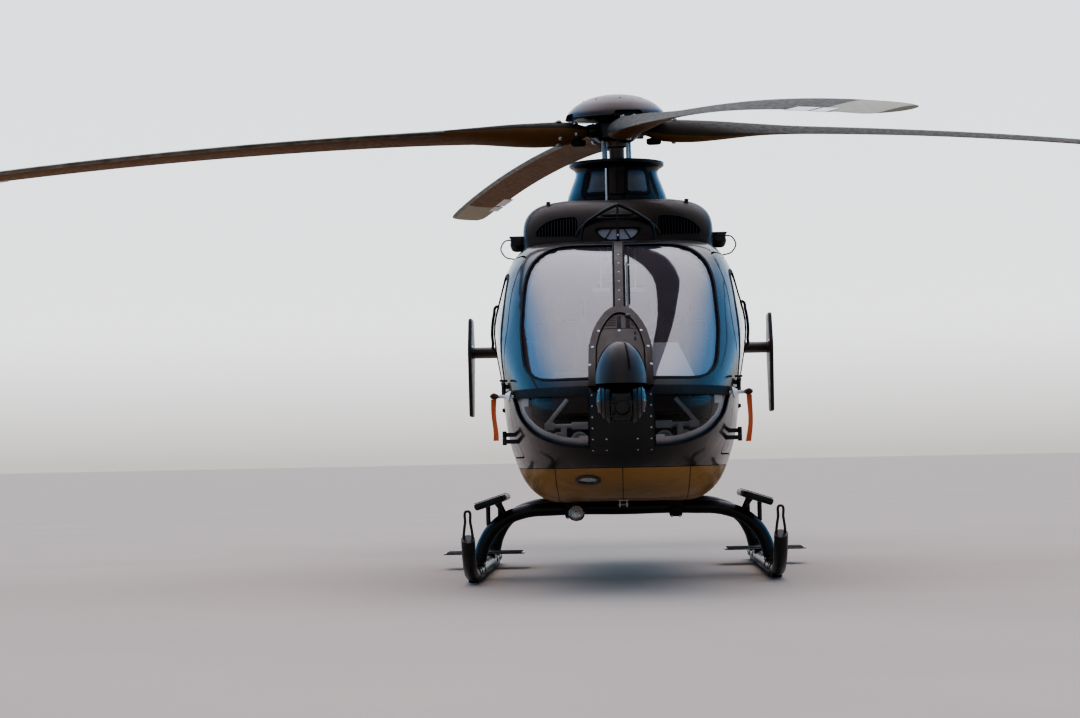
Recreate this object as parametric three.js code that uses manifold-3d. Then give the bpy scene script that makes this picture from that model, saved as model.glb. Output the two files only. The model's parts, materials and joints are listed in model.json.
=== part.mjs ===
// A light twin-engine helicopter parked on its skids, as an assembly of separate pieces.
// Millimetres, +Z up, nose towards -Y, the machine's left side at +X.
// A station is a distance aft of the fuselage nose, and heights are above the ground.
import * as THREE from 'three';
import { mergeVertices } from 'three/addons/utils/BufferGeometryUtils.js';
import Module from 'manifold-3d';

const wasm = await Module();
wasm.setup();

// Driving dimensions
const MIDDLE_STATION = 4176;
const GAP = 0.3;
const PANE_GAP = 0.7;
const DOOR_GAP = 8;
const WALL = 45;
const FLOOR_TOP = 740;
const SILL_Z = 700;
const NOSE_BAND_Z = 1150;
const NOSE_END = 800;
const POD_END = 5700;
/* A box big enough to cut the whole cabin */
const REACH = { front: -400, back: 5800, low: 300, high: 2700 };
const HALF = 900;

// Rotor
const HUB = { station: 3140, z: 2960 };
const ROTOR_RADIUS = 5100;
const ROTOR_DROOP = 330;
const MAST_TILT = { forward: 3, left: 1 };
const BLADE_AZIMUTH = -74.3;

// Tail
const FAN = { station: 9150, z: 1900, duct: 505, tip: 490 };
const STABILISER = { station: 7620, chord: 450, z: 1670, thick: 94, half: 1265 };

// Landing gear
const SKID = { x: 935, radius: 42, z: 54, from: 1290, toe: 285, to: 4520 };
const CROSS = { radius: 43, front: 2200, rear: 4100, z: 437 };

const radians = THREE.MathUtils.degToRad;

/* Cross-section of the cabin, belly centre to roof centre: share of half width, share of height */
const SECTION = [
  [0, 0], [0.3, 0], [0.57, 0.004], [0.74, 0.06], [0.835, 0.15], [0.9, 0.27], [0.935, 0.43],
  [1, 0.65], [0.945, 0.79], [0.865, 0.905], [0.72, 0.98], [0.42, 1], [0, 1],
];

/* Fuselage: station, half width, belly height, roof height, share of an ellipse in the section */
const FUSELAGE = [
  [0, 110, 960, 1120, 1], [35, 225, 872, 1175, 1], [110, 345, 790, 1245, 1], [250, 460, 705, 1352, 0.9],
  [450, 562, 640, 1500, 0.72], [700, 645, 588, 1680, 0.5], [1000, 712, 545, 1870, 0.25],
  [1350, 757, 510, 2022, 0.08], [1700, 778, 490, 2090, 0], [2200, 785, 480, 2110, 0],
  [3350, 785, 480, 2110, 0], [4200, 760, 492, 2110, 0], [4600, 690, 590, 2110, 0.12],
  [5000, 575, 830, 2115, 0.4], [5350, 435, 1190, 2140, 0.7], [5700, 290, 1600, 2190, 1],
];
const HULL_STATIONS = [
  0, 60, 160, 290, 450, 700, 1000, 1350, 1700, 2200, 3350, 4200, 4600, 5000, 5350, 5700,
];
/* The inside of the walls follows fewer rings, with fewer points in each */
const LINING_STATIONS = [0, 160, 450, 1000, 1700, 2200, 3350, 4200, 4800, 5350, 5700];
const LINING_ROWS = [0, 2, 3, 5, 7, 9, 10, 12];

// Makes a boolean solid from a closed geometry.
function solid(geometry) {
  const bare = geometry.clone();
  bare.deleteAttribute('normal');
  bare.deleteAttribute('uv');
  const merged = mergeVertices(bare, 1e-3);
  const triVerts = new Uint32Array(merged.index.array);
  const vertProperties = new Float32Array(merged.attributes.position.array);
  return new wasm.Manifold(new wasm.Mesh({ numProp: 3, vertProperties, triVerts }));
}

// Turns a boolean solid back into a geometry.
function geometry(shape) {
  const mesh = shape.getMesh();
  const result = new THREE.BufferGeometry();
  result.setAttribute('position', new THREE.BufferAttribute(new Float32Array(mesh.vertProperties), 3));
  result.setIndex(new THREE.BufferAttribute(new Uint32Array(mesh.triVerts), 1));
  result.computeVertexNormals();
  return result;
}

const join = (...shapes) => shapes.reduce((sum, shape) => sum.add(shape));

// Value of each column of a table at a station, by a smooth curve through its rows.
function along(rows, station) {
  const last = rows.length - 1;
  const at = Math.min(Math.max(station, rows[0][0]), rows[last][0]);
  let i = 0;
  while (i < last - 1 && at > rows[i + 1][0]) i += 1;
  const [a, b] = [rows[i], rows[i + 1]];
  const before = rows[Math.max(i - 1, 0)];
  const after = rows[Math.min(i + 2, last)];
  const span = b[0] - a[0];
  const t = (at - a[0]) / span;
  return a.map((_, k) => {
    const slopeA = span * (b[k] - before[k]) / (b[0] - before[0]);
    const slopeB = span * (after[k] - a[k]) / (after[0] - a[0]);
    const [t2, t3] = [t * t, t * t * t];
    return a[k] * (2 * t3 - 3 * t2 + 1) + slopeA * (t3 - 2 * t2 + t)
      + b[k] * (3 * t2 - 2 * t3) + slopeB * (t3 - t2);
  });
}

// Closed body through rings that have the same number of points, each end closed by a fan.
function loft(rings) {
  const count = rings[0].length;
  const points = rings.flat();
  const index = [];
  for (let r = 0; r < rings.length - 1; r += 1) {
    for (let k = 0; k < count; k += 1) {
      const [a, b] = [r * count + k, r * count + (k + 1) % count];
      index.push(a, b, b + count, a, b + count, a + count);
    }
  }
  for (const [ring, start, flip] of [[rings[0], 0, true], [rings.at(-1), points.length - count, false]]) {
    const centre = ring.reduce((sum, p) => sum.add(p), new THREE.Vector3()).divideScalar(count);
    const middle = points.push(centre) - 1;
    for (let k = 0; k < count; k += 1) {
      const [a, b] = [start + k, start + (k + 1) % count];
      index.push(...(flip ? [middle, b, a] : [middle, a, b]));
    }
  }
  const body = new THREE.BufferGeometry().setFromPoints(points);
  body.setIndex(index);
  let shape = solid(body);
  if (shape.volume() < 0) {
    body.setIndex(index.map((_, i) => index[i - (i % 3) + 2 - (i % 3)]));
    shape = solid(body);
  }
  return shape;
}

// Ring of the fuselage's section at one station, moved inwards by an inset.
function hullRing(row, inset, station, rows = null) {
  const [, half, low, high, round] = row;
  const side = SECTION.map(([w, u], i) => {
    const angle = radians(-90 + 180 * i / (SECTION.length - 1));
    const width = (1 - round) * w + round * Math.cos(angle);
    const height = (1 - round) * u + round * (0.5 + 0.5 * Math.sin(angle));
    return [width * (half - inset), low + inset + height * (high - low - 2 * inset)];
  });
  const kept = rows ? rows.map((i) => side[i]) : side;
  const right = kept.map(([x, z]) => new THREE.Vector3(x, station, z));
  const left = kept.slice(1, -1).reverse().map(([x, z]) => new THREE.Vector3(-x, station, z));
  right[0].x = 0;
  right.at(-1).x = 0;
  return [...right, ...left];
}

// The fuselage's outside shape, moved inwards by an inset. The lining is the coarser shape inside the walls.
function hull(inset, lining = false) {
  const NOSE_FADE = 700;
  return loft((lining ? LINING_STATIONS : HULL_STATIONS).map((at) => {
    const forward = Math.max(0, 1 - at / NOSE_FADE);
    const station = at === POD_END ? POD_END - inset : at + inset * forward;
    return hullRing(along(FUSELAGE, at), inset, station, lining ? LINING_ROWS : null);
  }));
}

// Half width of the fuselage at a station and height.
function skinX(station, z) {
  const ring = hullRing(along(FUSELAGE, station), 0, station).slice(0, SECTION.length);
  for (let i = 1; i < ring.length; i += 1) {
    if (ring[i].z >= z && ring[i].z > ring[i - 1].z) {
      const t = (z - ring[i - 1].z) / (ring[i].z - ring[i - 1].z);
      return THREE.MathUtils.lerp(ring[i - 1].x, ring[i].x, t);
    }
  }
  return 0;
}

// Box between two corners.
function box(x0, x1, y0, y1, z0, z1) {
  const shape = new THREE.BoxGeometry(x1 - x0, y1 - y0, z1 - z0);
  shape.translate((x0 + x1) / 2, (y0 + y1) / 2, (z0 + z1) / 2);
  return solid(shape);
}

// Outline with rounded corners, moved outwards by grow: rows of x, y and corner radius.
function outline(rows, grow = 0) {
  const points = rows.map(([x, y]) => new THREE.Vector2(x, y));
  const turn = Math.sign(THREE.ShapeUtils.area(points));
  const corners = rows.map(([, , r = 0], i) => {
    const [a, b] = [points.at(i - 1), points[(i + 1) % points.length]];
    const into = points[i].clone().sub(a).normalize();
    const out = b.clone().sub(points[i]).normalize();
    const normals = [into, out].map((edge) => new THREE.Vector2(edge.y, -edge.x).multiplyScalar(turn));
    const shift = normals[0].clone().add(normals[1]).multiplyScalar(grow / (1 + normals[0].dot(normals[1])));
    return { point: points[i].clone().add(shift), r };
  });
  const shape = new THREE.Shape();
  corners.forEach(({ point, r }, i) => {
    const before = corners.at(i - 1).point;
    const after = corners[(i + 1) % corners.length].point;
    const reach = (other) => Math.min(r, 0.45 * point.distanceTo(other));
    const a = before.clone().sub(point).setLength(reach(before)).add(point);
    const b = after.clone().sub(point).setLength(reach(after)).add(point);
    if (i === 0) shape.moveTo(a.x, a.y);
    else shape.lineTo(a.x, a.y);
    if (r > 0) shape.quadraticCurveTo(point.x, point.y, b.x, b.y);
  });
  shape.closePath();
  return shape;
}

// Prism of an outline given in station and height, between two x.
function sidePrism(shape, x0, x1, segments = 3) {
  const prism = new THREE.ExtrudeGeometry(shape, { depth: x1 - x0, bevelEnabled: false, curveSegments: segments });
  prism.applyMatrix4(new THREE.Matrix4().set(0, 0, 1, x0, 1, 0, 0, 0, 0, 1, 0, 0, 0, 0, 0, 1));
  return solid(prism);
}

// Prism of an outline given in x and height, between two stations.
function frontPrism(shape, y0, y1, segments = 3) {
  const prism = new THREE.ExtrudeGeometry(shape, { depth: y1 - y0, bevelEnabled: false, curveSegments: segments });
  prism.applyMatrix4(new THREE.Matrix4().set(1, 0, 0, 0, 0, 0, -1, y1, 0, 1, 0, 0, 0, 0, 0, 1));
  return solid(prism);
}

// Prism of an outline given in x and station, between two heights.
function planPrism(shape, z0, z1, segments = 3) {
  const prism = new THREE.ExtrudeGeometry(shape, { depth: z1 - z0, bevelEnabled: false, curveSegments: segments });
  prism.translate(0, 0, z0);
  return solid(prism);
}

// Round bar through a list of points.
function bar(points, radius, steps, sides = 8) {
  const path = new THREE.CatmullRomCurve3(points.map((p) => new THREE.Vector3(...p)), false, 'catmullrom', 0.5);
  const round = new THREE.Shape();
  for (let k = 0; k < sides; k += 1) {
    const angle = 2 * Math.PI * (k + 0.5) / sides;
    const [x, y] = [radius * Math.cos(angle), radius * Math.sin(angle)];
    if (k === 0) round.moveTo(x, y);
    else round.lineTo(x, y);
  }
  round.closePath();
  return solid(new THREE.ExtrudeGeometry(round, { steps, extrudePath: path, bevelEnabled: false }));
}

// Turned body about a vertical axis: rows of radius and height.
function turned(rows, segments = 24) {
  return solid(new THREE.LatheGeometry(rows.map(([r, z]) => new THREE.Vector2(r, z)), segments).rotateX(Math.PI / 2));
}

const mirrored = (shape) => shape.mirror([1, 0, 0]);
const SIDES = [['left', 1], ['right', -1]];
const onSide = (shape, sign) => (sign > 0 ? shape : mirrored(shape));

// Finishes: colour, roughness and metalness
const FINISH = {
  gloss: [0x1c1714, 0.2, 0.1], satin: [0x2c2623, 0.5, 0.1], black: [0x0b0b0c, 0.4, 0.2],
  belly: [0x6a4f2a, 0.3, 0.3], glass: [0x9aa0ad, 0.05, 0], grey: [0x8e8d88, 0.6, 0.1],
  blade: [0x54554c, 0.6, 0], metal: [0x777a7d, 0.35, 0.9], fabric: [0x3a3533, 0.9, 0], steel: [0x5a4a3c, 0.45, 0.9],
};
const machine = new THREE.Group();
machine.position.y = -MIDDLE_STATION;

// Adds one named piece to a group.
function piece(name, shape, finish, parent = machine) {
  const [color, roughness, metalness] = FINISH[finish];
  const mesh = new THREE.Mesh(geometry(shape), new THREE.MeshStandardMaterial({ color, roughness, metalness }));
  mesh.name = name;
  parent.add(mesh);
  return mesh;
}

// Airframe shells
const outside = hull(0);
const inside = hull(WALL, true);
const shell = outside.subtract(inside);
const WINDSCREEN = [[30, 1195], [545, 1195, 150], [578, 1500, 60], [560, 1890, 200], [400, 2048, 120], [30, 2048]];
const CHIN = [[180, 812], [330, 824, 60], [490, 880, 90], [590, 990, 60], [622, 1105], [180, 1105]];
const FRONT_DOOR = [[850, 762, 60], [1950, 762, 60], [1950, 1990, 90], [1330, 1990, 120], [850, 1420, 200]];
const FRONT_WINDOW = [[945, 1205, 60], [1850, 1205, 80], [1850, 1880, 90], [1400, 1880, 120], [945, 1400, 160]];
const SLIDING_DOOR = [[1992, 762, 60], [3330, 762, 60], [3330, 1990, 90], [1992, 1990, 90]];
const SLIDING_WINDOW = [[2130, 1205, 90], [3190, 1205, 90], [3190, 1860, 90], [2130, 1860, 90]];
const REAR_WINDOW = [[3450, 1290, 90], [4010, 1290, 90], [4010, 1800, 110], [3450, 1830, 90]];
const REAR_DOOR_WINDOW = [[90, 1200, 60], [385, 1200, 80], [405, 1530, 80], [90, 1530, 60]];
const REAR_DOOR = { front: 4330, low: 705, high: 1620 };
const DOOR_INNER = 420;

const mirroredOutline = (rows) => rows.map(([x, z, r]) => [-x, z, r]).reverse();
const bothFronts = (rows, y0, y1, grow = 0) => join(
  frontPrism(outline(rows, grow), y0, y1),
  frontPrism(outline(mirroredOutline(rows), grow), y0, y1),
);
const FRONT_REACH = { from: -200, to: 1480, chinTo: 780 };

const noseBlock = box(-HALF, HALF, REACH.front, NOSE_END, REACH.low, NOSE_BAND_Z);
const bellyBlock = box(-HALF, HALF, NOSE_END + GAP, REACH.back, REACH.low, SILL_Z);
const rearDoorBlock = box(-HALF, HALF, REAR_DOOR.front, REACH.back, REAR_DOOR.low, REAR_DOOR.high);

// Nose with its centre column, the two chin openings and a pitot arm on each side
const PITOT = { z: 1118, station: 640, root: 600, tip: 712, end: 560, radius: 11 };
const pitotArm = bar([
  [PITOT.root, PITOT.station + 30, PITOT.z], [PITOT.tip - 15, PITOT.station, PITOT.z],
  [PITOT.tip + 20, PITOT.end, PITOT.z],
], PITOT.radius, 4, 6);
let nose = shell.intersect(noseBlock)
  .subtract(bothFronts(CHIN, FRONT_REACH.from, FRONT_REACH.chinTo));
nose = join(nose, pitotArm, mirrored(pitotArm));
piece('nose_shell', nose, 'gloss');

// Belly with the landing lamp's housing and a bracket on the centreline
const LAMP = { x: -290, station: 1700, z: 415, radius: 52 };
const lamp = turned([[0, -46], [30, -38], [LAMP.radius, -8], [LAMP.radius, 20], [24, 44], [18, 90], [0, 90]], 12)
  .translate([LAMP.x, LAMP.station, LAMP.z]);
const HOOK = { half: 34, from: 1560, to: 1690, low: 452, top: 520 };
const hook = box(-HOOK.half, HOOK.half, HOOK.from, HOOK.to, HOOK.low, HOOK.top).subtract(hull(8));
piece('belly_shell', join(shell.intersect(bellyBlock), lamp, hook), 'belly');

// Cabin frame: roof, posts, centre post of the windscreen and the rear sides
let frame = shell
  .subtract(box(-HALF, HALF, REACH.front, NOSE_END + GAP, REACH.low, NOSE_BAND_Z + GAP))
  .subtract(box(-HALF, HALF, REACH.front, REACH.back, REACH.low, SILL_Z + GAP))
  .subtract(rearDoorBlock)
  .subtract(bothFronts(WINDSCREEN, FRONT_REACH.from, FRONT_REACH.to));
for (const opening of [FRONT_DOOR, SLIDING_DOOR, REAR_WINDOW]) {
  const cut = sidePrism(outline(opening), DOOR_INNER, HALF);
  frame = frame.subtract(cut).subtract(mirrored(cut));
}

// Door hinges: a knuckle on the frame under a knuckle on the door, on one upright axis
const KNUCKLE = { radius: 12, height: 40, arm: 26, armLow: 8, armHigh: 32, root: 22, out: 24 };
const FRONT_HINGE = { station: 850, levels: [880, 1160] };
const REAR_HINGE = { station: 4330, levels: [860, 1480] };
function hingeX(hinge) {
  return Math.max(...hinge.levels.map((z) => skinX(hinge.station, z))) + KNUCKLE.out;
}
function knuckles(hinge, upper) {
  const x = hingeX(hinge);
  const shift = upper ? GAP / 2 : -KNUCKLE.height - GAP / 2;
  const toward = upper ? 1 : -1;
  return hinge.levels.map((z) => {
    const pin = turned([[0, 0], [KNUCKLE.radius, 0], [KNUCKLE.radius, KNUCKLE.height], [0, KNUCKLE.height]], 8)
      .translate([x, hinge.station, z + shift]);
    const inner = skinX(hinge.station, z) - KNUCKLE.root;
    const ends = [toward * GAP, toward * KNUCKLE.arm].sort((p, q) => p - q);
    const arm = box(inner, x, ...ends, KNUCKLE.armLow, KNUCKLE.armHigh);
    return pin.add(arm.translate([0, hinge.station, z + shift]));
  });
}
for (const hinge of [FRONT_HINGE, REAR_HINGE]) {
  for (const knuckle of knuckles(hinge, false)) frame = join(frame, knuckle, mirrored(knuckle));
}
piece('cabin_frame', frame, 'gloss');

// Floor of the cabin, inside the walls
const floor = hull(WALL + GAP, true).intersect(box(-HALF, HALF, 380, 4310, SILL_Z + GAP, FLOOR_TOP));
piece('cabin_floor', floor, 'grey');

// Glass: a pane is a thin layer of the skin, cut to its opening
const PANE = { outer: 8, inner: 17 };
const paneLayer = hull(PANE.outer).subtract(hull(PANE.inner));
for (const [side, sign] of SIDES) {
  const front = (rows, to) => paneLayer.intersect(frontPrism(outline(rows, -PANE_GAP), FRONT_REACH.from, to));
  piece(`windscreen_${side}`, onSide(front(WINDSCREEN, FRONT_REACH.to), sign), 'glass');
  piece(`chin_window_${side}`, onSide(front(CHIN, FRONT_REACH.chinTo), sign), 'glass');
}

// Doors, and the panes in them
function door(rows, window, gap) {
  return shell.intersect(sidePrism(outline(rows, -gap), DOOR_INNER + gap, HALF))
    .subtract(sidePrism(outline(window), DOOR_INNER, HALF));
}
const pane = (window) => paneLayer.intersect(sidePrism(outline(window, -PANE_GAP), DOOR_INNER, HALF));
const REAR_LOOK = { from: 4750, to: 5640 };
const rearDoorSpace = box(DOOR_GAP / 2, HALF, REAR_DOOR.front + DOOR_GAP, POD_END - DOOR_GAP,
  REAR_DOOR.low + DOOR_GAP, REAR_DOOR.high - DOOR_GAP);
const rearLook = frontPrism(outline(REAR_DOOR_WINDOW), REAR_LOOK.from, REAR_LOOK.to);
const rearDoor = join(shell.intersect(rearDoorSpace).subtract(rearLook), ...knuckles(REAR_HINGE, true));
const frontDoor = join(door(FRONT_DOOR, FRONT_WINDOW, DOOR_GAP), ...knuckles(FRONT_HINGE, true));
for (const [side, sign] of SIDES) {
  piece(`front_door_${side}`, onSide(frontDoor, sign), 'gloss');
  piece(`front_door_glass_${side}`, onSide(pane(FRONT_WINDOW), sign), 'glass');
  piece(`sliding_door_${side}`, onSide(door(SLIDING_DOOR, SLIDING_WINDOW, GAP), sign), 'gloss');
  piece(`sliding_door_glass_${side}`, onSide(pane(SLIDING_WINDOW), sign), 'glass');
  piece(`rear_side_glass_${side}`, onSide(pane(REAR_WINDOW), sign), 'glass');
  piece(`rear_door_${side}`, onSide(rearDoor, sign), 'gloss');
  const rearPane = paneLayer.intersect(frontPrism(outline(REAR_DOOR_WINDOW, -PANE_GAP), REAR_LOOK.from,
    REAR_LOOK.to - PANE_GAP));
  piece(`rear_door_glass_${side}`, onSide(rearPane, sign), 'glass');
}

// Arch fairing on the nose, its strip up the windscreen and the camera housing
const ARCH = [[-180, 1152], [180, 1152], [176, 1380], [146, 1500, 60], [60, 1620, 60], [-60, 1620, 60],
  [-146, 1500, 60], [-176, 1380]];
const CAMERA = { station: -156, ball: 1062, radius: 140, top: 1156, dome: [140, 165, 230] };
const DRUM_ROOM = { radius: 95, top: 1182 };
const archLayer = hull(-38).subtract(hull(-GAP));
const arch = archLayer.intersect(frontPrism(outline(ARCH), -300, 900));
const strip = hull(-26).subtract(hull(-GAP))
  .intersect(frontPrism(outline([[-26, 1560], [26, 1560], [26, 2060], [-26, 2060]]), 0, 1500));
const dome = solid(new THREE.SphereGeometry(1, 16, 10).rotateX(Math.PI / 2)
  .scale(...CAMERA.dome).translate(0, CAMERA.station, CAMERA.top));
const neck = frontPrism(outline([[-140, 1156], [140, 1156], [120, 1300, 40], [60, 1372, 40], [-60, 1372, 40],
  [-120, 1300, 40]]), CAMERA.station, 420).subtract(hull(-GAP));
const housing = join(dome.subtract(hull(-GAP)), neck)
  .intersect(box(-300, 300, -400, 700, CAMERA.top, 1700))
  .subtract(turned([[0, 1100], [DRUM_ROOM.radius, 1100], [DRUM_ROOM.radius, DRUM_ROOM.top], [0, DRUM_ROOM.top]], 20)
    .translate([0, CAMERA.station, 0]));
piece('nose_arch', join(arch, strip, housing), 'satin');

// Camera turret: its body turns under the housing, and its drum tilts in a slot of the body
const DRUM = { radius: 108, half: 57, clear: 6, pin: 20 };
const sphere = (radius) => solid(new THREE.SphereGeometry(radius, 16, 10).rotateX(Math.PI / 2)
  .translate(0, CAMERA.station, CAMERA.ball));
const drumShape = (radius, half) => solid(new THREE.CylinderGeometry(radius, radius, 2 * half, 24)
  .rotateZ(Math.PI / 2).translate(0, CAMERA.station, CAMERA.ball));
const slotHalf = DRUM.half + DRUM.clear;
const turretBody = sphere(CAMERA.radius)
  .intersect(box(-300, 300, -400, 300, 800, CAMERA.top - GAP))
  .subtract(drumShape(DRUM.radius + DRUM.clear, slotHalf))
  .subtract(box(-slotHalf, slotHalf, -400, CAMERA.station - 20, CAMERA.ball - 62, CAMERA.top + 50));
piece('turret_body', turretBody, 'black');
piece('turret_drum', drumShape(DRUM.radius, DRUM.half).add(drumShape(DRUM.pin, slotHalf - GAP)), 'black');

// Inside the cabin: instrument panel with its console, seats, bench and pedals
const PANEL = [[640, 1010], [690, 1215], [800, 1262], [905, 1235], [880, 1000]];
const panel = sidePrism(outline(PANEL), -400, 400)
  .intersect(hull(WALL + 12))
  .add(sidePrism(outline([[760, FLOOR_TOP + GAP], [760, 1050], [1060, 1020], [1420, 900], [1480, FLOOR_TOP + GAP]]),
    -105, 105));
piece('instrument_panel', panel, 'black');

const SEAT = { x: 335, half: 235, from: 1350, top: 1750 };
const seat = join(
  sidePrism(outline([[1420, FLOOR_TOP + GAP], [1800, FLOOR_TOP + GAP], [1780, 1000], [1440, 1000]]), -150, 150),
  sidePrism(outline([[SEAT.from, 990, 20], [SEAT.from, 1105, 50], [1730, 1080, 20], [1840, 1640, 40],
    [1930, 1640, 40], [1830, 980, 60]]), -SEAT.half, SEAT.half),
  sidePrism(outline([[1835, 1600], [1850, SEAT.top, 30], [1930, SEAT.top, 30], [1925, 1600]]), -130, 130),
);
for (const [side, sign] of SIDES) {
  piece(`pilot_seat_${side}`, seat.translate([sign * SEAT.x, 0, 0]), 'fabric');
}
const bench = sidePrism(outline([[3330, FLOOR_TOP + GAP], [3330, 1120, 40], [3700, 1090, 20], [3790, 1640, 40],
  [3890, 1640, 40], [3810, FLOOR_TOP + GAP]]), -590, 590);
piece('rear_seat_row', bench.intersect(hull(WALL + GAP, true)), 'fabric');

const PEDALS = { station: 540, z: 930, legs: 290, places: [-390, -210, 210, 390] };
const cross = solid(new THREE.CylinderGeometry(14, 14, 900, 8).rotateZ(Math.PI / 2)
  .translate(0, PEDALS.station, PEDALS.z));
const legs = [-1, 1].map((s) => box(s * PEDALS.legs - 18, s * PEDALS.legs + 18, PEDALS.station - 14,
  PEDALS.station + 14, FLOOR_TOP + GAP, PEDALS.z + 20));
const pads = PEDALS.places.map((x) => box(x - 42, x + 42, PEDALS.station - 20, PEDALS.station - 6, PEDALS.z - 100,
  PEDALS.z + 6));
piece('pedal_assembly', join(cross, ...legs, ...pads).intersect(hull(WALL + GAP, true)), 'grey');

// Cowlings on the roof: station, half width, top height
const COWLING = [
  [1915, 545, 2085], [1960, 575, 2230], [2030, 592, 2330], [2160, 600, 2390], [2450, 600, 2412], [2760, 600, 2445],
  [3100, 598, 2490], [3600, 592, 2495], [4300, 570, 2478], [4800, 505, 2420], [5200, 400, 2335], [5480, 310, 2262],
  [5640, 265, 2215],
];
const SHOULDER = [[1, 0], [1, 0.42], [0.96, 0.68], [0.86, 0.86], [0.7, 0.96], [0.45, 1]];
const COWL_BASE = 1980;
const COWL_WALL = 20;
const EAVES = 2080;
function cowl(inset) {
  const front = Math.max(0, inset);
  return loft(COWLING.map(([at, half, top], i) => {
    const last = i === COWLING.length - 1;
    const station = last ? at - front : at + front * Math.max(0, 1 - i / 4);
    const side = SHOULDER.map(([w, u]) => {
      const z = EAVES + u * (top - inset - EAVES);
      return [w * (half - inset), u === 0 ? COWL_BASE - inset : z];
    });
    return [...side.map(([x, z]) => new THREE.Vector3(x, station, z)),
      ...side.reverse().map(([x, z]) => new THREE.Vector3(-x, station, z))];
  }));
}
const COWL_SPLIT = 2750;
const FUNNEL = { base: 335, neck: 275, lip: 320, low: 2486, mid: 2660, top: 2735, station: 3166, wall: 22 };
const mastHole = turned([[0, 2300], [FUNNEL.base - 60, 2300], [FUNNEL.base - 60, 2600], [0, 2600]], 20)
  .translate([0, FUNNEL.station, 0]);
const cowlShell = cowl(0).subtract(cowl(COWL_WALL)).subtract(hull(-GAP));

// Exhaust pipes leave the engines and come out of the cowling's rear corners
const ENGINE = { inner: 70, outer: 400, from: 3700, to: 4590, top: 2330 };
const EXHAUST = { route: [[240, 4560, 2240], [290, 4900, 2280], [365, 5160, 2340], [455, 5380, 2400]], radius: 92 };
const pipe = (radius) => bar(EXHAUST.route, radius, 4, 10);
const exhaust = pipe(EXHAUST.radius).subtract(bar(EXHAUST.route.map(([x, y, z], i) => (
  i === 3 ? [x + 8, y + 20, z + 6] : [x, y + (i === 0 ? 90 : 0), z])), EXHAUST.radius - 12, 4, 10))
  .subtract(box(-HALF, HALF, 4000, ENGINE.to + GAP, 1900, 2700));

// Grilles: upright slots in the brow's front face, shorter outwards
const GRILLE = { from: 252, pitch: 34, slot: 19, count: 8, low: 2142, high: 2272, outer: 2205 };
const slots = Array.from({ length: GRILLE.count }, (_, i) => {
  const x = GRILLE.from + i * GRILLE.pitch;
  const top = THREE.MathUtils.lerp(GRILLE.high, GRILLE.outer, i / (GRILLE.count - 1));
  return box(x, x + GRILLE.slot, 1850, 2100, GRILLE.low, top);
});
const ROOF_WINDOW = [[-165, 2196, 60], [165, 2196, 60], [90, 2112, 40], [-90, 2112, 40]];
const recess = frontPrism(outline(ROOF_WINDOW), 1850, 1990);
let brow = cowlShell.intersect(box(-HALF, HALF, 1800, COWL_SPLIT - GAP, 1900, 2700));
for (const slot of slots) brow = brow.subtract(slot).subtract(mirrored(slot));
const shoulderBox = (sign) => box(Math.min(sign * 590, sign * 690), Math.max(sign * 590, sign * 690), 2110, 2250,
  2072, 2170);
brow = brow.subtract(recess).add(shoulderBox(1).subtract(hull(-GAP)));
brow = brow.add(shoulderBox(-1).subtract(hull(-GAP)));
const AERIAL = { x: -70, station: 2540, low: 2395, high: 2640, radius: 6 };
brow = brow.add(turned([[0, AERIAL.low], [AERIAL.radius, AERIAL.low], [AERIAL.radius, AERIAL.high],
  [0, AERIAL.high]], 6).translate([AERIAL.x, AERIAL.station, 0]));
const LUG = { x: 438, station: 2120, low: 2330, high: 2388, radius: 24 };
const lug = turned([[0, LUG.low], [LUG.radius, LUG.low], [LUG.radius, LUG.high - 10], [LUG.radius / 2, LUG.high],
  [0, LUG.high]], 10).translate([LUG.x, LUG.station, 0]);
brow = join(brow, lug, mirrored(lug));
piece('brow_cowling', brow, 'satin');

let engineCowl = cowlShell.intersect(box(-HALF, HALF, COWL_SPLIT, POD_END, 1900, 2700)).subtract(mastHole);
for (const sign of [1, -1]) engineCowl = engineCowl.subtract(onSide(pipe(EXHAUST.radius + 9), sign));
piece('engine_cowling', engineCowl, 'satin');
const GEARBOX_TOP = 2400;
piece('gearbox_block', box(-220, 220, 2890, 3440, 2000, GEARBOX_TOP).subtract(hull(-GAP)), 'metal');
const engine = box(ENGINE.inner, ENGINE.outer, ENGINE.from, ENGINE.to, 2000, ENGINE.top).subtract(hull(-GAP));
for (const [side, sign] of SIDES) {
  piece(`engine_block_${side}`, onSide(engine, sign), 'metal');
  piece(`exhaust_${side}`, onSide(exhaust, sign), 'steel');
}

// Funnel round the mast
const funnelRows = [[FUNNEL.base, FUNNEL.low - 40], [FUNNEL.base, FUNNEL.low + 20], [FUNNEL.neck, FUNNEL.mid],
  [FUNNEL.lip, FUNNEL.top - 22], [FUNNEL.lip, FUNNEL.top]];
const funnel = turned([...funnelRows, ...funnelRows.map(([r, z]) => [r - FUNNEL.wall, z]).reverse(),
  funnelRows[0]], 24).translate([0, FUNNEL.station, 0]);
piece('mast_fairing', funnel.subtract(cowl(-GAP)), 'satin');

// Wire cutter on the roof, ahead of the brow
const CUTTER = { station: 1770, top: 2325, foot: 222, radius: 11 };
const cutterLeg = bar([[CUTTER.foot, CUTTER.station + 60, 2085], [150, CUTTER.station + 30, 2235],
  [0, CUTTER.station, CUTTER.top]], CUTTER.radius, 5, 6);
const cutterBlade = sidePrism(outline([[CUTTER.station - 20, 2080], [CUTTER.station - 14, CUTTER.top],
  [CUTTER.station + 16, CUTTER.top], [CUTTER.station + 90, 2080]]), -7, 7);
piece('wire_cutter', join(cutterLeg, mirrored(cutterLeg), cutterBlade).subtract(hull(-GAP)), 'black');

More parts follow.
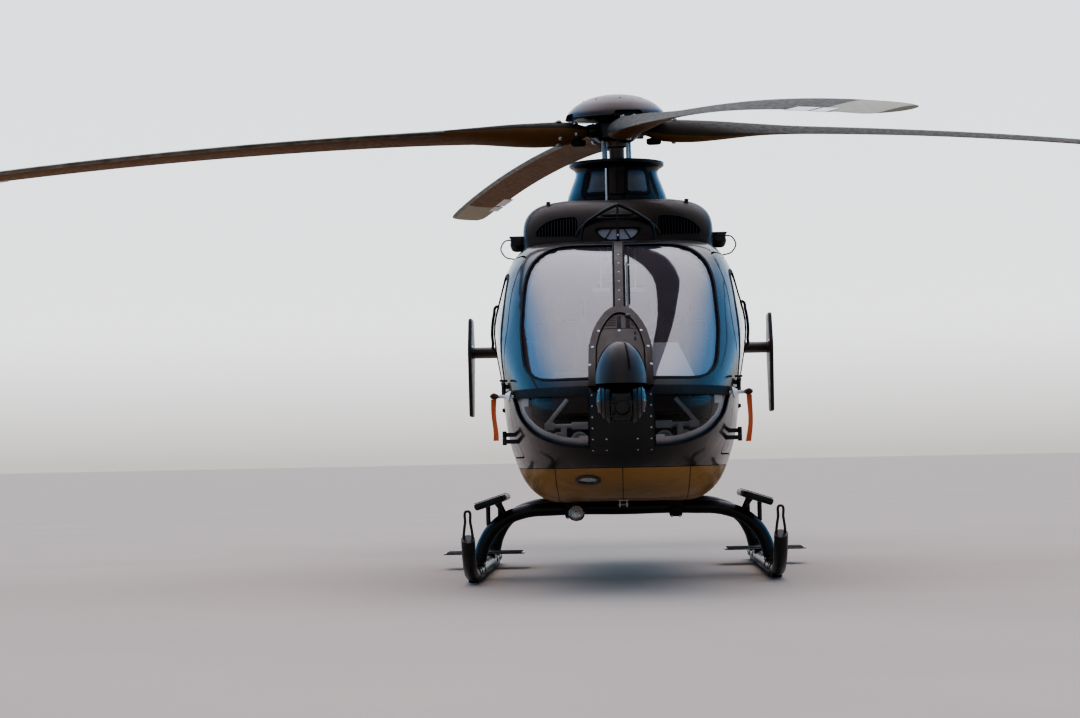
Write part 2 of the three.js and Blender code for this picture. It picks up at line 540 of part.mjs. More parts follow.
// Tail boom: station, half width, bottom, top
const BOOM = [[5700, 290, 1600, 2190], [6300, 245, 1628, 2150], [7600, 196, 1655, 2085], [8480, 165, 1700, 2050]];
const BOOM_SIDES = 16;
const BOOM_WALL = 25;
const boomBody = (inset, reach) => loft(BOOM.map(([at, half, low, high], i) => {
  const station = at + (i === 0 ? GAP - reach : 0) + (i === BOOM.length - 1 ? reach : 0);
  return Array.from({ length: BOOM_SIDES }, (_, k) => {
    const angle = 2 * Math.PI * k / BOOM_SIDES;
    return new THREE.Vector3((half - inset) * Math.cos(angle), station,
      (low + high) / 2 + ((high - low) / 2 - inset) * Math.sin(angle));
  });
}));
const boom = boomBody(0, 0).subtract(boomBody(BOOM_WALL, 10));

// Wing-like body across X: aerofoil of a chord and thickness, its nose at a station
function aerofoil(chord, thick, half, grow = 0) {
  const shares = [[0, 0.0], [0.06, 0.62], [0.3, 1], [0.65, 0.66], [1, 0.08]];
  const upper = shares.map(([c, t]) => [c * (chord + 2 * grow) - grow, t * (thick / 2 + grow)]);
  const lower = shares.slice(1).reverse().map(([c, t]) => [c * (chord + 2 * grow) - grow, -t * (thick / 2 + grow)]);
  return sidePrism(outline([...upper, ...lower]), -half, half);
}
const place = [0, STABILISER.station, STABILISER.z];
const stabiliser = aerofoil(STABILISER.chord, STABILISER.thick, STABILISER.half).translate(place);
const slot = aerofoil(STABILISER.chord, STABILISER.thick, 400, GAP + 0.4).translate(place);
piece('tail_boom', boom.subtract(slot), 'gloss');
piece('stabiliser', stabiliser, 'satin');
const END_PLATE = [[7560, 1120, 30], [7480, 1690, 60], [7640, 1965, 40], [7960, 1965, 40], [8060, 1690, 40],
  [7850, 1120, 30]];
for (const [side, sign] of SIDES) {
  const plate = sidePrism(outline(END_PLATE), STABILISER.half + GAP, STABILISER.half + 30);
  piece(`end_plate_${side}`, onSide(plate, sign), 'satin');
}

// Fan shroud and fin: side outline, cut by a taper seen from the front and by one seen from above
const FIN = [[8480.3, 1735, 0], [8640, 1480, 120], [8900, 1262, 200], [9300, 1215, 200], [9640, 1350, 200],
  [9860, 1700, 200], [9960, 2300, 100], [10180, 3400, 60], [10140, 3500, 40], [9860, 3500, 60], [9560, 2900, 200],
  [9180, 2520, 200], [8760, 2290, 200], [8480.3, 2040, 0]];
const finSide = sidePrism(outline(FIN), -200, 200, 4);
const finFront = frontPrism(outline([[-165, 1150], [165, 1150], [178, 1900, 100], [150, 2350, 100], [55, 2900, 60],
  [38, 3600], [-38, 3600], [-55, 2900, 60], [-150, 2350, 100], [-178, 1900, 100]]), 8000, 11000, 3);
const finPlan = planPrism(outline([[-165, 8470], [165, 8470], [178, 9100, 200], [120, 9800, 60], [22, 10200],
  [-22, 10200], [-120, 9800, 60], [-178, 9100, 200]].reverse()), 1000, 3700, 3);
const across = (radius, half, segments = 28) => solid(new THREE.CylinderGeometry(radius, radius, 2 * half, segments)
  .rotateZ(Math.PI / 2).translate(0, FAN.station, FAN.z));
const bumper = bar([[0, 9080, 1240], [0, 9180, 1120], [0, 9420, 1080], [0, 9640, 1140]], 16, 8, 6);
piece('fan_shroud', finSide.intersect(finFront).intersect(finPlan).subtract(across(FAN.duct, 400, 32)).add(bumper),
  'gloss');

const spoke = (angle, x0, x1, r0, r1, thick) => box(x0, x1, -thick / 2, thick / 2, r0, r1)
  .rotate([angle, 0, 0]).translate([0, FAN.station, FAN.z]);
const STATOR = { count: 5, x0: 40, x1: 120, hub: 118, thick: 16 };
const stator = join(
  solid(new THREE.CylinderGeometry(STATOR.hub, STATOR.hub, 130, 16).rotateZ(Math.PI / 2)
    .translate(90, FAN.station, FAN.z)),
  ...Array.from({ length: STATOR.count }, (_, k) => spoke(72 * k + 18, STATOR.x0, STATOR.x1, 60, FAN.duct + 20,
    STATOR.thick)),
);
piece('fan_stator', stator.intersect(across(FAN.duct - GAP, 400, 32)), 'satin');

// Landing gear: skids with worn flat soles, cross tubes, boarding steps and ground plates
function skidPath(x) {
  return [[x, SKID.from, SKID.toe], [x, 1370, 170], [x, 1520, 85], [x, 1720, SKID.z], [x, 2400, SKID.z],
    [x, 3400, SKID.z], [x, SKID.to, SKID.z]];
}
const SHOE = { half: 30, from: 1760, to: SKID.to - 60, top: 40 };
/* Thin loop standing on the turned-up toe */
const LOOP = { foot: 32, back: 30, low: 240, mid: 380, lean: 14, top: 452, radius: 8 };
const skid = join(bar(skidPath(SKID.x), SKID.radius, 16, 8),
  box(SKID.x - SHOE.half, SKID.x + SHOE.half, SHOE.from, SHOE.to, 0, SHOE.top),
  bar([[SKID.x - LOOP.foot, SKID.from + LOOP.back, LOOP.low], [SKID.x - LOOP.foot / 2, SKID.from, LOOP.mid],
    [SKID.x, SKID.from - LOOP.lean, LOOP.top], [SKID.x + LOOP.foot / 2, SKID.from, LOOP.mid],
    [SKID.x + LOOP.foot, SKID.from + LOOP.back, LOOP.low]], LOOP.radius, 10, 6));
const CROSS_ARC = [[0, 0], [430, 0], [660, -22], [810, -100], [890, -215], [925, -330], [SKID.x, -385]];
function crossTube(station) {
  const half = CROSS_ARC.map(([x, dz]) => [x, station, CROSS.z + dz]);
  const whole = [...half.slice(1).reverse().map(([x, y, z]) => [-x, y, z]), ...half];
  return bar(whole, CROSS.radius, 26, 8);
}
const skidClear = bar(skidPath(SKID.x), SKID.radius + GAP + 0.2, 16, 8);
const step = join(
  sidePrism(outline([[1690, -22, 12], [2640, -22, 12], [2640, 22, 12], [1690, 22, 12]]), -95, 95)
    .rotate([0, 18, 0]).translate([828, 0, 492]),
  box(770, 800, CROSS.front - 14, CROSS.front + 14, 380, 500),
  box(845, 875, CROSS.front - 14, CROSS.front + 14, 330, 490),
);
let front = crossTube(CROSS.front);
let rear = crossTube(CROSS.rear);
front = join(front, step, mirrored(step));
for (const sign of [1, -1]) {
  front = front.subtract(onSide(skidClear, sign));
  rear = rear.subtract(onSide(skidClear, sign));
}
const CLAMP = { x: 330, half: 45, length: 60 };
const clamp = (station) => box(CLAMP.x - CLAMP.half, CLAMP.x + CLAMP.half, station - CLAMP.length,
  station + CLAMP.length, CROSS.z - 10, 560).subtract(hull(-GAP));
for (const sign of [1, -1]) {
  front = front.add(onSide(clamp(CROSS.front), sign));
  rear = rear.add(onSide(clamp(CROSS.rear), sign));
}
piece('front_cross_tube', front, 'black');
piece('rear_cross_tube', rear, 'black');
const PLATE = { inner: 690, outer: 1250, from: 3560, to: 3900, low: 104, thick: 8 };
const plate = box(PLATE.inner, PLATE.outer, PLATE.from, PLATE.to, PLATE.low, PLATE.low + PLATE.thick)
  .add(box(SKID.x - 40, SKID.x + 40, PLATE.from + 40, PLATE.to - 40, 70, PLATE.low + 2)).subtract(skidClear);
for (const [side, sign] of SIDES) {
  piece(`skid_${side}`, onSide(skid, sign), 'black');
  piece(`ground_plate_${side}`, onSide(plate, sign), 'black');
}

// Main rotor, in a frame tilted with the mast
const rotor = new THREE.Group();
const mastAxis = new THREE.Vector3(-Math.tan(radians(MAST_TILT.left)), -Math.tan(radians(MAST_TILT.forward)), 1)
  .normalize();
rotor.position.set(0, HUB.station, HUB.z);
rotor.quaternion.setFromUnitVectors(new THREE.Vector3(0, 0, 1), mastAxis);
machine.add(rotor);
const MAST_RADIUS = 52;
const tilt = Math.acos(mastAxis.z);
const mastFoot = (GEARBOX_TOP + GAP + MAST_RADIUS * Math.sin(tilt) - HUB.z) / Math.cos(tilt);
const HUB_TOP = 60;
const hubArm = (angle) => box(0, 205, -75, 75, -42, 42).rotate([0, 0, angle]);
const rod = (angle) => bar([[112, 0, -368], [118, 0, -40]], 10, 1, 6).rotate([0, 0, angle + 24]);
const hubParts = [0, 1, 2, 3].flatMap((k) => [hubArm(BLADE_AZIMUTH + 90 * k), rod(BLADE_AZIMUTH + 90 * k)]);
const mast = join(
  turned([[0, mastFoot], [MAST_RADIUS, mastFoot], [MAST_RADIUS, -70], [0, -70]], 16),
  turned([[0, -75], [120, -75], [150, -42], [150, 42], [100, HUB_TOP], [0, HUB_TOP]], 20),
  turned([[40, -410], [140, -410], [150, -385], [130, -360], [40, -360], [40, -410]], 20),
  ...hubParts,
);
piece('rotor_mast', mast, 'black', rotor);
const CAP = [[0, HUB_TOP + GAP], [105, HUB_TOP + GAP], [330, 78], [335, 92], [318, 126], [262, 176], [170, 220],
  [70, 240], [0, 243]];
const NOTCH = { from: 286, to: 400, half: 96, top: 112 };
const notches = [0, 1, 2, 3].map((k) => box(NOTCH.from, NOTCH.to, -NOTCH.half, NOTCH.half, 0, NOTCH.top)
  .rotate([0, 0, BLADE_AZIMUTH + 90 * k]));
piece('hub_cap', turned(CAP).subtract(join(...notches)), 'satin', rotor);

/* Blade: radius, chord, thickness, pitch in degrees */
const BLADE = [
  [205.3, 120, 70, 12], [330, 215, 110, 14], [620, 300, 104, 15], [1000, 300, 66, 14], [1400, 288, 40, 13],
  [3000, 288, 35, 10], [4700, 288, 32, 8], [5000, 270, 28, 8], [ROTOR_RADIUS, 225, 20, 8],
];
const BLADE_SHARES = [[0, 0], [0.05, 0.6], [0.3, 1], [0.65, 0.62], [1, 0.08]];
function bladeRing([radius, chord, thick, pitch]) {
  const turn = radians(pitch);
  const droop = ROTOR_DROOP * ((radius - 205) / (ROTOR_RADIUS - 205)) ** 2;
  const rows = [...BLADE_SHARES.map(([c, t]) => [c, t]), ...BLADE_SHARES.slice(1).reverse().map(([c, t]) => [c, -t])];
  return rows.map(([c, t]) => {
    const [y, z] = [chord * (0.3 - c), t * thick / 2];
    return new THREE.Vector3(radius, y * Math.cos(turn) - z * Math.sin(turn),
      y * Math.sin(turn) + z * Math.cos(turn) - droop);
  });
}
const blade = loft(BLADE.map(bladeRing));
for (let k = 0; k < 4; k += 1) {
  const mesh = piece(`rotor_blade_${k + 1}`, blade, 'blade', rotor);
  mesh.rotation.z = radians(BLADE_AZIMUTH + 90 * k);
}

// Tail fan: ten blades, unevenly spaced to spread their noise
const FAN_ROTOR = { x0: -95, x1: -5, hub: 120, blades: 10, uneven: 4, pitch: 32, chord: 62, thick: 10 };
const fanBlade = (angle) => box(-FAN_ROTOR.thick / 2, FAN_ROTOR.thick / 2, -FAN_ROTOR.chord / 2, FAN_ROTOR.chord / 2,
  90, FAN.tip).rotate([0, 0, FAN_ROTOR.pitch]).translate([-50, 0, 0]).rotate([angle, 0, 0])
  .translate([0, FAN.station, FAN.z]);
const fanRotor = join(
  solid(new THREE.CylinderGeometry(FAN_ROTOR.hub, FAN_ROTOR.hub, FAN_ROTOR.x1 - FAN_ROTOR.x0, 20)
    .rotateZ(Math.PI / 2).translate((FAN_ROTOR.x0 + FAN_ROTOR.x1) / 2, FAN.station, FAN.z)),
  solid(new THREE.CylinderGeometry(40, 40, 38, 12).rotateZ(Math.PI / 2).translate(5.7, FAN.station, FAN.z)),
  ...Array.from({ length: FAN_ROTOR.blades }, (_, k) => fanBlade(36 * k + (k % 2 ? FAN_ROTOR.uneven : 0))),
);
piece('tail_fan_rotor', fanRotor, 'metal');

export default machine;
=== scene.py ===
"""Dresses a light twin-engine helicopter, parked on its skids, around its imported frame.

Metres, +Z up, nose towards -Y, the machine's left side at +X. A station is a distance aft of the nose.
"""

from __future__ import annotations

import json
import logging
import math
from dataclasses import dataclass, field
from enum import Enum
from typing import Callable, Iterable, Sequence

import bpy
from mathutils import Matrix, Vector

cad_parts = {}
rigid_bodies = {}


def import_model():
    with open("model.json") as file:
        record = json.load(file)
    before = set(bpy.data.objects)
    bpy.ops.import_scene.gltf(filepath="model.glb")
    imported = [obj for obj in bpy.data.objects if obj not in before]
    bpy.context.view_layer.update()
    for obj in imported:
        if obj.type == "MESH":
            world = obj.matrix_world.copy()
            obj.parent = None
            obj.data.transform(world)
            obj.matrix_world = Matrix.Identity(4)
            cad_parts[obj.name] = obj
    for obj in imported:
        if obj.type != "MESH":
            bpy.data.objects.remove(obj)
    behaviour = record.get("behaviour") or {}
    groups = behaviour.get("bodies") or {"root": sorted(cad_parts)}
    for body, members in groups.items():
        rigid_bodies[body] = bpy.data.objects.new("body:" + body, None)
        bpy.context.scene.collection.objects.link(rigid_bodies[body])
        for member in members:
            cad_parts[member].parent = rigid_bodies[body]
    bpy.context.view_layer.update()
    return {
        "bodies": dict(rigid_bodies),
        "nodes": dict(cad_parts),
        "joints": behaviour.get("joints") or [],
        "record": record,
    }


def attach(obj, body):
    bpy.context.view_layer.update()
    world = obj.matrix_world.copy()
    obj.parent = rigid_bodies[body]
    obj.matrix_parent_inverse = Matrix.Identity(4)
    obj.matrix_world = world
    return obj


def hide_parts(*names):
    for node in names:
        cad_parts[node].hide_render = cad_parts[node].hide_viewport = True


LOG = logging.getLogger("helicopter")

Outline = Sequence[tuple[float, ...]]
Colour = tuple[float, float, float]
Stops = Sequence[tuple[float, Sequence[float]]]
Socket = bpy.types.NodeSocket
Piece = bpy.types.Object

MIDDLE_STATION = 4.176
GAP = 0.0003


class Body(Enum):
    """The bodies of the frame that a piece can ride on."""

    AIRFRAME = "airframe"
    FRONT_DOOR_LEFT = "front_door_l"
    FRONT_DOOR_RIGHT = "front_door_r"
    REAR_DOOR_LEFT = "rear_door_l"
    REAR_DOOR_RIGHT = "rear_door_r"
    TURRET = "turret"
    LENS = "turret_lens"
    ROTOR = "main_rotor"
    FAN = "tail_fan"


class Side(Enum):
    """A side of the machine, with the sign of its X."""

    LEFT = 1
    RIGHT = -1

    @property
    def word(self) -> str:
        """The side's name as it stands in node names."""
        return self.name.lower()


class View(Enum):
    """The plane that an outline is drawn in, by the axis it is pushed along."""

    SIDE = 0
    FRONT = 1
    PLAN = 2


class Cut(Enum):
    """What a boolean keeps."""

    AWAY = "DIFFERENCE"
    COMMON = "INTERSECT"
    BOTH = "UNION"


def aft(station: float) -> float:
    """Y of a station."""
    return station - MIDDLE_STATION


# Operators, used as by hand


def clear_selection() -> None:
    """Leaves edit mode and deselects everything."""
    if bpy.context.object is not None and bpy.context.object.mode != "OBJECT":
        bpy.ops.object.mode_set(mode="OBJECT")
    bpy.ops.object.select_all(action="DESELECT")


def pick(piece: Piece) -> None:
    """Makes a piece the only selected one, and active."""
    clear_selection()
    piece.select_set(True)
    bpy.context.view_layer.objects.active = piece


def started(name: str) -> Piece:
    """Names the primitive that was just added.

    Returns:
        The new piece.
    """
    piece = bpy.context.object
    piece.name = name
    piece.data.name = name
    return piece


def edit_all(piece: Piece) -> None:
    """Opens a piece in edit mode with its whole mesh selected."""
    pick(piece)
    bpy.ops.object.mode_set(mode="EDIT")
    bpy.ops.mesh.select_all(action="SELECT")


def leave_edit() -> None:
    """Goes back to object mode."""
    bpy.ops.object.mode_set(mode="OBJECT")


def modify(piece: Piece, kind: str, **settings: object) -> None:
    """Adds a modifier and applies it.

    Args:
        piece: What is modified.
        kind: Blender's name of the modifier.
        settings: The modifier's own values.
    """
    modifier = piece.modifiers.new(kind.lower(), kind)
    for key, value in settings.items():
        setattr(modifier, key, value)
    pick(piece)
    bpy.ops.object.modifier_apply(modifier=modifier.name)


def smooth(piece: Piece, angle: float = 32) -> Piece:
    """Shades a piece smooth up to an angle in degrees."""
    pick(piece)
    bpy.ops.object.shade_smooth_by_angle(angle=math.radians(angle))
    return piece


def outwards(piece: Piece) -> None:
    """Closes seams and turns all faces outwards."""
    edit_all(piece)
    bpy.ops.mesh.remove_doubles(threshold=1e-6)
    bpy.ops.mesh.normals_make_consistent(inside=False)
    leave_edit()


def carve(piece: Piece, cutter: Piece, cut: Cut = Cut.AWAY, keep: bool = False) -> Piece:
    """Cuts a piece by another, closed one.

    Args:
        piece: What is cut.
        cutter: The closed shape that cuts it.
        cut: What stays.
        keep: Whether the cutter is used again.

    Returns:
        The cut piece.
    """
    modify(piece, "BOOLEAN", object=cutter, operation=cut.value, solver="MANIFOLD")
    if not keep:
        bpy.data.objects.remove(cutter)
    return piece


def copied(piece: Piece, name: str) -> Piece:
    """A copy of a piece with a mesh of its own."""
    pick(piece)
    bpy.ops.object.duplicate()
    return started(name)


def spun(degrees: float, axis: str) -> Matrix:
    """A turn about an axis through the origin."""
    return Matrix.Rotation(math.radians(degrees), 4, axis)


def placed(spot: Sequence[float], axis: str, degrees: float) -> Matrix:
    """A turn about an axis, then a move to a spot."""
    return Matrix.Translation(spot) @ spun(degrees, axis)


def leaned(way: Vector) -> Matrix:
    """The turn that takes the Z axis to a direction."""
    return Vector((0, 0, 1)).rotation_difference(way).to_matrix().to_4x4()


def moved(piece: Piece, matrix: Matrix) -> Piece:
    """Moves a piece's mesh, and leaves the object at the origin."""
    piece.data.transform(matrix)
    if matrix.determinant() < 0:
        piece.data.flip_normals()
    return piece


def mirrored(piece: Piece, name: str) -> Piece:
    """A copy of a piece on the machine's other side."""
    return moved(copied(piece, name), Matrix.Scale(-1, 4, (1, 0, 0)))


def joined(name: str, pieces: Sequence[Piece]) -> Piece:
    """Several meshes as one piece, each still closed in itself."""
    pick(pieces[0])
    for piece in pieces:
        piece.select_set(True)
    if len(pieces) > 1:
        bpy.ops.object.join()
    return started(name)


def bevelled(piece: Piece, width: float, segments: int = 2, angle: float = 40) -> Piece:
    """Rounds a piece's sharp edges."""
    modify(piece, "BEVEL", width=width, segments=segments, limit_method="ANGLE",
           angle_limit=math.radians(angle))
    return piece


# Shapes


def rounded(rows: Outline, grow: float = 0.0, steps: int = 5) -> list[tuple[float, float]]:
    """Points of an outline with rounded corners.

    Args:
        rows: Corners as two places and, where it is rounded, a radius.
        grow: How far the outline moves outwards.
        steps: How many edges a rounded corner has.

    Returns:
        The outline's points in order.
    """
    count = len(rows)
    spots = [Vector(row[:2]) for row in rows]
    area = sum(spots[i - 1].x * spots[i].y - spots[i].x * spots[i - 1].y for i in range(count))
    turn = math.copysign(1, area)
    corners = []
    for i, spot in enumerate(spots):
        edges = [(spot - spots[i - 1]).normalized(), (spots[(i + 1) % count] - spot).normalized()]
        sides = [Vector((edge.y, -edge.x)) * turn for edge in edges]
        corners.append(spot + (sides[0] + sides[1]) * (grow / (1 + sides[0].dot(sides[1]))))
    points: list[tuple[float, float]] = []
    for i, corner in enumerate(corners):
        radius = rows[i][2] if len(rows[i]) > 2 else 0
        if not radius:
            points.append(tuple(corner))
            continue
        before, after = corners[i - 1] - corner, corners[(i + 1) % count] - corner
        start = corner + before * min(radius / before.length, 0.45)
        end = corner + after * min(radius / after.length, 0.45)
        for step in range(steps + 1):
            t = step / steps
            points.append(tuple(start * (1 - t) ** 2 + corner * 2 * t * (1 - t) + end * t * t))
    return points


def prism(name: str, points: Sequence[tuple[float, float]], view: View, low: float, high: float) -> Piece:
    """An outline pushed along one axis.

    Args:
        name: The piece's name.
        points: The outline. Side outlines give Y and Z, front ones X and Z, plan ones X and Y.
        view: The plane that it is drawn in.
        low: Where it starts on the third axis.
        high: Where it ends.

    Returns:
        A closed piece.
    """
    clear_selection()
    bpy.ops.mesh.primitive_circle_add(vertices=len(points), fill_type="NGON")
    piece = started(name)
    for vertex, (a, b) in zip(piece.data.vertices, points):
        place = [a, b]
        place.insert(view.value, low)
        vertex.co = place
    push = [0.0, 0.0, 0.0]
    push[view.value] = high - low
    edit_all(piece)
    bpy.ops.mesh.extrude_region_move(TRANSFORM_OT_translate={"value": push})
    bpy.ops.mesh.select_all(action="SELECT")
    bpy.ops.mesh.normals_make_consistent(inside=False)
    leave_edit()
    return piece


def side_outline(rows: Outline) -> list[tuple[float, ...]]:
    """Station rows turned into Y rows."""
    return [(aft(row[0]), *row[1:]) for row in rows]


def block(name: str, low: Sequence[float], high: Sequence[float], bevel: float = 0.0) -> Piece:
    """A box between two corners, its edges rounded."""
    clear_selection()
    centre = [(a + b) / 2 for a, b in zip(low, high)]
    bpy.ops.mesh.primitive_cube_add(size=1, location=centre)
    piece = started(name)
    piece.scale = [b - a for a, b in zip(low, high)]
    bpy.ops.object.transform_apply(location=True, rotation=True, scale=True)
    return bevelled(piece, bevel, 2) if bevel else piece


def loft(name: str, rings: Sequence[Sequence[Vector]], closed: bool = True, capped: bool = True) -> Piece:
    """A grid laid through rings of points, and rolled up where they are closed.

    Args:
        name: The piece's name.
        rings: Rings with the same number of points.
        closed: Whether each ring comes back to its first point.
        capped: Whether the two ends are filled.

    Returns:
        The piece, with U around the rings and V along them.
    """
    clear_selection()
    rows = [list(ring) + ([ring[0]] if closed else []) for ring in rings]
    bpy.ops.mesh.primitive_grid_add(x_subdivisions=len(rows[0]) - 1, y_subdivisions=len(rows) - 1)
    piece = started(name)
    piece.data.vertices.foreach_set("co", [value for row in rows for point in row for value in point])
    if closed:
        edit_all(piece)
        bpy.ops.mesh.remove_doubles(threshold=1e-6)
        if capped:
            bpy.ops.mesh.select_all(action="DESELECT")
            bpy.ops.mesh.select_non_manifold()
            bpy.ops.mesh.fill_holes(sides=0)
            bpy.ops.mesh.select_all(action="SELECT")
        bpy.ops.mesh.normals_make_consistent(inside=False)
        leave_edit()
    return piece


def turned(name: str, rows: Sequence[tuple[float, float]], steps: int = 32, ring: bool = False) -> Piece:
    """A profile of radius and height spun about Z.

    Args:
        name: The piece's name.
        rows: Radius and height of each point.
        steps: How many edges go round.
        ring: Whether the profile is a loop that stays clear of the axis.

    Returns:
        The piece, its axis on the Z axis.
    """
    clear_selection()
    bpy.ops.mesh.primitive_circle_add(vertices=len(rows), fill_type="NOTHING")
    piece = started(name)
    for vertex, (radius, height) in zip(piece.data.vertices, rows):
        vertex.co = (radius, 0, height)
    if not ring:
        pick(piece)
        ends = {0, len(rows) - 1}
        for edge in piece.data.edges:
            edge.select = set(edge.vertices) == ends
        for vertex in piece.data.vertices:
            vertex.select = False
        bpy.ops.object.mode_set(mode="EDIT")
        bpy.ops.mesh.delete(type="EDGE")
        leave_edit()
    modify(piece, "SCREW", steps=steps, render_steps=steps, use_merge_vertices=True, merge_threshold=1e-6)
    outwards(piece)
    return piece


def cylinder(name: str, radius: float, low: float, high: float, steps: int) -> Piece:
    """A plain cylinder on the Z axis."""
    return turned(name, [(0, low), (radius, low), (radius, high), (0, high)], steps)


def curve_tube(name: str, points: Sequence[Sequence[float]], radius: float, sides: int = 5,
               even: bool = True) -> Piece:
    """A round bar or cable along a smooth curve through points, turned into a mesh.

    Args:
        name: The piece's name.
        points: Where it goes.
        radius: Half its thickness.
        sides: Half of the edges round it, less two.
        even: Whether the curve is smooth through its points.

    Returns:
        A closed mesh.
    """
    clear_selection()
    bpy.ops.curve.primitive_bezier_curve_add()
    piece = started(name)
    spline = piece.data.splines[0]
    spline.bezier_points.add(len(points) - 2)
    for knot, place in zip(spline.bezier_points, points):
        knot.co = place
        knot.handle_left_type = knot.handle_right_type = "AUTO" if even else "VECTOR"
    piece.data.resolution_u = 6 if even else 1
    piece.data.bevel_depth = radius
    piece.data.bevel_resolution = sides
    piece.data.use_fill_caps = True
    piece.data.dimensions = "3D"
    bpy.context.view_layer.update()
    pick(piece)
    bpy.ops.object.convert(target="MESH")
    piece = started(name)
    outwards(piece)
    return smooth(piece, 50)


def weights(t: float) -> tuple[float, float, float, float]:
    """Shares of a curve's start, start slope, end and end slope, a share t of the way along."""
    return 2 * t**3 - 3 * t**2 + 1, t**3 - 2 * t**2 + t, 3 * t**2 - 2 * t**3, t**3 - t**2


def upright(rows: Sequence[tuple[float, ...]], at: float) -> tuple[float, ...]:
    """Values of a table's columns at a place in its first column, by a smooth curve through the rows."""
    last = len(rows) - 1
    at = min(max(at, rows[0][0]), rows[last][0])
    i = 0
    while i < last - 1 and at > rows[i + 1][0]:
        i += 1
    a, b = rows[i], rows[i + 1]
    before, after = rows[max(i - 1, 0)], rows[min(i + 2, last)]
    span = b[0] - a[0]
    t = (at - a[0]) / span
    start, leave, end, arrive = weights(t)
    values = []
    for k in range(len(a)):
        slope_a = span * (b[k] - before[k]) / (b[0] - before[0])
        slope_b = span * (after[k] - a[k]) / (after[0] - a[0])
        values.append(a[k] * start + slope_a * leave + b[k] * end + slope_b * arrive)
    return tuple(values)


def spread(low: float, high: float, count: int) -> list[float]:
    """Evenly spaced values from low to high, both included."""
    return [low + (high - low) * i / (count - 1) for i in range(count)]


# Finishes


class Tree:
    """A node tree, with short ways to add what the finishes and the surround share."""

    def __init__(self, tree: bpy.types.NodeTree) -> None:
        """Takes a tree and adds its coordinates."""
        self.tree = tree
        self.place = tree.nodes.new("ShaderNodeTexCoord")

    def link(self, source: Socket, target: Socket) -> None:
        """Joins two sockets."""
        self.tree.links.new(source, target)

    def add(self, kind: str, inputs: dict[str | int, object], **settings: object) -> bpy.types.Node:
        """Adds a node.

        Args:
            kind: Blender's name of the node.
            inputs: Values of its sockets, or the sockets that they are joined to.
            settings: The node's own values.

        Returns:
            The node.
        """
        node = self.tree.nodes.new(f"ShaderNode{kind}")
        for key, value in settings.items():
            setattr(node, key, value)
        for key, value in inputs.items():
            if isinstance(value, Socket):
                self.link(value, node.inputs[key])
            else:
                node.inputs[key].default_value = value
        return node

    def ramp(self, source: Socket, stops: Stops) -> Socket:
        """Colours along a value.

        Args:
            source: The value.
            stops: Places and colours.

        Returns:
            The colour socket.
        """
        node = self.add("ValToRGB", {"Fac": source})
        elements = node.color_ramp.elements
        while len(elements) < len(stops):
            elements.new(0.5)
        for element, (place, colour) in zip(elements, stops):
            element.position = place
            element.color = (*colour, 1)
        return node.outputs["Color"]

    def ranged(self, source: Socket, given: Sequence[float], wanted: Sequence[float]) -> Socket:
        """A value moved from one range to another."""
        return self.add("MapRange", {"Value": source, "From Min": given[0], "From Max": given[1],
                                     "To Min": wanted[0], "To Max": wanted[1]}).outputs["Result"]

    def blend(self, share: Socket, first: object, second: object) -> Socket:
        """The first colour, and the second where the share is 1."""
        node = self.add("Mix", {"Factor": share, "A": first, "B": second}, data_type="RGBA")
        return node.outputs["Result"]


class Nodes(Tree):
    """A material's node tree with one principled shader."""

    def __init__(self, name: str) -> None:
        """Makes a material of that name."""
        self.material = bpy.data.materials.new(name)
        self.material.use_nodes = True
        super().__init__(self.material.node_tree)
        self.shader = next(node for node in self.tree.nodes if node.type == "BSDF_PRINCIPLED")

    def set(self, **values: object) -> None:
        """Sets or joins the shader's own sockets, named in small letters with underscores."""
        for key, value in values.items():
            words = key.replace("_", " ")
            socket = next(s for s in self.shader.inputs if s.name.lower() == words)
            if isinstance(value, Socket):
                self.link(value, socket)
            else:
                socket.default_value = value

    def noise(self, scale: float, detail: float = 3, stretch: Sequence[float] = (1, 1, 1)) -> Socket:
        """Noise on object coordinates.

        Args:
            scale: Cells in a metre.
            detail: How fine it goes.
            stretch: The scale along each axis.

        Returns:
            The noise's value socket.
        """
        spot = self.add("Mapping", {"Scale": stretch, "Vector": self.place.outputs["Object"]})
        node = self.add("TexNoise", {"Scale": scale, "Detail": detail, "Vector": spot.outputs["Vector"]})
        return node.outputs["Fac"]

    def spanned(self, source: Socket, low: float, high: float) -> Socket:
        """Noise taken to a range."""
        return self.ranged(source, (0.3, 0.7), (low, high))

    def bump(self, source: Socket, depth: float) -> None:
        """Raises the surface by a value, depth in metres."""
        node = self.add("Bump", {"Distance": depth, "Strength": 1.0, "Height": source})
        self.set(normal=node.outputs["Normal"])


class Surface:
    """What a piece's surface is made of: a kind of surface says how its material is built."""

    name: str

    def material(self) -> bpy.types.Material:
        """The surface as a material, made once."""
        if self.name not in bpy.data.materials:
            self.build(Nodes(self.name))
        return bpy.data.materials[self.name]

    def build(self, nodes: Nodes) -> None:
        """Builds the material's nodes."""
        raise NotImplementedError


def scaled(colour: Sequence[float], share: float) -> tuple[float, ...]:
    """A colour made darker or lighter."""
    return tuple(min(1.0, value * share) for value in colour)


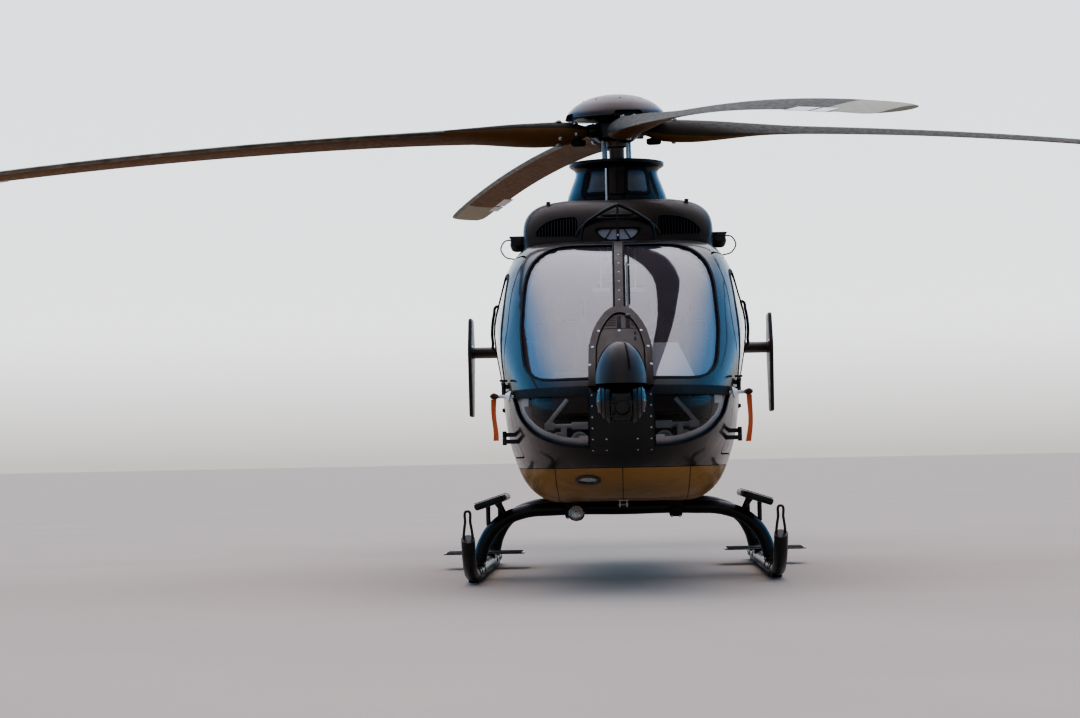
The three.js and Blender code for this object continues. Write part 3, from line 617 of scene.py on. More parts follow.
@dataclass(frozen=True)
class Finish(Surface):
    """A painted, moulded, woven or bare surface.

    Attributes are the shader's values, and how far colour and roughness wander over the surface.
    """

    name: str
    colour: Colour
    roughness: float
    metallic: float = 0.0
    coat: float = 0.0
    specular: float = 0.5
    mottle: float = 0.2
    patches: float = 3.0
    grain: float = 90.0
    depth: float = 0.00002

    def build(self, nodes: Nodes) -> None:
        """Builds the material's nodes."""
        nodes.set(metallic=self.metallic, coat_weight=self.coat, coat_roughness=0.04,
                  specular_ior_level=self.specular)
        dark, light = scaled(self.colour, 1 - self.mottle), scaled(self.colour, 1 + self.mottle)
        rough = nodes.spanned(nodes.noise(self.patches * 6, 4), self.roughness * 0.85,
                              min(1, self.roughness * 1.18))
        nodes.set(base_color=nodes.ramp(nodes.noise(self.patches, 5), [(0.32, dark), (0.68, light)]),
                  roughness=rough)
        nodes.bump(nodes.noise(self.grain, 1), self.depth)


@dataclass(frozen=True)
class Pane(Surface):
    """Clear plastic glazing with a coloured layer that shows more where the surface turns away: a little
    haze, and on the pale panes a painted reflection of the bright sky.
    """

    name: str
    colour: Colour
    facing: float
    grazing: float
    shine: float = 1.5
    streaks: float = 0.12

    def build(self, nodes: Nodes) -> None:
        """Builds the material's nodes."""
        nodes.set(roughness=0.06, coat_weight=1.0, coat_roughness=0.02, coat_ior=self.shine, ior=1.5)
        haze_and_painted_sky = nodes.noise(2.2, 4, (1, 1, 0.35))
        dark, light = scaled(self.colour, 1 - self.streaks), scaled(self.colour, 1 + self.streaks)
        edge = nodes.add("LayerWeight", {"Blend": 0.35}).outputs["Facing"]
        # On the pale panes this base colour is partly haze and partly painted sky reflection.
        nodes.set(base_color=nodes.ramp(haze_and_painted_sky, [(0.3, dark), (0.7, light)]),
                  alpha=nodes.ranged(edge, (0, 1), (self.facing, self.grazing)))


@dataclass(frozen=True)
class BladeCoat(Surface):
    """Matt blade paint with a pale tip, laid along the blade's own UV map; browner underneath, and lighter
    there with a painted warm glow from the ground.
    """

    name: str
    colour: Colour
    under: Colour
    tip: Colour

    def build(self, nodes: Nodes) -> None:
        """Builds the material's nodes."""
        split = nodes.add("SeparateXYZ", {"Vector": nodes.place.outputs["UV"]})
        worn = nodes.noise(9, 6)
        faces = [nodes.ramp(worn, [(0.3, scaled(tone, 0.92)), (0.7, scaled(tone, 1.08))])
                 for tone in (self.colour, self.under)]
        # Painted light: the underside takes the second colour, a brown lightened to stand for warm light
        # from the ground.
        below = nodes.add("Math", {0: split.outputs["X"], 1: 0.5}, operation="GREATER_THAN")
        sides = nodes.blend(below.outputs["Value"], *faces)
        ends = nodes.ranged(split.outputs["Y"], (0.862, 0.868), (0, 1))
        nodes.set(ior=1.25, base_color=nodes.blend(ends, sides, (*self.tip, 1)),
                  roughness=nodes.spanned(nodes.noise(30, 4), 0.42, 0.62))
        nodes.bump(nodes.noise(260, 2), 0.0002)


@dataclass(frozen=True)
class Weave(Surface):
    """Woven cloth: warp and weft as two crossing waves, with painted shade darkening the valleys between
    them.
    """

    name: str
    colour: Colour
    pitch: float = 0.004

    def build(self, nodes: Nodes) -> None:
        """Builds the material's nodes."""
        threads = [nodes.add("TexWave", {"Scale": 0.1 / self.pitch * math.pi, "Distortion": 1.5,
                                         "Vector": nodes.place.outputs["Object"]}, bands_direction=way)
                   for way in ("X", "Z")]
        mix = nodes.add("Math", {k: wave.outputs["Fac"] for k, wave in enumerate(threads)},
                        operation="MULTIPLY")
        # Painted shade: the colour falls to 0.55 of itself in the valleys between the threads.
        stops = [(0.0, scaled(self.colour, 0.55)), (0.6, scaled(self.colour, 1.2))]
        nodes.set(roughness=0.92, sheen_weight=0.35, sheen_roughness=0.5,
                  base_color=nodes.ramp(mix.outputs[0], stops))
        nodes.bump(mix.outputs[0], 0.0006)


GLOSS = Finish("gloss_brown_paint", (0.017, 0.012, 0.01), 0.32, coat=0.55, specular=0.2, mottle=0.1,
               patches=1.2)
SATIN = Finish("satin_taupe_paint", (0.05, 0.033, 0.025), 0.42, coat=0.12, specular=0.3, mottle=0.15,
               patches=2.5)
BRONZE = Finish("bronze_belly_paint", (0.37, 0.19, 0.04), 0.5, coat=0.15, mottle=0.12, patches=1.6)
BLACK = Finish("black_gear_paint", (0.012, 0.012, 0.013), 0.36, coat=0.3, mottle=0.35, patches=9)
TRIM = Finish("black_moulding", (0.02, 0.02, 0.021), 0.55, mottle=0.2, grain=700, depth=0.00015)
RUBBER = Finish("black_rubber", (0.008, 0.008, 0.009), 0.7, mottle=0.2, patches=12)
LINING = Finish("grey_lining", (0.5, 0.46, 0.42), 0.75, mottle=0.1, grain=500, depth=0.00015)
PALE = Finish("pale_trim", (0.55, 0.53, 0.5), 0.6, mottle=0.08, grain=600)
DARK_LINING = Finish("dark_lining", (0.11, 0.045, 0.034), 0.8, mottle=0.25)
METAL = Finish("plain_metal", (0.5, 0.5, 0.5), 0.34, metallic=0.9, mottle=0.12, patches=14)
STEEL = Finish("heated_steel", (0.3, 0.23, 0.17), 0.4, metallic=0.9, mottle=0.4, patches=7)
WHITE = Finish("white_paint", (0.92, 0.92, 0.92), 0.45, mottle=0.06)
LAMP_LENS = Finish("lamp_lens", (0.62, 0.6, 0.55), 0.12, metallic=0.3, coat=1.0, mottle=0.3, patches=60)
RED_LENS = Finish("red_lens", (0.5, 0.02, 0.015), 0.12, coat=1.0)
GREEN_LENS = Finish("green_lens", (0.02, 0.3, 0.12), 0.12, coat=1.0)
DARK_LENS = Finish("dark_lens", (0.01, 0.012, 0.02), 0.05, coat=1.0, mottle=0.1)
COVER = Weave("red_brown_cover", (0.16, 0.035, 0.02))
STREAMER = Weave("orange_streamer", (0.85, 0.19, 0.07))
CLOTH = Weave("woven_seat_cloth", (0.1, 0.085, 0.075))
WEBBING = Weave("belt_webbing", (0.16, 0.15, 0.14), 0.003)
PEDAL_PAINT = Finish("pedal_paint", (0.86, 0.82, 0.77), 0.4, mottle=0.08, patches=20)
HOOD = Finish("brown_hood", (0.17, 0.11, 0.075), 0.6, mottle=0.15, grain=500)
SILL_TRIM = Finish("sill_trim", (0.72, 0.7, 0.7), 0.5, mottle=0.08, grain=400)
# The roof pane's nearly opaque pale lavender, and the windscreen's lavender haze, are partly painted sky
# reflection.
ROOF_GLASS = Pane("roof_pane", (0.62, 0.62, 0.74), 0.85, 0.97)
SCREEN_GLASS = Pane("front_pane", (0.16, 0.138, 0.165), 0.22, 0.8, 3.0)
SIDE_GLASS = Pane("side_pane", (0.07, 0.08, 0.095), 0.3, 0.85, 2.2)
CHIN_GLASS = Pane("chin_pane", (0.025, 0.018, 0.015), 0.06, 0.5)
CAP_PAINT = Finish("cap_brown_paint", (0.06, 0.034, 0.027), 0.34, coat=0.45, mottle=0.15, patches=3)
HOUSING = Finish("glossy_housing", (0.05, 0.037, 0.032), 0.4, coat=0.25, mottle=0.15, patches=6)
BALL = Finish("camera_ball", (0.008, 0.008, 0.009), 0.28, coat=0.5, mottle=0.25, patches=8)
SHOE_METAL = Finish("worn_shoe", (0.05, 0.048, 0.045), 0.5, metallic=0.6, mottle=0.5, patches=14)
MAST_METAL = Finish("mast_metal", (0.16, 0.12, 0.1), 0.4, metallic=0.8, mottle=0.2, patches=9)
BLADE_EDGE = Finish("blade_edge_strip", (0.2, 0.19, 0.17), 0.4, metallic=0.85, mottle=0.3, patches=12)
# The second colour, the blades' underside, is partly their own brown and partly painted warm ground light.
BLADE = BladeCoat("blade_paint", (0.06, 0.051, 0.036), (0.19, 0.1, 0.042), (0.4, 0.36, 0.27))

SLOTS = {
    GLOSS: "paint_gloss", SATIN: "paint_satin", BRONZE: "paint_belly", BLACK: "gear_black",
    TRIM: "trim_black",
    LINING: "lining", METAL: "bare_metal", STEEL: "heat_steel", CLOTH: "seat_cloth", BLADE: "blade_coat",
    SCREEN_GLASS: "pane", ROOF_GLASS: "pane", SIDE_GLASS: "pane", CHIN_GLASS: "pane",
}


def dress(piece: Piece, *finishes: Surface) -> Piece:
    """Gives a piece its finishes, in the order of its material slots."""
    piece.data.materials.clear()
    for finish in finishes:
        piece.data.materials.append(finish.material())
    return piece


def fitted(piece: Piece, finish: Surface, *nodes: str, body: Body = Body.AIRFRAME,
           dressed: bool = False) -> Piece:
    """Dresses a finished piece, makes it ride on its body and hides the CAD nodes that it stands for.

    Args:
        piece: The finished piece.
        finish: Its main finish.
        nodes: The CAD nodes that it stands for.
        body: What it moves with.
        dressed: Whether it already has its finishes.

    Returns:
        The piece.
    """
    if not dressed:
        dress(piece, finish)
    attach(piece, body.value)
    if nodes:
        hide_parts(*nodes)
    LOG.info("%s rides on %s, %d faces", piece.name, body.value, len(piece.data.polygons))
    return piece


# The fuselage's shape

SECTION = [
    (0, 0), (0.3, 0), (0.57, 0.004), (0.74, 0.06), (0.835, 0.15), (0.9, 0.27), (0.935, 0.43), (1, 0.65),
    (0.945, 0.79), (0.865, 0.905), (0.72, 0.98), (0.42, 1), (0, 1),
]
"""Share of the half width and of the height, from the belly's centre to the roof's."""

FUSELAGE = [
    (0.0, 0.110, 0.960, 1.120, 1), (0.035, 0.225, 0.872, 1.175, 1), (0.11, 0.345, 0.790, 1.245, 1),
    (0.25, 0.460, 0.705, 1.352, 0.9), (0.45, 0.562, 0.640, 1.500, 0.72), (0.7, 0.645, 0.588, 1.680, 0.5),
    (1.0, 0.712, 0.545, 1.870, 0.25), (1.35, 0.757, 0.510, 2.022, 0.08), (1.7, 0.778, 0.490, 2.090, 0),
    (2.2, 0.785, 0.480, 2.110, 0), (3.35, 0.785, 0.480, 2.110, 0), (4.2, 0.760, 0.492, 2.110, 0),
    (4.6, 0.690, 0.590, 2.110, 0.12), (5.0, 0.575, 0.830, 2.115, 0.4), (5.35, 0.435, 1.190, 2.140, 0.7),
    (5.7, 0.290, 1.600, 2.190, 1),
]
"""Station, half width, belly height, roof height and share of an ellipse in the section."""

POD_END = FUSELAGE[-1][0]
HALVINGS = 24


@dataclass
class Hull:
    """The outside shape of the fuselage, and layers of it at any depth."""

    steps: int = 4
    nose_fade: float = 0.7

    def share(self, k: float) -> tuple[float, float]:
        """Section shares at a place between its points, by a smooth curve."""
        last = len(SECTION) - 1
        i = min(int(k), last - 1)
        t = k - i
        a, b = SECTION[i], SECTION[i + 1]
        before = SECTION[i - 1] if i else (-SECTION[1][0], SECTION[1][1])
        after = SECTION[i + 2] if i + 2 <= last else (-SECTION[last - 1][0], SECTION[last - 1][1])
        start, leave, end, arrive = weights(t)
        return tuple(a[j] * start + (b[j] - before[j]) / 2 * leave + b[j] * end + (after[j] - a[j]) / 2
                     * arrive
                     for j in range(2))

    def half_ring(self, at: float, inset: float) -> list[Vector]:
        """The section's left half at a station, belly to roof."""
        _, half, low, high, around = upright(FUSELAGE, at)
        count = (len(SECTION) - 1) * self.steps
        station = at + inset * max(0.0, 1 - at / self.nose_fade)
        if at >= POD_END:
            station = POD_END - inset
        points = []
        for i in range(count + 1):
            width, height = self.share(i / self.steps)
            angle = math.radians(-90 + 180 * i / count)
            width = (1 - around) * width + around * math.cos(angle)
            height = (1 - around) * height + around * (0.5 + 0.5 * math.sin(angle))
            z = low + inset + height * (high - low - 2 * inset)
            points.append(Vector((width * (half - inset), aft(station), z)))
        points[0].x = points[-1].x = 0
        return points

    def stations(self) -> list[float]:
        """Stations of the rings, closer at the nose."""
        near = [0, 0.012, 0.03, 0.055, 0.09, 0.13, 0.18, 0.24, 0.31, 0.39, 0.47]
        return near + spread(0.56, POD_END, 58)

    def solid(self, name: str, inset: float) -> Piece:
        """The whole shape, moved inwards by an inset, as a closed solid."""
        rings = []
        for at in self.stations():
            left = self.half_ring(at, inset)
            rings.append(left + [Vector((-p.x, p.y, p.z)) for p in reversed(left[1:-1])])
        return loft(name, rings)

    def layer(self, name: str, outer: float, inner: float) -> Piece:
        """What lies between two depths."""
        return carve(self.solid(name, outer), self.solid("inner", inner))

    def half_width(self, station: float, z: float) -> float:
        """Half width of the outside at a station and height."""
        ring = self.half_ring(station, 0)
        for a, b in zip(ring, ring[1:]):
            if a.z <= z <= b.z and b.z > a.z:
                return a.x + (b.x - a.x) * (z - a.z) / (b.z - a.z)
        return 0.0

    def end_y(self, x: float, z: float, clear: float, inside: float) -> float:
        """Y of the outside at an x and height, between a station clear of it and one inside."""
        for _ in range(HALVINGS):
            middle = (clear + inside) / 2
            _, _, belly, roof, _ = upright(FUSELAGE, middle)
            if belly < z < roof and self.half_width(middle, z) > abs(x):
                inside = middle
            else:
                clear = middle
        return aft(inside)

    def nose_y(self, x: float, z: float) -> float:
        """Y of the outside in front, at an x and height."""
        return self.end_y(x, z, 0.0, 2.6)


def lined(piece: Piece, hull: Hull, outside: Surface, inside: Surface, rim: Surface) -> Piece:
    """Gives a wall one finish outside, one inside and one on its cut edges.

    Args:
        piece: A cut of a hull layer.
        hull: The hull it was cut from.
        outside: The finish of the outer face.
        inside: The finish of the inner face.
        rim: The finish of the cut edges.

    Returns:
        The piece.
    """
    dress(piece, outside, inside, rim)
    for face in piece.data.polygons:
        station = min(max(face.center.y + MIDDLE_STATION, 0.0), POD_END)
        _, half, low, high, _ = upright(FUSELAGE, station)
        radial = Vector((face.center.x / half**2, 0,
                         (face.center.z - (low + high) / 2) / ((high - low) / 2) ** 2))
        forward = max(0.0, 1 - station / hull.nose_fade)
        radial = (radial.normalized() + Vector((0, -forward, 0))).normalized()
        facing = face.normal.dot(radial)
        face.material_index = 0 if facing > 0.45 else 1 if facing < -0.45 else 2
    return piece


# Openings, as their outlines stand in the skin

WINDSCREEN = [
    (0.03, 1.195), (0.545, 1.195, 0.15), (0.578, 1.5, 0.06), (0.56, 1.89, 0.2), (0.4, 2.048, 0.12),
    (0.03, 2.048),
]
CHIN = [
    (0.18, 0.812), (0.33, 0.824, 0.06), (0.49, 0.88, 0.09), (0.59, 0.99, 0.06), (0.622, 1.105),
    (0.18, 1.105),
]
FRONT_DOOR = [(0.85, 0.762, 0.06), (1.95, 0.762, 0.06), (1.95, 1.99, 0.09), (1.33, 1.99, 0.12),
              (0.85, 1.42, 0.2)]
FRONT_WINDOW = [
    (0.945, 1.205, 0.06), (1.85, 1.205, 0.08), (1.85, 1.88, 0.09), (1.4, 1.88, 0.12), (0.945, 1.4, 0.16),
]
SLIDING_DOOR = [(1.992, 0.762, 0.06), (3.33, 0.762, 0.06), (3.33, 1.99, 0.09), (1.992, 1.99, 0.09)]
SLIDING_WINDOW = [(2.13, 1.205, 0.09), (3.19, 1.205, 0.09), (3.19, 1.86, 0.09), (2.13, 1.86, 0.09)]
REAR_WINDOW = [(3.45, 1.29, 0.09), (4.01, 1.29, 0.09), (4.01, 1.8, 0.11), (3.45, 1.83, 0.09)]
REAR_DOOR_WINDOW = [(0.09, 1.2, 0.06), (0.385, 1.2, 0.08), (0.405, 1.53, 0.08), (0.09, 1.53, 0.06)]
REAR_DOORS = (4.33, 0.705, 1.62)
"""Station of the rear doors' front edge, and their lower and upper edges."""

REACH = 0.9
"""Further out than any skin."""

CORE = 0.42
"""Half the width at the middle that a cut from the side leaves alone."""

AHEAD = aft(-0.3)
"""Y of a place ahead of the nose, where a cut from the front starts."""

WINDSCREEN_DEPTH = 1.48
CHIN_DEPTH = 0.78
"""Stations where cuts from the front end."""


class Layer(Enum):
    """Depths of the hull, from the outer face to the inner one, that pieces are cut from."""

    SKIN = (0.0, 0.045)
    SEAL = (-0.003, 0.02)
    GLASS = (0.008, 0.017)
    STOP = (0.0465, 0.056)
    LINE = (-0.0008, 0.003)
    PLATE = (-0.004, 0.0005)
    FLANGE = (0.02, 0.032)
    PAD = (-0.022, -0.0005)
    ARCH = (-0.038, -0.0003)
    ARCH_PLATE = (-0.03, -0.0003)
    STRIP = (-0.026, -0.0003)


@dataclass
class Skins:
    """Cuts of the hull's layers, each layer made once and taken away at the end."""

    hull: Hull
    made: dict[Layer, Piece] = field(default_factory=dict)

    def piece(self, name: str, layer: Layer, cutter: Piece) -> Piece:
        """What a layer and a closed shape have in common.

        Args:
            name: The new piece's name.
            layer: The layer that it is cut from.
            cutter: The shape that cuts it, which goes.

        Returns:
            The piece, shaded smooth.
        """
        if layer not in self.made:
            self.made[layer] = self.hull.layer(layer.name.lower(), *layer.value)
        return smooth(carve(copied(self.made[layer], name), cutter, Cut.COMMON))

    def side(self, name: str, layer: Layer, rows: Outline, grow: float = 0.0, inner: float = CORE) -> Piece:
        """A cut by an outline seen from the left."""
        return self.piece(name, layer,
                          prism("cutter", rounded(side_outline(rows), grow), View.SIDE, inner, REACH))

    def side_ring(self, name: str, layer: Layer, rows: Outline, out: float, into: float) -> Piece:
        """A frame round an outline seen from the left."""
        outer = prism("outer", rounded(side_outline(rows), out), View.SIDE, CORE, REACH)
        inner = prism("inner", rounded(side_outline(rows), into), View.SIDE, CORE - 0.02, REACH + 0.1)
        return self.piece(name, layer, carve(outer, inner))

    def front(self, name: str, layer: Layer, rows: Outline, grow: float = 0.0,
              to: float = WINDSCREEN_DEPTH) -> Piece:
        """A cut by an outline seen from the front."""
        return self.piece(name, layer, prism("cutter", rounded(rows, grow), View.FRONT, AHEAD, aft(to)))

    def front_ring(self, name: str, layer: Layer, rows: Outline, out: float, into: float,
                   to: float = WINDSCREEN_DEPTH) -> Piece:
        """A frame round an outline seen from the front."""
        outer = prism("outer", rounded(rows, out), View.FRONT, AHEAD, aft(to))
        inner = prism("inner", rounded(rows, into), View.FRONT, AHEAD - 0.1, aft(to + 0.1))
        return self.piece(name, layer, carve(outer, inner))

    def done(self) -> None:
        """Takes the layers out of the scene."""
        for piece in self.made.values():
            bpy.data.objects.remove(piece)
        self.made.clear()


def airframe(_side: Side) -> Body:
    """The airframe, whatever the side."""
    return Body.AIRFRAME


def front_door_of(side: Side) -> Body:
    """The front door's body."""
    return Body.FRONT_DOOR_LEFT if side is Side.LEFT else Body.FRONT_DOOR_RIGHT


def rear_door_of(side: Side) -> Body:
    """The rear door's body."""
    return Body.REAR_DOOR_LEFT if side is Side.LEFT else Body.REAR_DOOR_RIGHT


def both(left: Piece, finish: Surface, node: str = "", body: Callable[[Side], Body] = airframe,
         dressed: bool = False) -> None:
    """Fits a left-hand piece and its mirror image.

    Args:
        left: The left-hand piece, its name ending in _left.
        finish: The finish of both.
        node: The start of the CAD nodes' names that they stand for, if they do.
        body: Gives the body for a side.
        dressed: Whether the piece already has its finishes.
    """
    stem = left.name.removesuffix("_left")
    right = mirrored(left, f"{stem}_right")
    for piece, side in ((left, Side.LEFT), (right, Side.RIGHT)):
        nodes = [f"{node}_{side.word}"] if node else []
        fitted(piece, finish, *nodes, body=body(side), dressed=dressed)


def rivets(name: str, spots: Iterable[tuple[Vector, Vector]], radius: float = 0.006) -> Piece:
    """Low domed heads on a surface.

    Args:
        name: The piece's name.
        spots: Places, each with the direction that its head faces.
        radius: The heads' radius.

    Returns:
        One piece of all the heads.
    """
    rows = [(0.0, 0.45 * radius), (0.6 * radius, 0.36 * radius), (radius, 0.0), (0.9 * radius, -radius),
            (0, -radius)]
    head = turned("head", rows, 8)
    heads = []
    for place, facing in spots:
        turn = leaned(facing)
        heads.append(moved(copied(head, "head"), Matrix.Translation(place) @ turn))
    bpy.data.objects.remove(head)
    return smooth(joined(name, heads), 50)


@dataclass
class Fuselage:
    """Skins of the nose, belly and cabin, with panel lines and hinges."""

    skins: Skins
    sill: float = 0.7
    band: float = 1.15
    nose_end: float = 0.8
    bronze_top: float = 0.702

    def build(self) -> None:
        """Builds and fits all the skins."""
        self.nose()
        self.belly()
        self.cabin()
        self.lines()

    def fronts(self, rows: Outline, to: float) -> list[Piece]:
        """Cutters for an outline and its mirror image, seen from the front."""
        flipped = [(-row[0], *row[1:]) for row in reversed(rows)]
        return [prism("front", rounded(r), View.FRONT, AHEAD, aft(to)) for r in (rows, flipped)]

    def nose(self) -> None:
        """The nose with its two chin openings, its dark centre column and the edge under the windscreen."""
        cutter = block("cutter", (-REACH, AHEAD, self.bronze_top), (REACH, aft(self.nose_end), self.band))
        skin = self.skins.piece("nose_skin", Layer.SKIN, cutter)
        for chin in self.fronts(CHIN, CHIN_DEPTH):
            carve(skin, chin)
        lined(smooth(skin), self.skins.hull, GLOSS, DARK_LINING, RUBBER)
        fitted(skin, GLOSS, "nose_shell", dressed=True)
        column = [(-0.176, 0.78), (0.176, 0.78), (0.176, 1.146), (-0.176, 1.146)]
        fitted(self.skins.front("nose_column", Layer.PLATE, column, to=0.5), BLACK)
        hull = self.skins.hull
        spots = []
        for z in spread(0.8, 1.1, 6):
            for x in (-0.16, -0.085, 0.085, 0.16):
                if abs(x) > 0.1 or z < 0.87:
                    spots.append((Vector((x, hull.nose_y(x, z) - 0.004, z)), Vector((0, -1, -0.2))))
        fitted(rivets("nose_column_rivets", spots, 0.007), METAL)
        rim = [(-0.63, 1.106), (0.63, 1.106), (0.63, 1.149), (-0.63, 1.149)]
        fitted(self.skins.front("nose_edge_band", Layer.LINE, rim, to=0.79), RUBBER)
        both(self.skins.front_ring("chin_seal_left", Layer.SEAL, CHIN, 0.003, -0.005, CHIN_DEPTH), RUBBER)
        sill = [(0.19, 0.82), (0.33, 0.83, 0.06), (0.487, 0.886, 0.09), (0.583, 0.99, 0.06), (0.612, 1.1),
                (0.19, 1.1)]
        flange = self.skins.front_ring("chin_flange_left", Layer.FLANGE, sill, 0.012, -0.045, CHIN_DEPTH)
        carve(flange, block("cutter", (-0.1, AHEAD, 0.88), (0.26, aft(0.9), 1.2)))
        carve(flange, block("cutter", (-0.1, AHEAD, 0.7), (0.187, aft(0.9), 1.2)))
        carve(flange, block("cutter", (0.1, AHEAD, 0.985), (0.525, aft(0.9), 1.2)))
        both(smooth(flange), SILL_TRIM)

    def belly(self) -> None:
        """The bronze belly and its seams."""
        low = block("cutter", (-REACH, AHEAD, 0.3), (REACH, aft(POD_END + 0.1), self.bronze_top - 0.003))
        skin = self.skins.piece("belly_skin", Layer.SKIN, low)
        lined(smooth(skin), self.skins.hull, BRONZE, DARK_LINING, RUBBER)
        fitted(skin, BRONZE, "belly_shell", dressed=True)
        for i, x in enumerate((-0.385, 0.0, 0.385)):
            seam = block("cutter", (x - 0.002, AHEAD, 0.4), (x + 0.002, aft(4.4), 0.7))
            fitted(self.skins.piece(f"belly_seam_{i + 1}", Layer.LINE, seam), RUBBER)
        for i, station in enumerate((1.36, 2.86, 3.72)):
            seam = block("cutter", (-REACH, aft(station), 0.4), (REACH, aft(station) + 0.004, 0.7))
            fitted(self.skins.piece(f"belly_cross_seam_{i + 1}", Layer.LINE, seam), RUBBER)

    def cabin(self) -> None:
        """Roof, posts and rear sides of the cabin in one skin."""
        top = block("cutter", (-REACH, AHEAD, self.sill + 0.0015), (REACH, aft(POD_END + 0.1), 2.7))
        skin = self.skins.piece("cabin_skin", Layer.SKIN, top)
        carve(skin, block("cutter", (-REACH, AHEAD, 0.3),
                          (REACH, aft(self.nose_end) + 0.001, self.band + 0.002)))
        front, low, high = REAR_DOORS
        carve(skin, block("cutter", (-REACH, aft(front), low), (REACH, aft(POD_END + 0.1), high)))
        for cutter in self.fronts(WINDSCREEN, WINDSCREEN_DEPTH):
            carve(skin, cutter)
        for rows in (FRONT_DOOR, SLIDING_DOOR, REAR_WINDOW):
            cutter = prism("side", rounded(side_outline(rows)), View.SIDE, CORE, REACH)
            carve(skin, mirrored(cutter, "other"))
            carve(skin, cutter)
        lined(smooth(skin), self.skins.hull, GLOSS, LINING, RUBBER)
        fitted(skin, GLOSS, "cabin_frame", dressed=True)

    def lines(self) -> None:
        """Panel lines and the rails that carry the sliding doors."""
        for i, station in enumerate((2.1, 3.4, 4.22, 4.75)):
            line = block("cutter", (-REACH, aft(station), 2.0), (REACH, aft(station) + 0.004, 2.4))
            fitted(self.skins.piece(f"roof_line_{i + 1}", Layer.LINE, line), RUBBER)
        rail = [(3.36, 1.17), (4.29, 1.17), (4.29, 1.205), (3.36, 1.205)]
        both(self.skins.side("slide_rail_left", Layer.PAD, rail), BLACK)
        upper = [(3.36, 1.925), (4.29, 1.925), (4.29, 1.945), (3.36, 1.945)]
        both(self.skins.side("upper_rail_left", Layer.PAD, upper), BLACK)
        post = [(4.06, 0.8, 0.05), (4.31, 0.8, 0.05), (4.31, 1.13, 0.05), (4.06, 1.13, 0.05)]
        both(self.skins.side_ring("service_panel_line_left", Layer.LINE, post, 0.002, -0.002), RUBBER)


@dataclass
class Glazing:
    """Panes with their black seals."""

    skins: Skins

    def build(self) -> None:
        """Builds every pane that doesn't open."""
        front = self.skins.front
        ring = self.skins.front_ring
        both(front("windscreen_pane_left", Layer.GLASS, WINDSCREEN, -GAP), SCREEN_GLASS, "windscreen")
        both(ring("windscreen_seal_left", Layer.SEAL, WINDSCREEN, 0.004, -0.007), RUBBER)
        both(front("chin_pane_left", Layer.GLASS, CHIN, -GAP, CHIN_DEPTH), CHIN_GLASS, "chin_window")
        self.side_window("rear_side", REAR_WINDOW, airframe, SIDE_GLASS, "rear_side_glass")

    def side_window(
        self, stem: str, rows: Outline, body: Callable[[Side], Body], finish: Surface, node: str
    ) -> None:
        """A pane and its seal in the side, and the same on the other side."""
        both(self.skins.side(f"{stem}_pane_left", Layer.GLASS, rows, -GAP), finish, node, body=body)
        both(self.skins.side_ring(f"{stem}_seal_left", Layer.SEAL, rows, 0.008, -0.012), RUBBER, body=body)


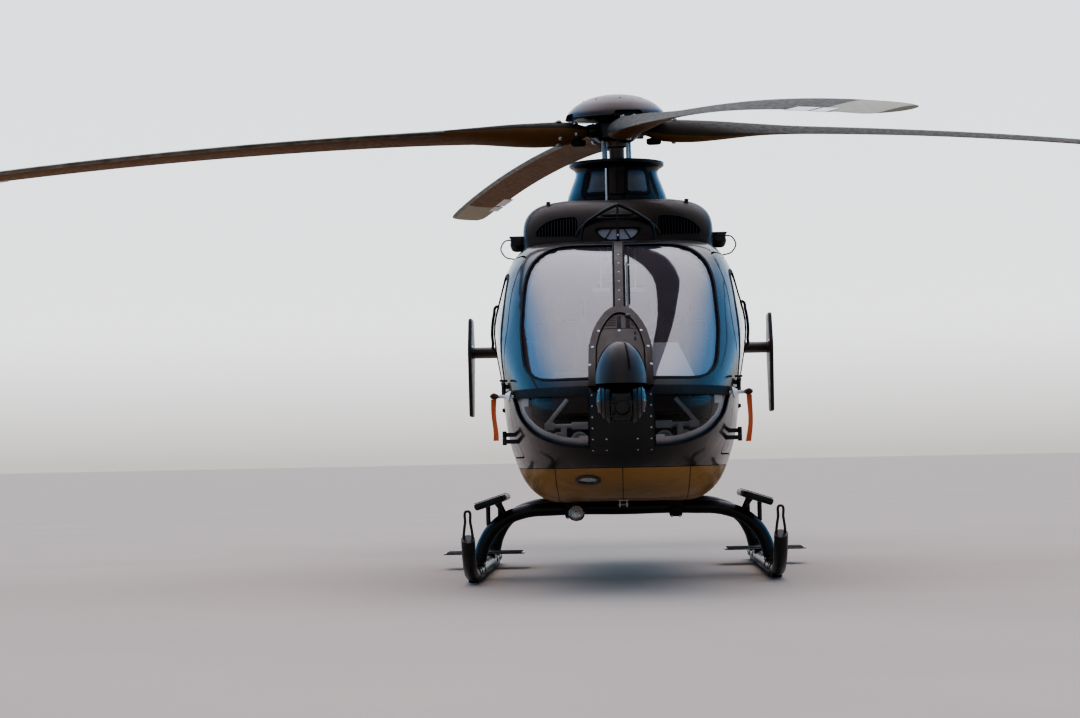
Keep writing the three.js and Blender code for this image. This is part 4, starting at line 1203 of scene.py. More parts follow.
@dataclass
class Doors:
    """The hinged front and rear doors, and the sliding ones between them."""

    skins: Skins
    glazing: Glazing
    gap: float = 0.008
    hinge_out: float = 0.024
    front_levels: tuple[float, float] = (0.88, 1.16)
    rear_levels: tuple[float, float] = (0.86, 1.48)

    def build(self) -> None:
        """Builds all six doors."""
        self.side_door("front_door", FRONT_DOOR, FRONT_WINDOW, self.gap, front_door_of)
        self.side_door("sliding_door", SLIDING_DOOR, SLIDING_WINDOW, 0.004, airframe)
        self.rear_doors()
        self.hinges("front_hinge", 0.85, self.front_levels, front_door_of)
        self.hinges("rear_hinge", REAR_DOORS[0], self.rear_levels, rear_door_of)
        self.handles()

    def side_door(
        self, stem: str, rows: Outline, window: Outline, gap: float, body: Callable[[Side], Body]
    ) -> None:
        """A door in the side with its pane, seals and the stop behind its edge."""
        door = self.skins.side(f"{stem}_skin_left", Layer.SKIN, rows, -gap, CORE + gap)
        carve(door, prism("window", rounded(side_outline(window)), View.SIDE, CORE, REACH))
        lined(smooth(door), self.skins.hull, GLOSS, LINING, RUBBER)
        both(door, GLOSS, stem, body=body, dressed=True)
        self.glazing.side_window(stem, window, body, SIDE_GLASS, f"{stem}_glass")
        both(self.skins.side_ring(f"{stem}_stop_left", Layer.STOP, rows, 0.012, -0.022), RUBBER)

    def rear_doors(self) -> None:
        """The two doors that meet at the middle of the rear."""
        front, low, high = REAR_DOORS
        space = block(
            "space", (self.gap / 2, aft(front + self.gap), low + self.gap),
            (REACH, aft(POD_END - self.gap), high - self.gap)
        )
        door = self.skins.piece("rear_door_skin_left", Layer.SKIN, space)
        carve(door, prism("window", rounded(REAR_DOOR_WINDOW), View.FRONT, aft(4.75), aft(5.64)))
        lined(smooth(door), self.skins.hull, GLOSS, LINING, RUBBER)
        both(door, GLOSS, "rear_door", body=rear_door_of, dressed=True)
        pane = prism("pane", rounded(REAR_DOOR_WINDOW, -GAP), View.FRONT, aft(4.75), aft(5.639))
        both(self.skins.piece("rear_door_pane_left", Layer.GLASS, pane), SIDE_GLASS, "rear_door_glass",
             body=rear_door_of)
        outer = prism("outer", rounded(REAR_DOOR_WINDOW, 0.01), View.FRONT, aft(4.74), aft(5.645))
        inner = prism("inner", rounded(REAR_DOOR_WINDOW, -0.012), View.FRONT, aft(4.7), aft(5.7))
        both(self.skins.piece("rear_door_seal_left", Layer.SEAL, carve(outer, inner)), RUBBER,
             body=rear_door_of)

    def hinge_x(self, station: float, levels: Sequence[float]) -> float:
        """How far out a hinge's axis is."""
        return max(self.skins.hull.half_width(station, z) for z in levels) + self.hinge_out

    def hinges(self, stem: str, station: float, levels: Sequence[float],
               body: Callable[[Side], Body]) -> None:
        """Two hinges: a knuckle on the frame under a knuckle on the door."""
        x = self.hinge_x(station, levels)
        for part, shift, toward, owner in (("frame", -0.0402, -1, airframe), ("door", 0.0002, 1, body)):
            knuckles = []
            for z in levels:
                pin = turned("pin",
                             [(0, 0), (0.011, 0), (0.012, 0.001), (0.012, 0.039), (0.011, 0.04), (0, 0.04)],
                             20)
                knuckles.append(moved(pin, Matrix.Translation((x, aft(station), z + shift))))
                root = self.skins.hull.half_width(station, z) - 0.02
                ends = sorted((aft(station) + toward * GAP, aft(station) + toward * 0.026))
                low, high = (root, ends[0], z + shift + 0.008), (x, ends[1], z + shift + 0.032)
                knuckles.append(block("arm", low, high, 0.003))
            both(smooth(joined(f"{stem}_{part}_left", knuckles)), BLACK, body=owner)

    def handles(self) -> None:
        """Door handles, a long upright grip on each front door and the latches of the rear doors."""
        hull = self.skins.hull
        for stem, station, body in (("front_door", 1.80, front_door_of), ("sliding_door", 2.12, airframe)):
            z = 1.06
            x = hull.half_width(station, z)
            plate = [(station - 0.09, z - 0.035, 0.03), (station + 0.09, z - 0.035, 0.03),
                     (station + 0.09, z + 0.035, 0.03), (station - 0.09, z + 0.035, 0.03)]
            both(self.skins.side(f"{stem}_handle_plate_left", Layer.PLATE, plate), TRIM, body=body)
            lever = block("lever", (x - 0.002, aft(station - 0.065), z - 0.012),
                          (x + 0.018, aft(station + 0.07), z + 0.012), 0.006)
            lever.name = f"{stem}_handle_left"
            both(smooth(lever), BLACK, body=body)
        z_low, z_high, station = 1.44, 1.71, 1.905
        spots = [(hull.half_width(station, z) + 0.016, aft(station), z) for z in spread(z_low, z_high, 7)]
        foot = [(hull.half_width(station, z) - 0.01, aft(station), z) for z in (z_low, z_high)]
        both(curve_tube("front_door_grip_left", [foot[0], *spots, foot[1]], 0.009, 3), BLACK,
             body=front_door_of)
        latch = block("rear_door_latch_left", (0.02, aft(5.02), 0.9), (0.05, aft(5.05), 0.96), 0.006)
        y = self.skins.hull.end_y(0.035, 0.93, POD_END, 3.4)
        both(moved(latch, Matrix.Translation((0, y - aft(5.035), 0))), BLACK, body=rear_door_of)


def flowing(points: Sequence[Sequence[float]], steps: int = 5) -> list[Vector]:
    """Points of a smooth curve through other points, with a number of steps between each two."""
    table = [(i, *point) for i, point in enumerate(points)]
    count = (len(points) - 1) * steps
    return [Vector(upright(table, i / steps)[1:]) for i in range(count + 1)]


def smooth_turned(name: str, rows: Sequence[tuple[float, float]], steps: int = 48, fine: int = 4) -> Piece:
    """A spun profile whose line is smooth through its rows."""
    return turned(name, [tuple(spot) for spot in flowing(rows, fine)], steps)


def two_toned(piece: Piece, finishes: Sequence[Surface],
              second: Callable[[bpy.types.MeshPolygon], bool]) -> Piece:
    """Dresses a piece in two finishes, the second where a test says so."""
    dress(piece, *finishes)
    for face in piece.data.polygons:
        face.material_index = int(second(face))
    return piece


@dataclass
class Rotor:
    """Mast, hub, dome cap and four blades, built upright and then tilted with the mast."""

    station: float = 3.14
    height: float = 2.96
    forward: float = 3.0
    aside: float = 1.0
    first_blade: float = -74.3
    root: float = 0.2053
    radius: float = 5.1
    droop: float = 0.33
    cap_low: float = 0.0603
    blade_rows: tuple[tuple[float, ...], ...] = (
        (0.2053, 0.12, 0.07, 12), (0.33, 0.225, 0.142, 15), (0.62, 0.3, 0.132, 16), (1.0, 0.3, 0.074, 14),
        (1.4, 0.288, 0.04, 13), (3.0, 0.288, 0.035, 10), (4.7, 0.288, 0.032, 8), (5.0, 0.27, 0.028, 8),
        (5.1, 0.225, 0.02, 8),
    )

    def build(self) -> None:
        """Builds the whole rotor."""
        self.blades()
        self.cap()
        self.mast()
        self.hub()
        self.links()

    def stand(self) -> Matrix:
        """The mast's own frame."""
        axis = Vector((-math.tan(math.radians(self.aside)), -math.tan(math.radians(self.forward)),
                       1)).normalized()
        turn = leaned(axis)
        return Matrix.Translation((0, aft(self.station), self.height)) @ turn

    def quarter(self, k: int, more: float = 0.0) -> Matrix:
        """The turn about the mast that takes +X to a blade, and a little more."""
        return spun(self.first_blade + 90 * k + more, "Z")

    def arm(self, k: int) -> Matrix:
        """The frame of one blade, along +X."""
        return self.stand() @ self.quarter(k)

    def thickness(self, c: float, radius: float) -> float:
        """Half thickness share across the chord: round at the root, an aerofoil further out."""
        wing = 5 * (0.2969 * math.sqrt(c) - 0.126 * c - 0.3516 * c * c + 0.2843 * c**3 - 0.1036 * c**4)
        pod = math.sqrt(max(0.0, 1 - (2 * c - 1) ** 2)) / 2
        share = min(1.0, max(0.0, (1.05 - radius) / 0.5))
        return 2 * (wing * (1 - share) + pod * share)

    def place(self, radius: float, y: float, z: float) -> Vector:
        """A point of the blade, turned by its pitch and lowered by its droop."""
        _, _, _, pitch = upright(self.blade_rows, radius)
        turn = math.radians(pitch)
        low = self.droop * ((radius - self.root) / (self.radius - self.root)) ** 2
        return Vector((radius, y * math.cos(turn) - z * math.sin(turn),
                       y * math.sin(turn) + z * math.cos(turn) - low))

    def ring(self, radius: float, count: int = 13) -> list[Vector]:
        """The blade's section at a radius, from its leading edge over the top and back."""
        _, chord, thick, _ = upright(self.blade_rows, radius)
        points = []
        for i in range(2 * count):
            c = (1 - math.cos(math.pi * i / count)) / 2
            half = max(self.thickness(c, radius), 0.05 * (0 < c)) * thick / 2
            points.append(self.place(radius, chord * (0.3 - c), half if i < count else -half))
        return points

    def blades(self) -> None:
        """Four blades with a pale tip, and a trim tab near it."""
        radii = spread(self.root, 1.4, 22) + spread(1.5, 4.9, 34) + spread(4.94, self.radius, 6)
        blade = smooth(loft("blade", [self.ring(radius) for radius in radii]), 50)
        reach = self.radius - self.root
        for loop, uv in zip(blade.data.loops, blade.data.uv_layers[0].data):
            uv.uv.y = (blade.data.vertices[loop.vertex_index].co.x - self.root) / reach
        tabs = [self.tab(4.02, 4.36), self.tab(4.4, 4.62)]
        strip = self.strip()
        cuff = self.cuff_ring()
        for k in range(4):
            fitted(moved(copied(blade, f"rotor_blade_{k + 1}_skin"), self.arm(k)), BLADE,
                   f"rotor_blade_{k + 1}", body=Body.ROTOR)
            pair = [moved(copied(tab, "tab"), self.arm(k)) for tab in tabs]
            fitted(joined(f"rotor_blade_{k + 1}_tabs", pair), METAL, body=Body.ROTOR)
            fitted(moved(copied(strip, f"rotor_blade_{k + 1}_edge"), self.arm(k)), BLADE_EDGE,
                   body=Body.ROTOR)
            fitted(moved(copied(cuff, f"rotor_blade_{k + 1}_cuff_bolts"), self.arm(k)), METAL,
                   body=Body.ROTOR)
        for spare in (blade, strip, cuff, *tabs):
            bpy.data.objects.remove(spare)

    def tab(self, start: float, end: float) -> Piece:
        """A thin trim tab on the trailing edge."""
        rings = []
        for radius in (start, end):
            chord = upright(self.blade_rows, radius)[1]
            y = -0.7 * chord
            rings.append([self.place(radius, *spot) for spot in (
                (y + 0.05, 0.0075), (y - 0.03, 0.0024), (y - 0.03, 0.0006), (y + 0.05, -0.0075),
            )])
        return loft("tab", rings)

    def strip(self) -> Piece:
        """The metal strip that guards the leading edge, over the outer four fifths."""
        rings = []
        for radius in spread(1.2, 5.02, 30):
            _, chord, thick, _ = upright(self.blade_rows, radius)
            section = []
            for c in (0.1, 0.05, 0.02, 0.0045, 0.0, 0.0045, 0.02, 0.05, 0.1):
                half = self.thickness(c, radius) * thick / 2 + 0.0006
                sign = 1 if len(section) < 4 else -1
                lead = 0.0006 if c < 0.001 else 0
                section.append(self.place(radius, chord * (0.3 - c) + lead, 0 if c == 0 else sign * half))
            inner = [spot + (section[0] + section[8] - spot * 2) * 0.04 for spot in reversed(section[1:8])]
            rings.append(section + inner)
        return smooth(loft("strip", rings), 60)

    def cuff_ring(self) -> Piece:
        """Two bolt heads on each side of a blade's root, and the washers under them."""
        rows = [(0, 0.016), (0.012, 0.016), (0.014, 0.013), (0.014, 0.006), (0.021, 0.006), (0.021, 0),
                (0, 0)]
        bolts = []
        for radius, y in ((0.29, 0.045), (0.29, -0.03), (0.4, 0.03), (0.4, -0.045)):
            _, chord, thick, pitch = upright(self.blade_rows, radius)
            top = self.thickness(0.3 - y / chord, radius) * thick / 2 - 0.003
            for up in (1, -1):
                spot = self.place(radius, y, up * top)
                facing = spun(pitch + (0 if up > 0 else 180), "X")
                bolts.append(moved(turned("bolt", rows, 10), Matrix.Translation(spot) @ facing))
        return smooth(joined("cuff_bolts", bolts), 40)

    def cap(self) -> None:
        """The glossy dome with its black rim, notched over each blade."""
        dome = [(0.33, 0.078), (0.335, 0.092), (0.318, 0.126), (0.262, 0.176), (0.17, 0.22), (0.07, 0.24),
                (0, 0.243)]
        rows = [(0, self.cap_low), (0.105, self.cap_low), (0.25, 0.07), *map(tuple, flowing(dome, 5))]
        cap = turned("hub_cap_dome", rows, 80)
        for k in range(4):
            notch = block("notch", (0.286, -0.096, -0.02), (0.42, 0.096, 0.112), 0.02)
            carve(cap, moved(notch, self.quarter(k)))
        two_toned(smooth(cap, 28), (CAP_PAINT, BLACK), lambda face: face.normal.z < 0.12)
        fitted(moved(cap, self.stand()), CAP_PAINT, "hub_cap", body=Body.ROTOR, dressed=True)
        band = []
        for k in range(4):
            points = []
            for angle in spread(19, 71, 14):
                turn = math.radians(self.first_blade + 90 * k + angle)
                points.append((0.333 * math.cos(turn), 0.333 * math.sin(turn), 0.0835))
            band.append(curve_tube("rim", points, 0.0065, 2))
        fitted(moved(joined("hub_cap_rim", band), self.stand()), BLACK, body=Body.ROTOR)
        heads = []
        for k in range(8):
            turn = math.radians(45 * k + 10)
            heads.append((Vector((0.21 * math.cos(turn), 0.21 * math.sin(turn), 0.2025)),
                          Vector((0.3, 0, 1))))
        fitted(moved(rivets("hub_cap_screws", heads, 0.008), self.stand()), BLACK, body=Body.ROTOR)

    def mast(self) -> None:
        """The turned mast with a collar, and the swashplate."""
        low = self.height - 2.4 - 0.012
        rows = [(0, -low), (0.052, -low), (0.052, -0.42), (0.05, -0.2), (0.051, -0.12), (0.068, -0.11),
                (0.068, -0.075), (0, -0.075)]
        fitted(moved(smooth(turned("mast_tube", rows, 40)), self.stand()), MAST_METAL, body=Body.ROTOR)
        plate = [(0.055, -0.41), (0.14, -0.41), (0.15, -0.4), (0.15, -0.372), (0.13, -0.36), (0.055, -0.36)]
        fitted(moved(smooth(turned("swashplate", plate, 48, ring=True)), self.stand()), METAL,
               body=Body.ROTOR)

    def hub(self) -> None:
        """The hub's two plates with bolts, four short arms and the dampers under the blade roots."""
        rows = [(0, -0.075), (0.118, -0.075), (0.148, -0.05), (0.15, -0.042), (0.15, 0.042), (0.142, 0.048),
                (0.1, 0.0597), (0, 0.0597)]
        parts = [smooth(turned("plate", rows, 48))]
        for k in range(4):
            turn = self.quarter(k)
            parts.append(moved(block("arm", (0.05, -0.073, -0.04), (0.2048, 0.073, -0.016), 0.006), turn))
            parts.append(moved(block("arm", (0.05, -0.073, 0.016), (0.2048, 0.073, 0.04), 0.006), turn))
            parts.append(moved(block("core", (0.05, -0.05, -0.016), (0.2, 0.05, 0.016), 0.004), turn))
        fitted(moved(smooth(joined("hub_plates", parts)), self.stand()), BLACK, "rotor_mast",
               body=Body.ROTOR)
        spots = []
        for k in range(4):
            for radius, angle in ((0.175, 14), (0.175, -14), (0.12, 22), (0.12, -22)):
                turn = math.radians(self.first_blade + 90 * k + angle)
                x, y = radius * math.cos(turn), radius * math.sin(turn)
                for up in (1, -1):
                    level = 0.041 if radius > 0.15 else 0.049
                    spots.append((Vector((x, y, up * level)), Vector((0, 0, up))))
        fitted(moved(rivets("hub_bolts", spots, 0.012), self.stand()), METAL, body=Body.ROTOR)
        dampers = []
        rows = [(0, -0.1), (0.04, -0.1), (0.05, -0.09), (0.05, -0.062), (0.03, -0.056), (0, -0.05)]
        for k in range(4):
            damper = turned("damper", rows, 24)
            turn = self.quarter(k)
            dampers.append(moved(damper, turn @ Matrix.Translation((0.262, -0.01, 0))))
        fitted(moved(smooth(joined("blade_dampers", dampers)), self.stand()), RUBBER, body=Body.ROTOR)

    def links(self) -> None:
        """Pitch links with their ends, and the horns that they push."""
        rods, ends, horns = [], [], []
        for k in range(4):
            turn = self.quarter(k, 24)
            rod = [(0, -0.165), (0.007, -0.165), (0.011, -0.13), (0.011, 0.13), (0.007, 0.165), (0, 0.165)]
            rods.append(moved(turned("rod", rod, 12), turn @ Matrix.Translation((0.115, 0, -0.2))))
            for z in (-0.368, -0.034):
                ball = [(0, -0.016), (0.014, -0.014), (0.018, 0), (0.014, 0.014), (0, 0.016)]
                ends.append(moved(turned("end", ball, 14), turn @ Matrix.Translation((0.115, 0, z))))
            horn = block("horn", (0.1, -0.014, -0.052), (0.235, 0.014, -0.028), 0.005)
            horns.append(moved(horn, turn))
        fitted(moved(smooth(joined("pitch_links", rods), 50), self.stand()), METAL, body=Body.ROTOR)
        fitted(moved(smooth(joined("pitch_link_ends", ends), 50), self.stand()), STEEL, body=Body.ROTOR)
        fitted(moved(smooth(joined("pitch_horns", horns)), self.stand()), BLACK, body=Body.ROTOR)


COWLING = [
    (1.915, 0.545, 2.085), (1.96, 0.575, 2.23), (2.03, 0.592, 2.33), (2.16, 0.6, 2.39), (2.45, 0.6, 2.412),
    (2.76, 0.6, 2.445), (3.1, 0.598, 2.49), (3.6, 0.592, 2.495), (4.3, 0.57, 2.478), (4.8, 0.505, 2.42),
    (5.2, 0.4, 2.335), (5.48, 0.31, 2.262), (5.64, 0.265, 2.215),
]
"""Station, half width and top of the cowling."""

SHOULDER = [(1, 0), (1, 0.42), (0.96, 0.68), (0.86, 0.86), (0.7, 0.96), (0.45, 1), (0, 1)]
"""Share of its half width and of its height, from the eaves up."""


@dataclass
class Cowlings:
    """The brow with its grilles and roof window, the engine cowling and what stands on them."""

    hull: Hull
    base: float = 1.98
    eaves: float = 2.08
    wall: float = 0.02
    split: float = 2.75
    exhaust: tuple[tuple[float, float, float], ...] = (
        (0.24, 4.56, 2.24), (0.29, 4.9, 2.28), (0.365, 5.16, 2.34), (0.455, 5.38, 2.4),
    )
    pipe: float = 0.092
    window: tuple[tuple[float, ...], ...] = (
        (-0.165, 2.196, 0.06), (0.165, 2.196, 0.06), (0.09, 2.112, 0.04), (-0.09, 2.112, 0.04),
    )

    def build(self) -> None:
        """Builds the roof."""
        shell = carve(self.solid("cowl_shell", 0.0), self.solid("inner", self.wall))
        carve(shell, self.hull.solid("roof", -GAP))
        self.brow(copied(shell, "brow_skin"))
        self.engines(shell)
        self.grilles()
        self.roof_window()
        self.boxes()
        self.tops()

    def ring(self, row: tuple[float, ...], station: float, inset: float) -> list[Vector]:
        """A section of the cowling."""
        _, half, top = row
        left = []
        for w, u in flowing(SHOULDER, 4):
            left.append(Vector((w * (half - inset), aft(station),
                                self.eaves + u * (top - inset - self.eaves))))
        left = [Vector((half - inset, aft(station), self.base - inset))] + left
        return left + [Vector((-p.x, p.y, p.z)) for p in reversed(left[:-1])]

    def solid(self, name: str, inset: float) -> Piece:
        """The whole cowling, moved inwards by an inset, as a closed solid."""
        places = [0, 0.25, 0.5, 0.75, 1, 1.25, 1.5, 1.75, 2, 2.33, 2.66, 3, 3.5]
        places += spread(4, len(COWLING) - 1, 33)
        table = [(i, *row) for i, row in enumerate(COWLING)]
        rings = []
        for place in places:
            row = upright(table, place)[1:]
            if place >= len(COWLING) - 1:
                station = row[0] - max(0.0, inset)
            else:
                station = row[0] + max(0.0, inset) * max(0.0, 1 - place / 4)
            rings.append(self.ring(row, station, inset))
        return loft(name, rings)

    def top_at(self, station: float, x: float) -> float:
        """Height of the cowling's outside."""
        row = upright(COWLING, station)
        ring = self.ring(row, station, 0.0)
        for a, b in zip(ring, ring[1:]):
            if b.x <= abs(x) <= a.x and a.x > b.x and a.z >= self.eaves:
                return a.z + (b.z - a.z) * (a.x - abs(x)) / (a.x - b.x)
        return row[2]

    def grille_outline(self, grow: float = 0.0) -> list[tuple[float, float]]:
        """The grille's opening, lower towards the outside."""
        rows = [(0.252, 2.142, 0.02), (0.517, 2.142, 0.02), (0.52, 2.175, 0.02), (0.47, 2.232, 0.05),
                (0.38, 2.268, 0.05), (0.252, 2.274, 0.03)]
        return rounded(rows, grow)

    def brow(self, skin: Piece) -> None:
        """The front cowling, opened for the grilles and the roof window."""
        ends = aft(self.split) - GAP
        carve(skin, block("cutter", (-1, aft(1.8), 1.9), (1, ends, 2.7)), Cut.COMMON)
        for side in Side:
            points = [(side.value * x, z) for x, z in self.grille_outline()]
            carve(skin, prism("grille", points, View.FRONT, aft(1.85), aft(2.1)))
        recess = rounded(self.window)
        carve(skin, prism("recess", recess, View.FRONT, aft(1.85), aft(1.99)))
        fitted(smooth(bevelled(skin, 0.003, 2, 50), 40), SATIN, "brow_cowling")
        line = [(0.2 * math.sin(math.radians(a)) * 1.35, aft(1.928 + 0.03 * math.cos(math.radians(a))),
                 2.11 + 0.165 * math.cos(math.radians(a))) for a in spread(-78, 78, 15)]
        fitted(curve_tube("brow_arch_rib", line, 0.011, 3), SATIN)

    def engines(self, skin: Piece) -> None:
        """The rear cowling with its outlets, its cooling louvres and the panel lines of its doors."""
        carve(skin, block("cutter", (-1, aft(self.split), 1.9), (1, aft(POD_END), 2.7)), Cut.COMMON)
        hole = cylinder("hole", 0.275, 2.3, 2.6, 48)
        carve(skin, moved(hole, Matrix.Translation((0, aft(3.166), 0))))
        for side in Side:
            route = [(side.value * x, aft(y), z) for x, y, z in self.exhaust]
            carve(skin, curve_tube("pipe", route, self.pipe + 0.009, 5))
        for i, station in enumerate((3.5, 4.34, 4.92)):
            groove = block("groove", (-1, aft(station) - 0.002, 2.05), (1, aft(station) + 0.002, 2.7))
            ring = carve(self.solid("ring", -0.0008), self.solid("inner", 0.004))
            fitted(smooth(carve(ring, groove, Cut.COMMON)), RUBBER).name = f"cowl_line_{i + 1}"
        fitted(smooth(bevelled(skin, 0.003, 2, 50), 40), SATIN, "engine_cowling")
        self.louvres()
        self.pipes()

    def louvres(self) -> None:
        """Raised louvres on both sides of the engine cowling."""
        slats = []
        for station in spread(3.72, 4.2, 11):
            x = upright(COWLING, station)[1]
            low, high = (x - 0.01, aft(station), 2.12), (x + 0.008, aft(station) + 0.03, 2.3)
            slats.append(block("slat", low, high, 0.004))
        both(smooth(joined("cowl_louvres_left", slats)), SATIN)

    def pipes(self) -> None:
        """Exhaust pipes with a rolled lip."""
        for side in Side:
            route = [Vector((side.value * x, aft(y), z)) for x, y, z in self.exhaust]
            outer = curve_tube(f"exhaust_pipe_{side.word}", route, self.pipe, 7)
            ahead = (route[-1] - route[-2]).normalized()
            bore = curve_tube("bore",
                              [route[0] + Vector((0, 0.06, 0)), *route[1:-1], route[-1] + ahead * 0.03],
                              self.pipe - 0.008, 7)
            carve(outer, bore)
            carve(outer, block("cutter", (-1, aft(4), 1.9), (1, aft(4.5905), 2.7)))
            fitted(smooth(outer, 40), STEEL, f"exhaust_{side.word}")

    def grilles(self) -> None:
        """Black slats in both grilles, and a black plate behind them that stands for the shade in the duct.
        """
        outer = prism("outer", self.grille_outline(0.001), View.FRONT, aft(1.93), aft(2.12))
        slats = []
        for i in range(14):
            x = 0.262 + i * 0.019
            slats.append(block("slat", (x, aft(1.9), 2.12), (x + 0.006, aft(2.1), 2.3)))
        bars = joined("grille_slats_left", slats)
        carve(bars, outer, Cut.COMMON)
        trim = self.solid("trim", 0.004)
        carve(bars, trim, Cut.COMMON)
        both(bars, TRIM)
        # Painted shade: this near-black plate stands for the shadow inside the intake duct.
        back = prism("grille_duct_left", self.grille_outline(0.012), View.FRONT, aft(2.09), aft(2.13))
        carve(back, self.solid("trim", 0.025), Cut.COMMON)
        both(smooth(back), RUBBER)
        ring = carve(self.solid("ring", -0.002), self.solid("inner", 0.012))
        edge = carve(
            prism("edge", self.grille_outline(0.009), View.FRONT, aft(1.85), aft(2.1)),
            prism("hole", self.grille_outline(-0.003), View.FRONT, aft(1.8), aft(2.2)),
        )
        frame = carve(copied(ring, "grille_frame_left"), edge, Cut.COMMON)
        bpy.data.objects.remove(ring)
        both(smooth(frame), TRIM)

    def roof_window(self) -> None:
        """The small half-moon window over the windscreen, with its frame and centre bar."""
        pane = prism("roof_pane", rounded(self.window, -0.004), View.FRONT, aft(1.966), aft(1.972))
        fitted(smooth(pane), ROOF_GLASS)
        frame = carve(
            prism("roof_window_frame", rounded(self.window, -0.0005), View.FRONT, aft(1.95), aft(1.978)),
            prism("hole", rounded(self.window, -0.009), View.FRONT, aft(1.9), aft(2)),
        )
        fitted(smooth(frame), RUBBER)
        bar = [block("bar", (-0.008, aft(1.952), 2.114), (0.008, aft(1.964), 2.194), 0.002)]
        for x in (-0.06, 0.06):
            piece = block("bar", (-0.003, aft(1.954), -0.05), (0.003, aft(1.962), 0.05), 0.001)
            lean = Matrix.Rotation(math.copysign(0.6, -x), 4, "Y")
            bar.append(moved(piece, Matrix.Translation((x, 0, 2.155)) @ lean))
        fitted(smooth(joined("roof_window_bars", bar)), RUBBER)

    def boxes(self) -> None:
        """The black sensor boxes on the brow's shoulders, each with a thin cable loop."""
        parts = [
            block("box", (0.585, aft(2.115), 2.1), (0.682, aft(2.245), 2.168), 0.014),
            block("lid", (0.6, aft(2.125), 2.16), (0.69, aft(2.235), 2.17), 0.004),
            moved(smooth_turned("cup", [(0, -0.03), (0.03, -0.026), (0.046, 0.0), (0.046, 0.03), (0, 0.032)],
                                20, 3),
                  Matrix.Translation((0.638, aft(2.18), 2.104))),
        ]
        both(smooth(joined("shoulder_box_left", parts)), BLACK)
        loop = flowing([(0.67, aft(2.16), 2.15), (0.72, aft(2.155), 2.14), (0.745, aft(2.15), 2.09),
                        (0.715, aft(2.15), 2.04), (0.66, aft(2.155), 2.025)], 5)
        for side in Side:
            path = [Vector((side.value * x, y, z)) for x, y, z in loop]
            cable = curve_tube(f"shoulder_cable_{side.word}", path, 0.004, 2)
            fitted(cable, RUBBER)

    def tops(self) -> None:
        """Lugs, the white rod aerial and the brow's fasteners."""
        rows = [(0, -0.03), (0.024, -0.03), (0.024, 0.02), (0.014, 0.03), (0.012, 0.044), (0.016, 0.05),
                (0, 0.056)]
        lug = moved(turned("roof_lug_left", rows, 20), Matrix.Translation((0.438, aft(2.12), 2.33)))
        both(smooth(lug), BLACK)
        rod = [(0, 2.4), (0.014, 2.4), (0.014, 2.418), (0.006, 2.43), (0.0052, 2.636), (0, 2.64)]
        aerial = moved(turned("aerial_rod", rod, 14), Matrix.Translation((-0.07, aft(2.54), 0)))
        fitted(smooth(aerial), WHITE)
        spots = []
        for x in spread(-0.52, 0.52, 15):
            spots.append((Vector((x, aft(2.72), self.top_at(2.72, x) - 0.001)),
                          Vector((x, 0, 1.2)).normalized()))
        for side in Side:
            for station in spread(2.06, 2.7, 9):
                x = upright(COWLING, station)[1]
                spots.append((Vector((side.value * (x - 0.001), aft(station), 2.12)),
                              Vector((side.value, 0, 0))))
        fitted(rivets("brow_fasteners", spots, 0.0075), METAL)


@dataclass
class MastFairing:
    """The funnel round the mast, its two framed panels and the column between them."""

    station: float = 3.166
    rows: tuple[tuple[float, float], ...] = (
        (0.335, 2.446), (0.334, 2.5), (0.31, 2.57), (0.279, 2.655), (0.284, 2.69), (0.318, 2.716),
        (0.32, 2.735),
    )
    wall: float = 0.02

    def build(self) -> None:
        """Builds the funnel."""
        here = Matrix.Translation((0, aft(self.station), 0))
        shell = self.layer("mast_fairing_skin", 0.0, self.wall)
        carve(shell, Cowlings(Hull()).solid("cowl", -GAP))
        fitted(smooth(shell, 40), GLOSS, "mast_fairing")
        lip = [(0.3135, 2.729), (0.3195, 2.729), (0.3205, 2.735), (0.318, 2.739), (0.312, 2.738)]
        rim = smooth(moved(turned("mast_fairing_rim", lip, 64, ring=True), here), 60)
        fitted(rim, TRIM)
        panel = [(0.07, 2.515, 0.02), (0.212, 2.515, 0.025), (0.19, 2.668, 0.02), (0.07, 2.668, 0.02)]
        self.patch("fairing_panel_left", panel, -0.003, -0.009, 0.004, SIDE_GLASS)
        self.patch("fairing_panel_frame_left", panel, 0.016, -0.003, 0.007, RUBBER)
        column = [(-0.05, 2.5), (0.05, 2.5), (0.05, 2.7), (-0.05, 2.7)]
        skin = self.layer("column", -0.016, 0.002)
        cutter = prism("cutter", column, View.FRONT, aft(2.7), aft(3.1))
        fitted(smooth(carve(skin, cutter, Cut.COMMON)), SATIN).name = "fairing_column"
        seam = self.layer("seam", -0.018, 0.0)
        cutter = block("cutter", (-0.003, aft(2.7), 2.49), (0.003, aft(3.1), 2.7))
        fitted(smooth(carve(seam, cutter, Cut.COMMON)), RUBBER).name = "fairing_column_seam"

    def layer(self, name: str, outer: float, inner: float) -> Piece:
        """A ring between two depths of the funnel."""
        line = flowing(self.rows, 5)
        rows = [(p.x - outer, p.y) for p in line] + [(p.x - inner, p.y) for p in reversed(line)]
        return moved(turned(name, rows, 64, ring=True), Matrix.Translation((0, aft(self.station), 0)))

    def patch(self, name: str, rows: Outline, out: float, into: float, proud: float,
              finish: Surface) -> None:
        """A panel, or a frame where it has a hole, on the funnel's front, on both sides."""
        cutter = prism("outer", rounded(rows, out), View.FRONT, aft(2.7), aft(3.1))
        if finish is RUBBER:
            carve(cutter, prism("hole", rounded(rows, into), View.FRONT, aft(2.6), aft(3.2)))
        skin = smooth(carve(self.layer(name, -proud, 0.004), cutter, Cut.COMMON))
        both(skin, finish)


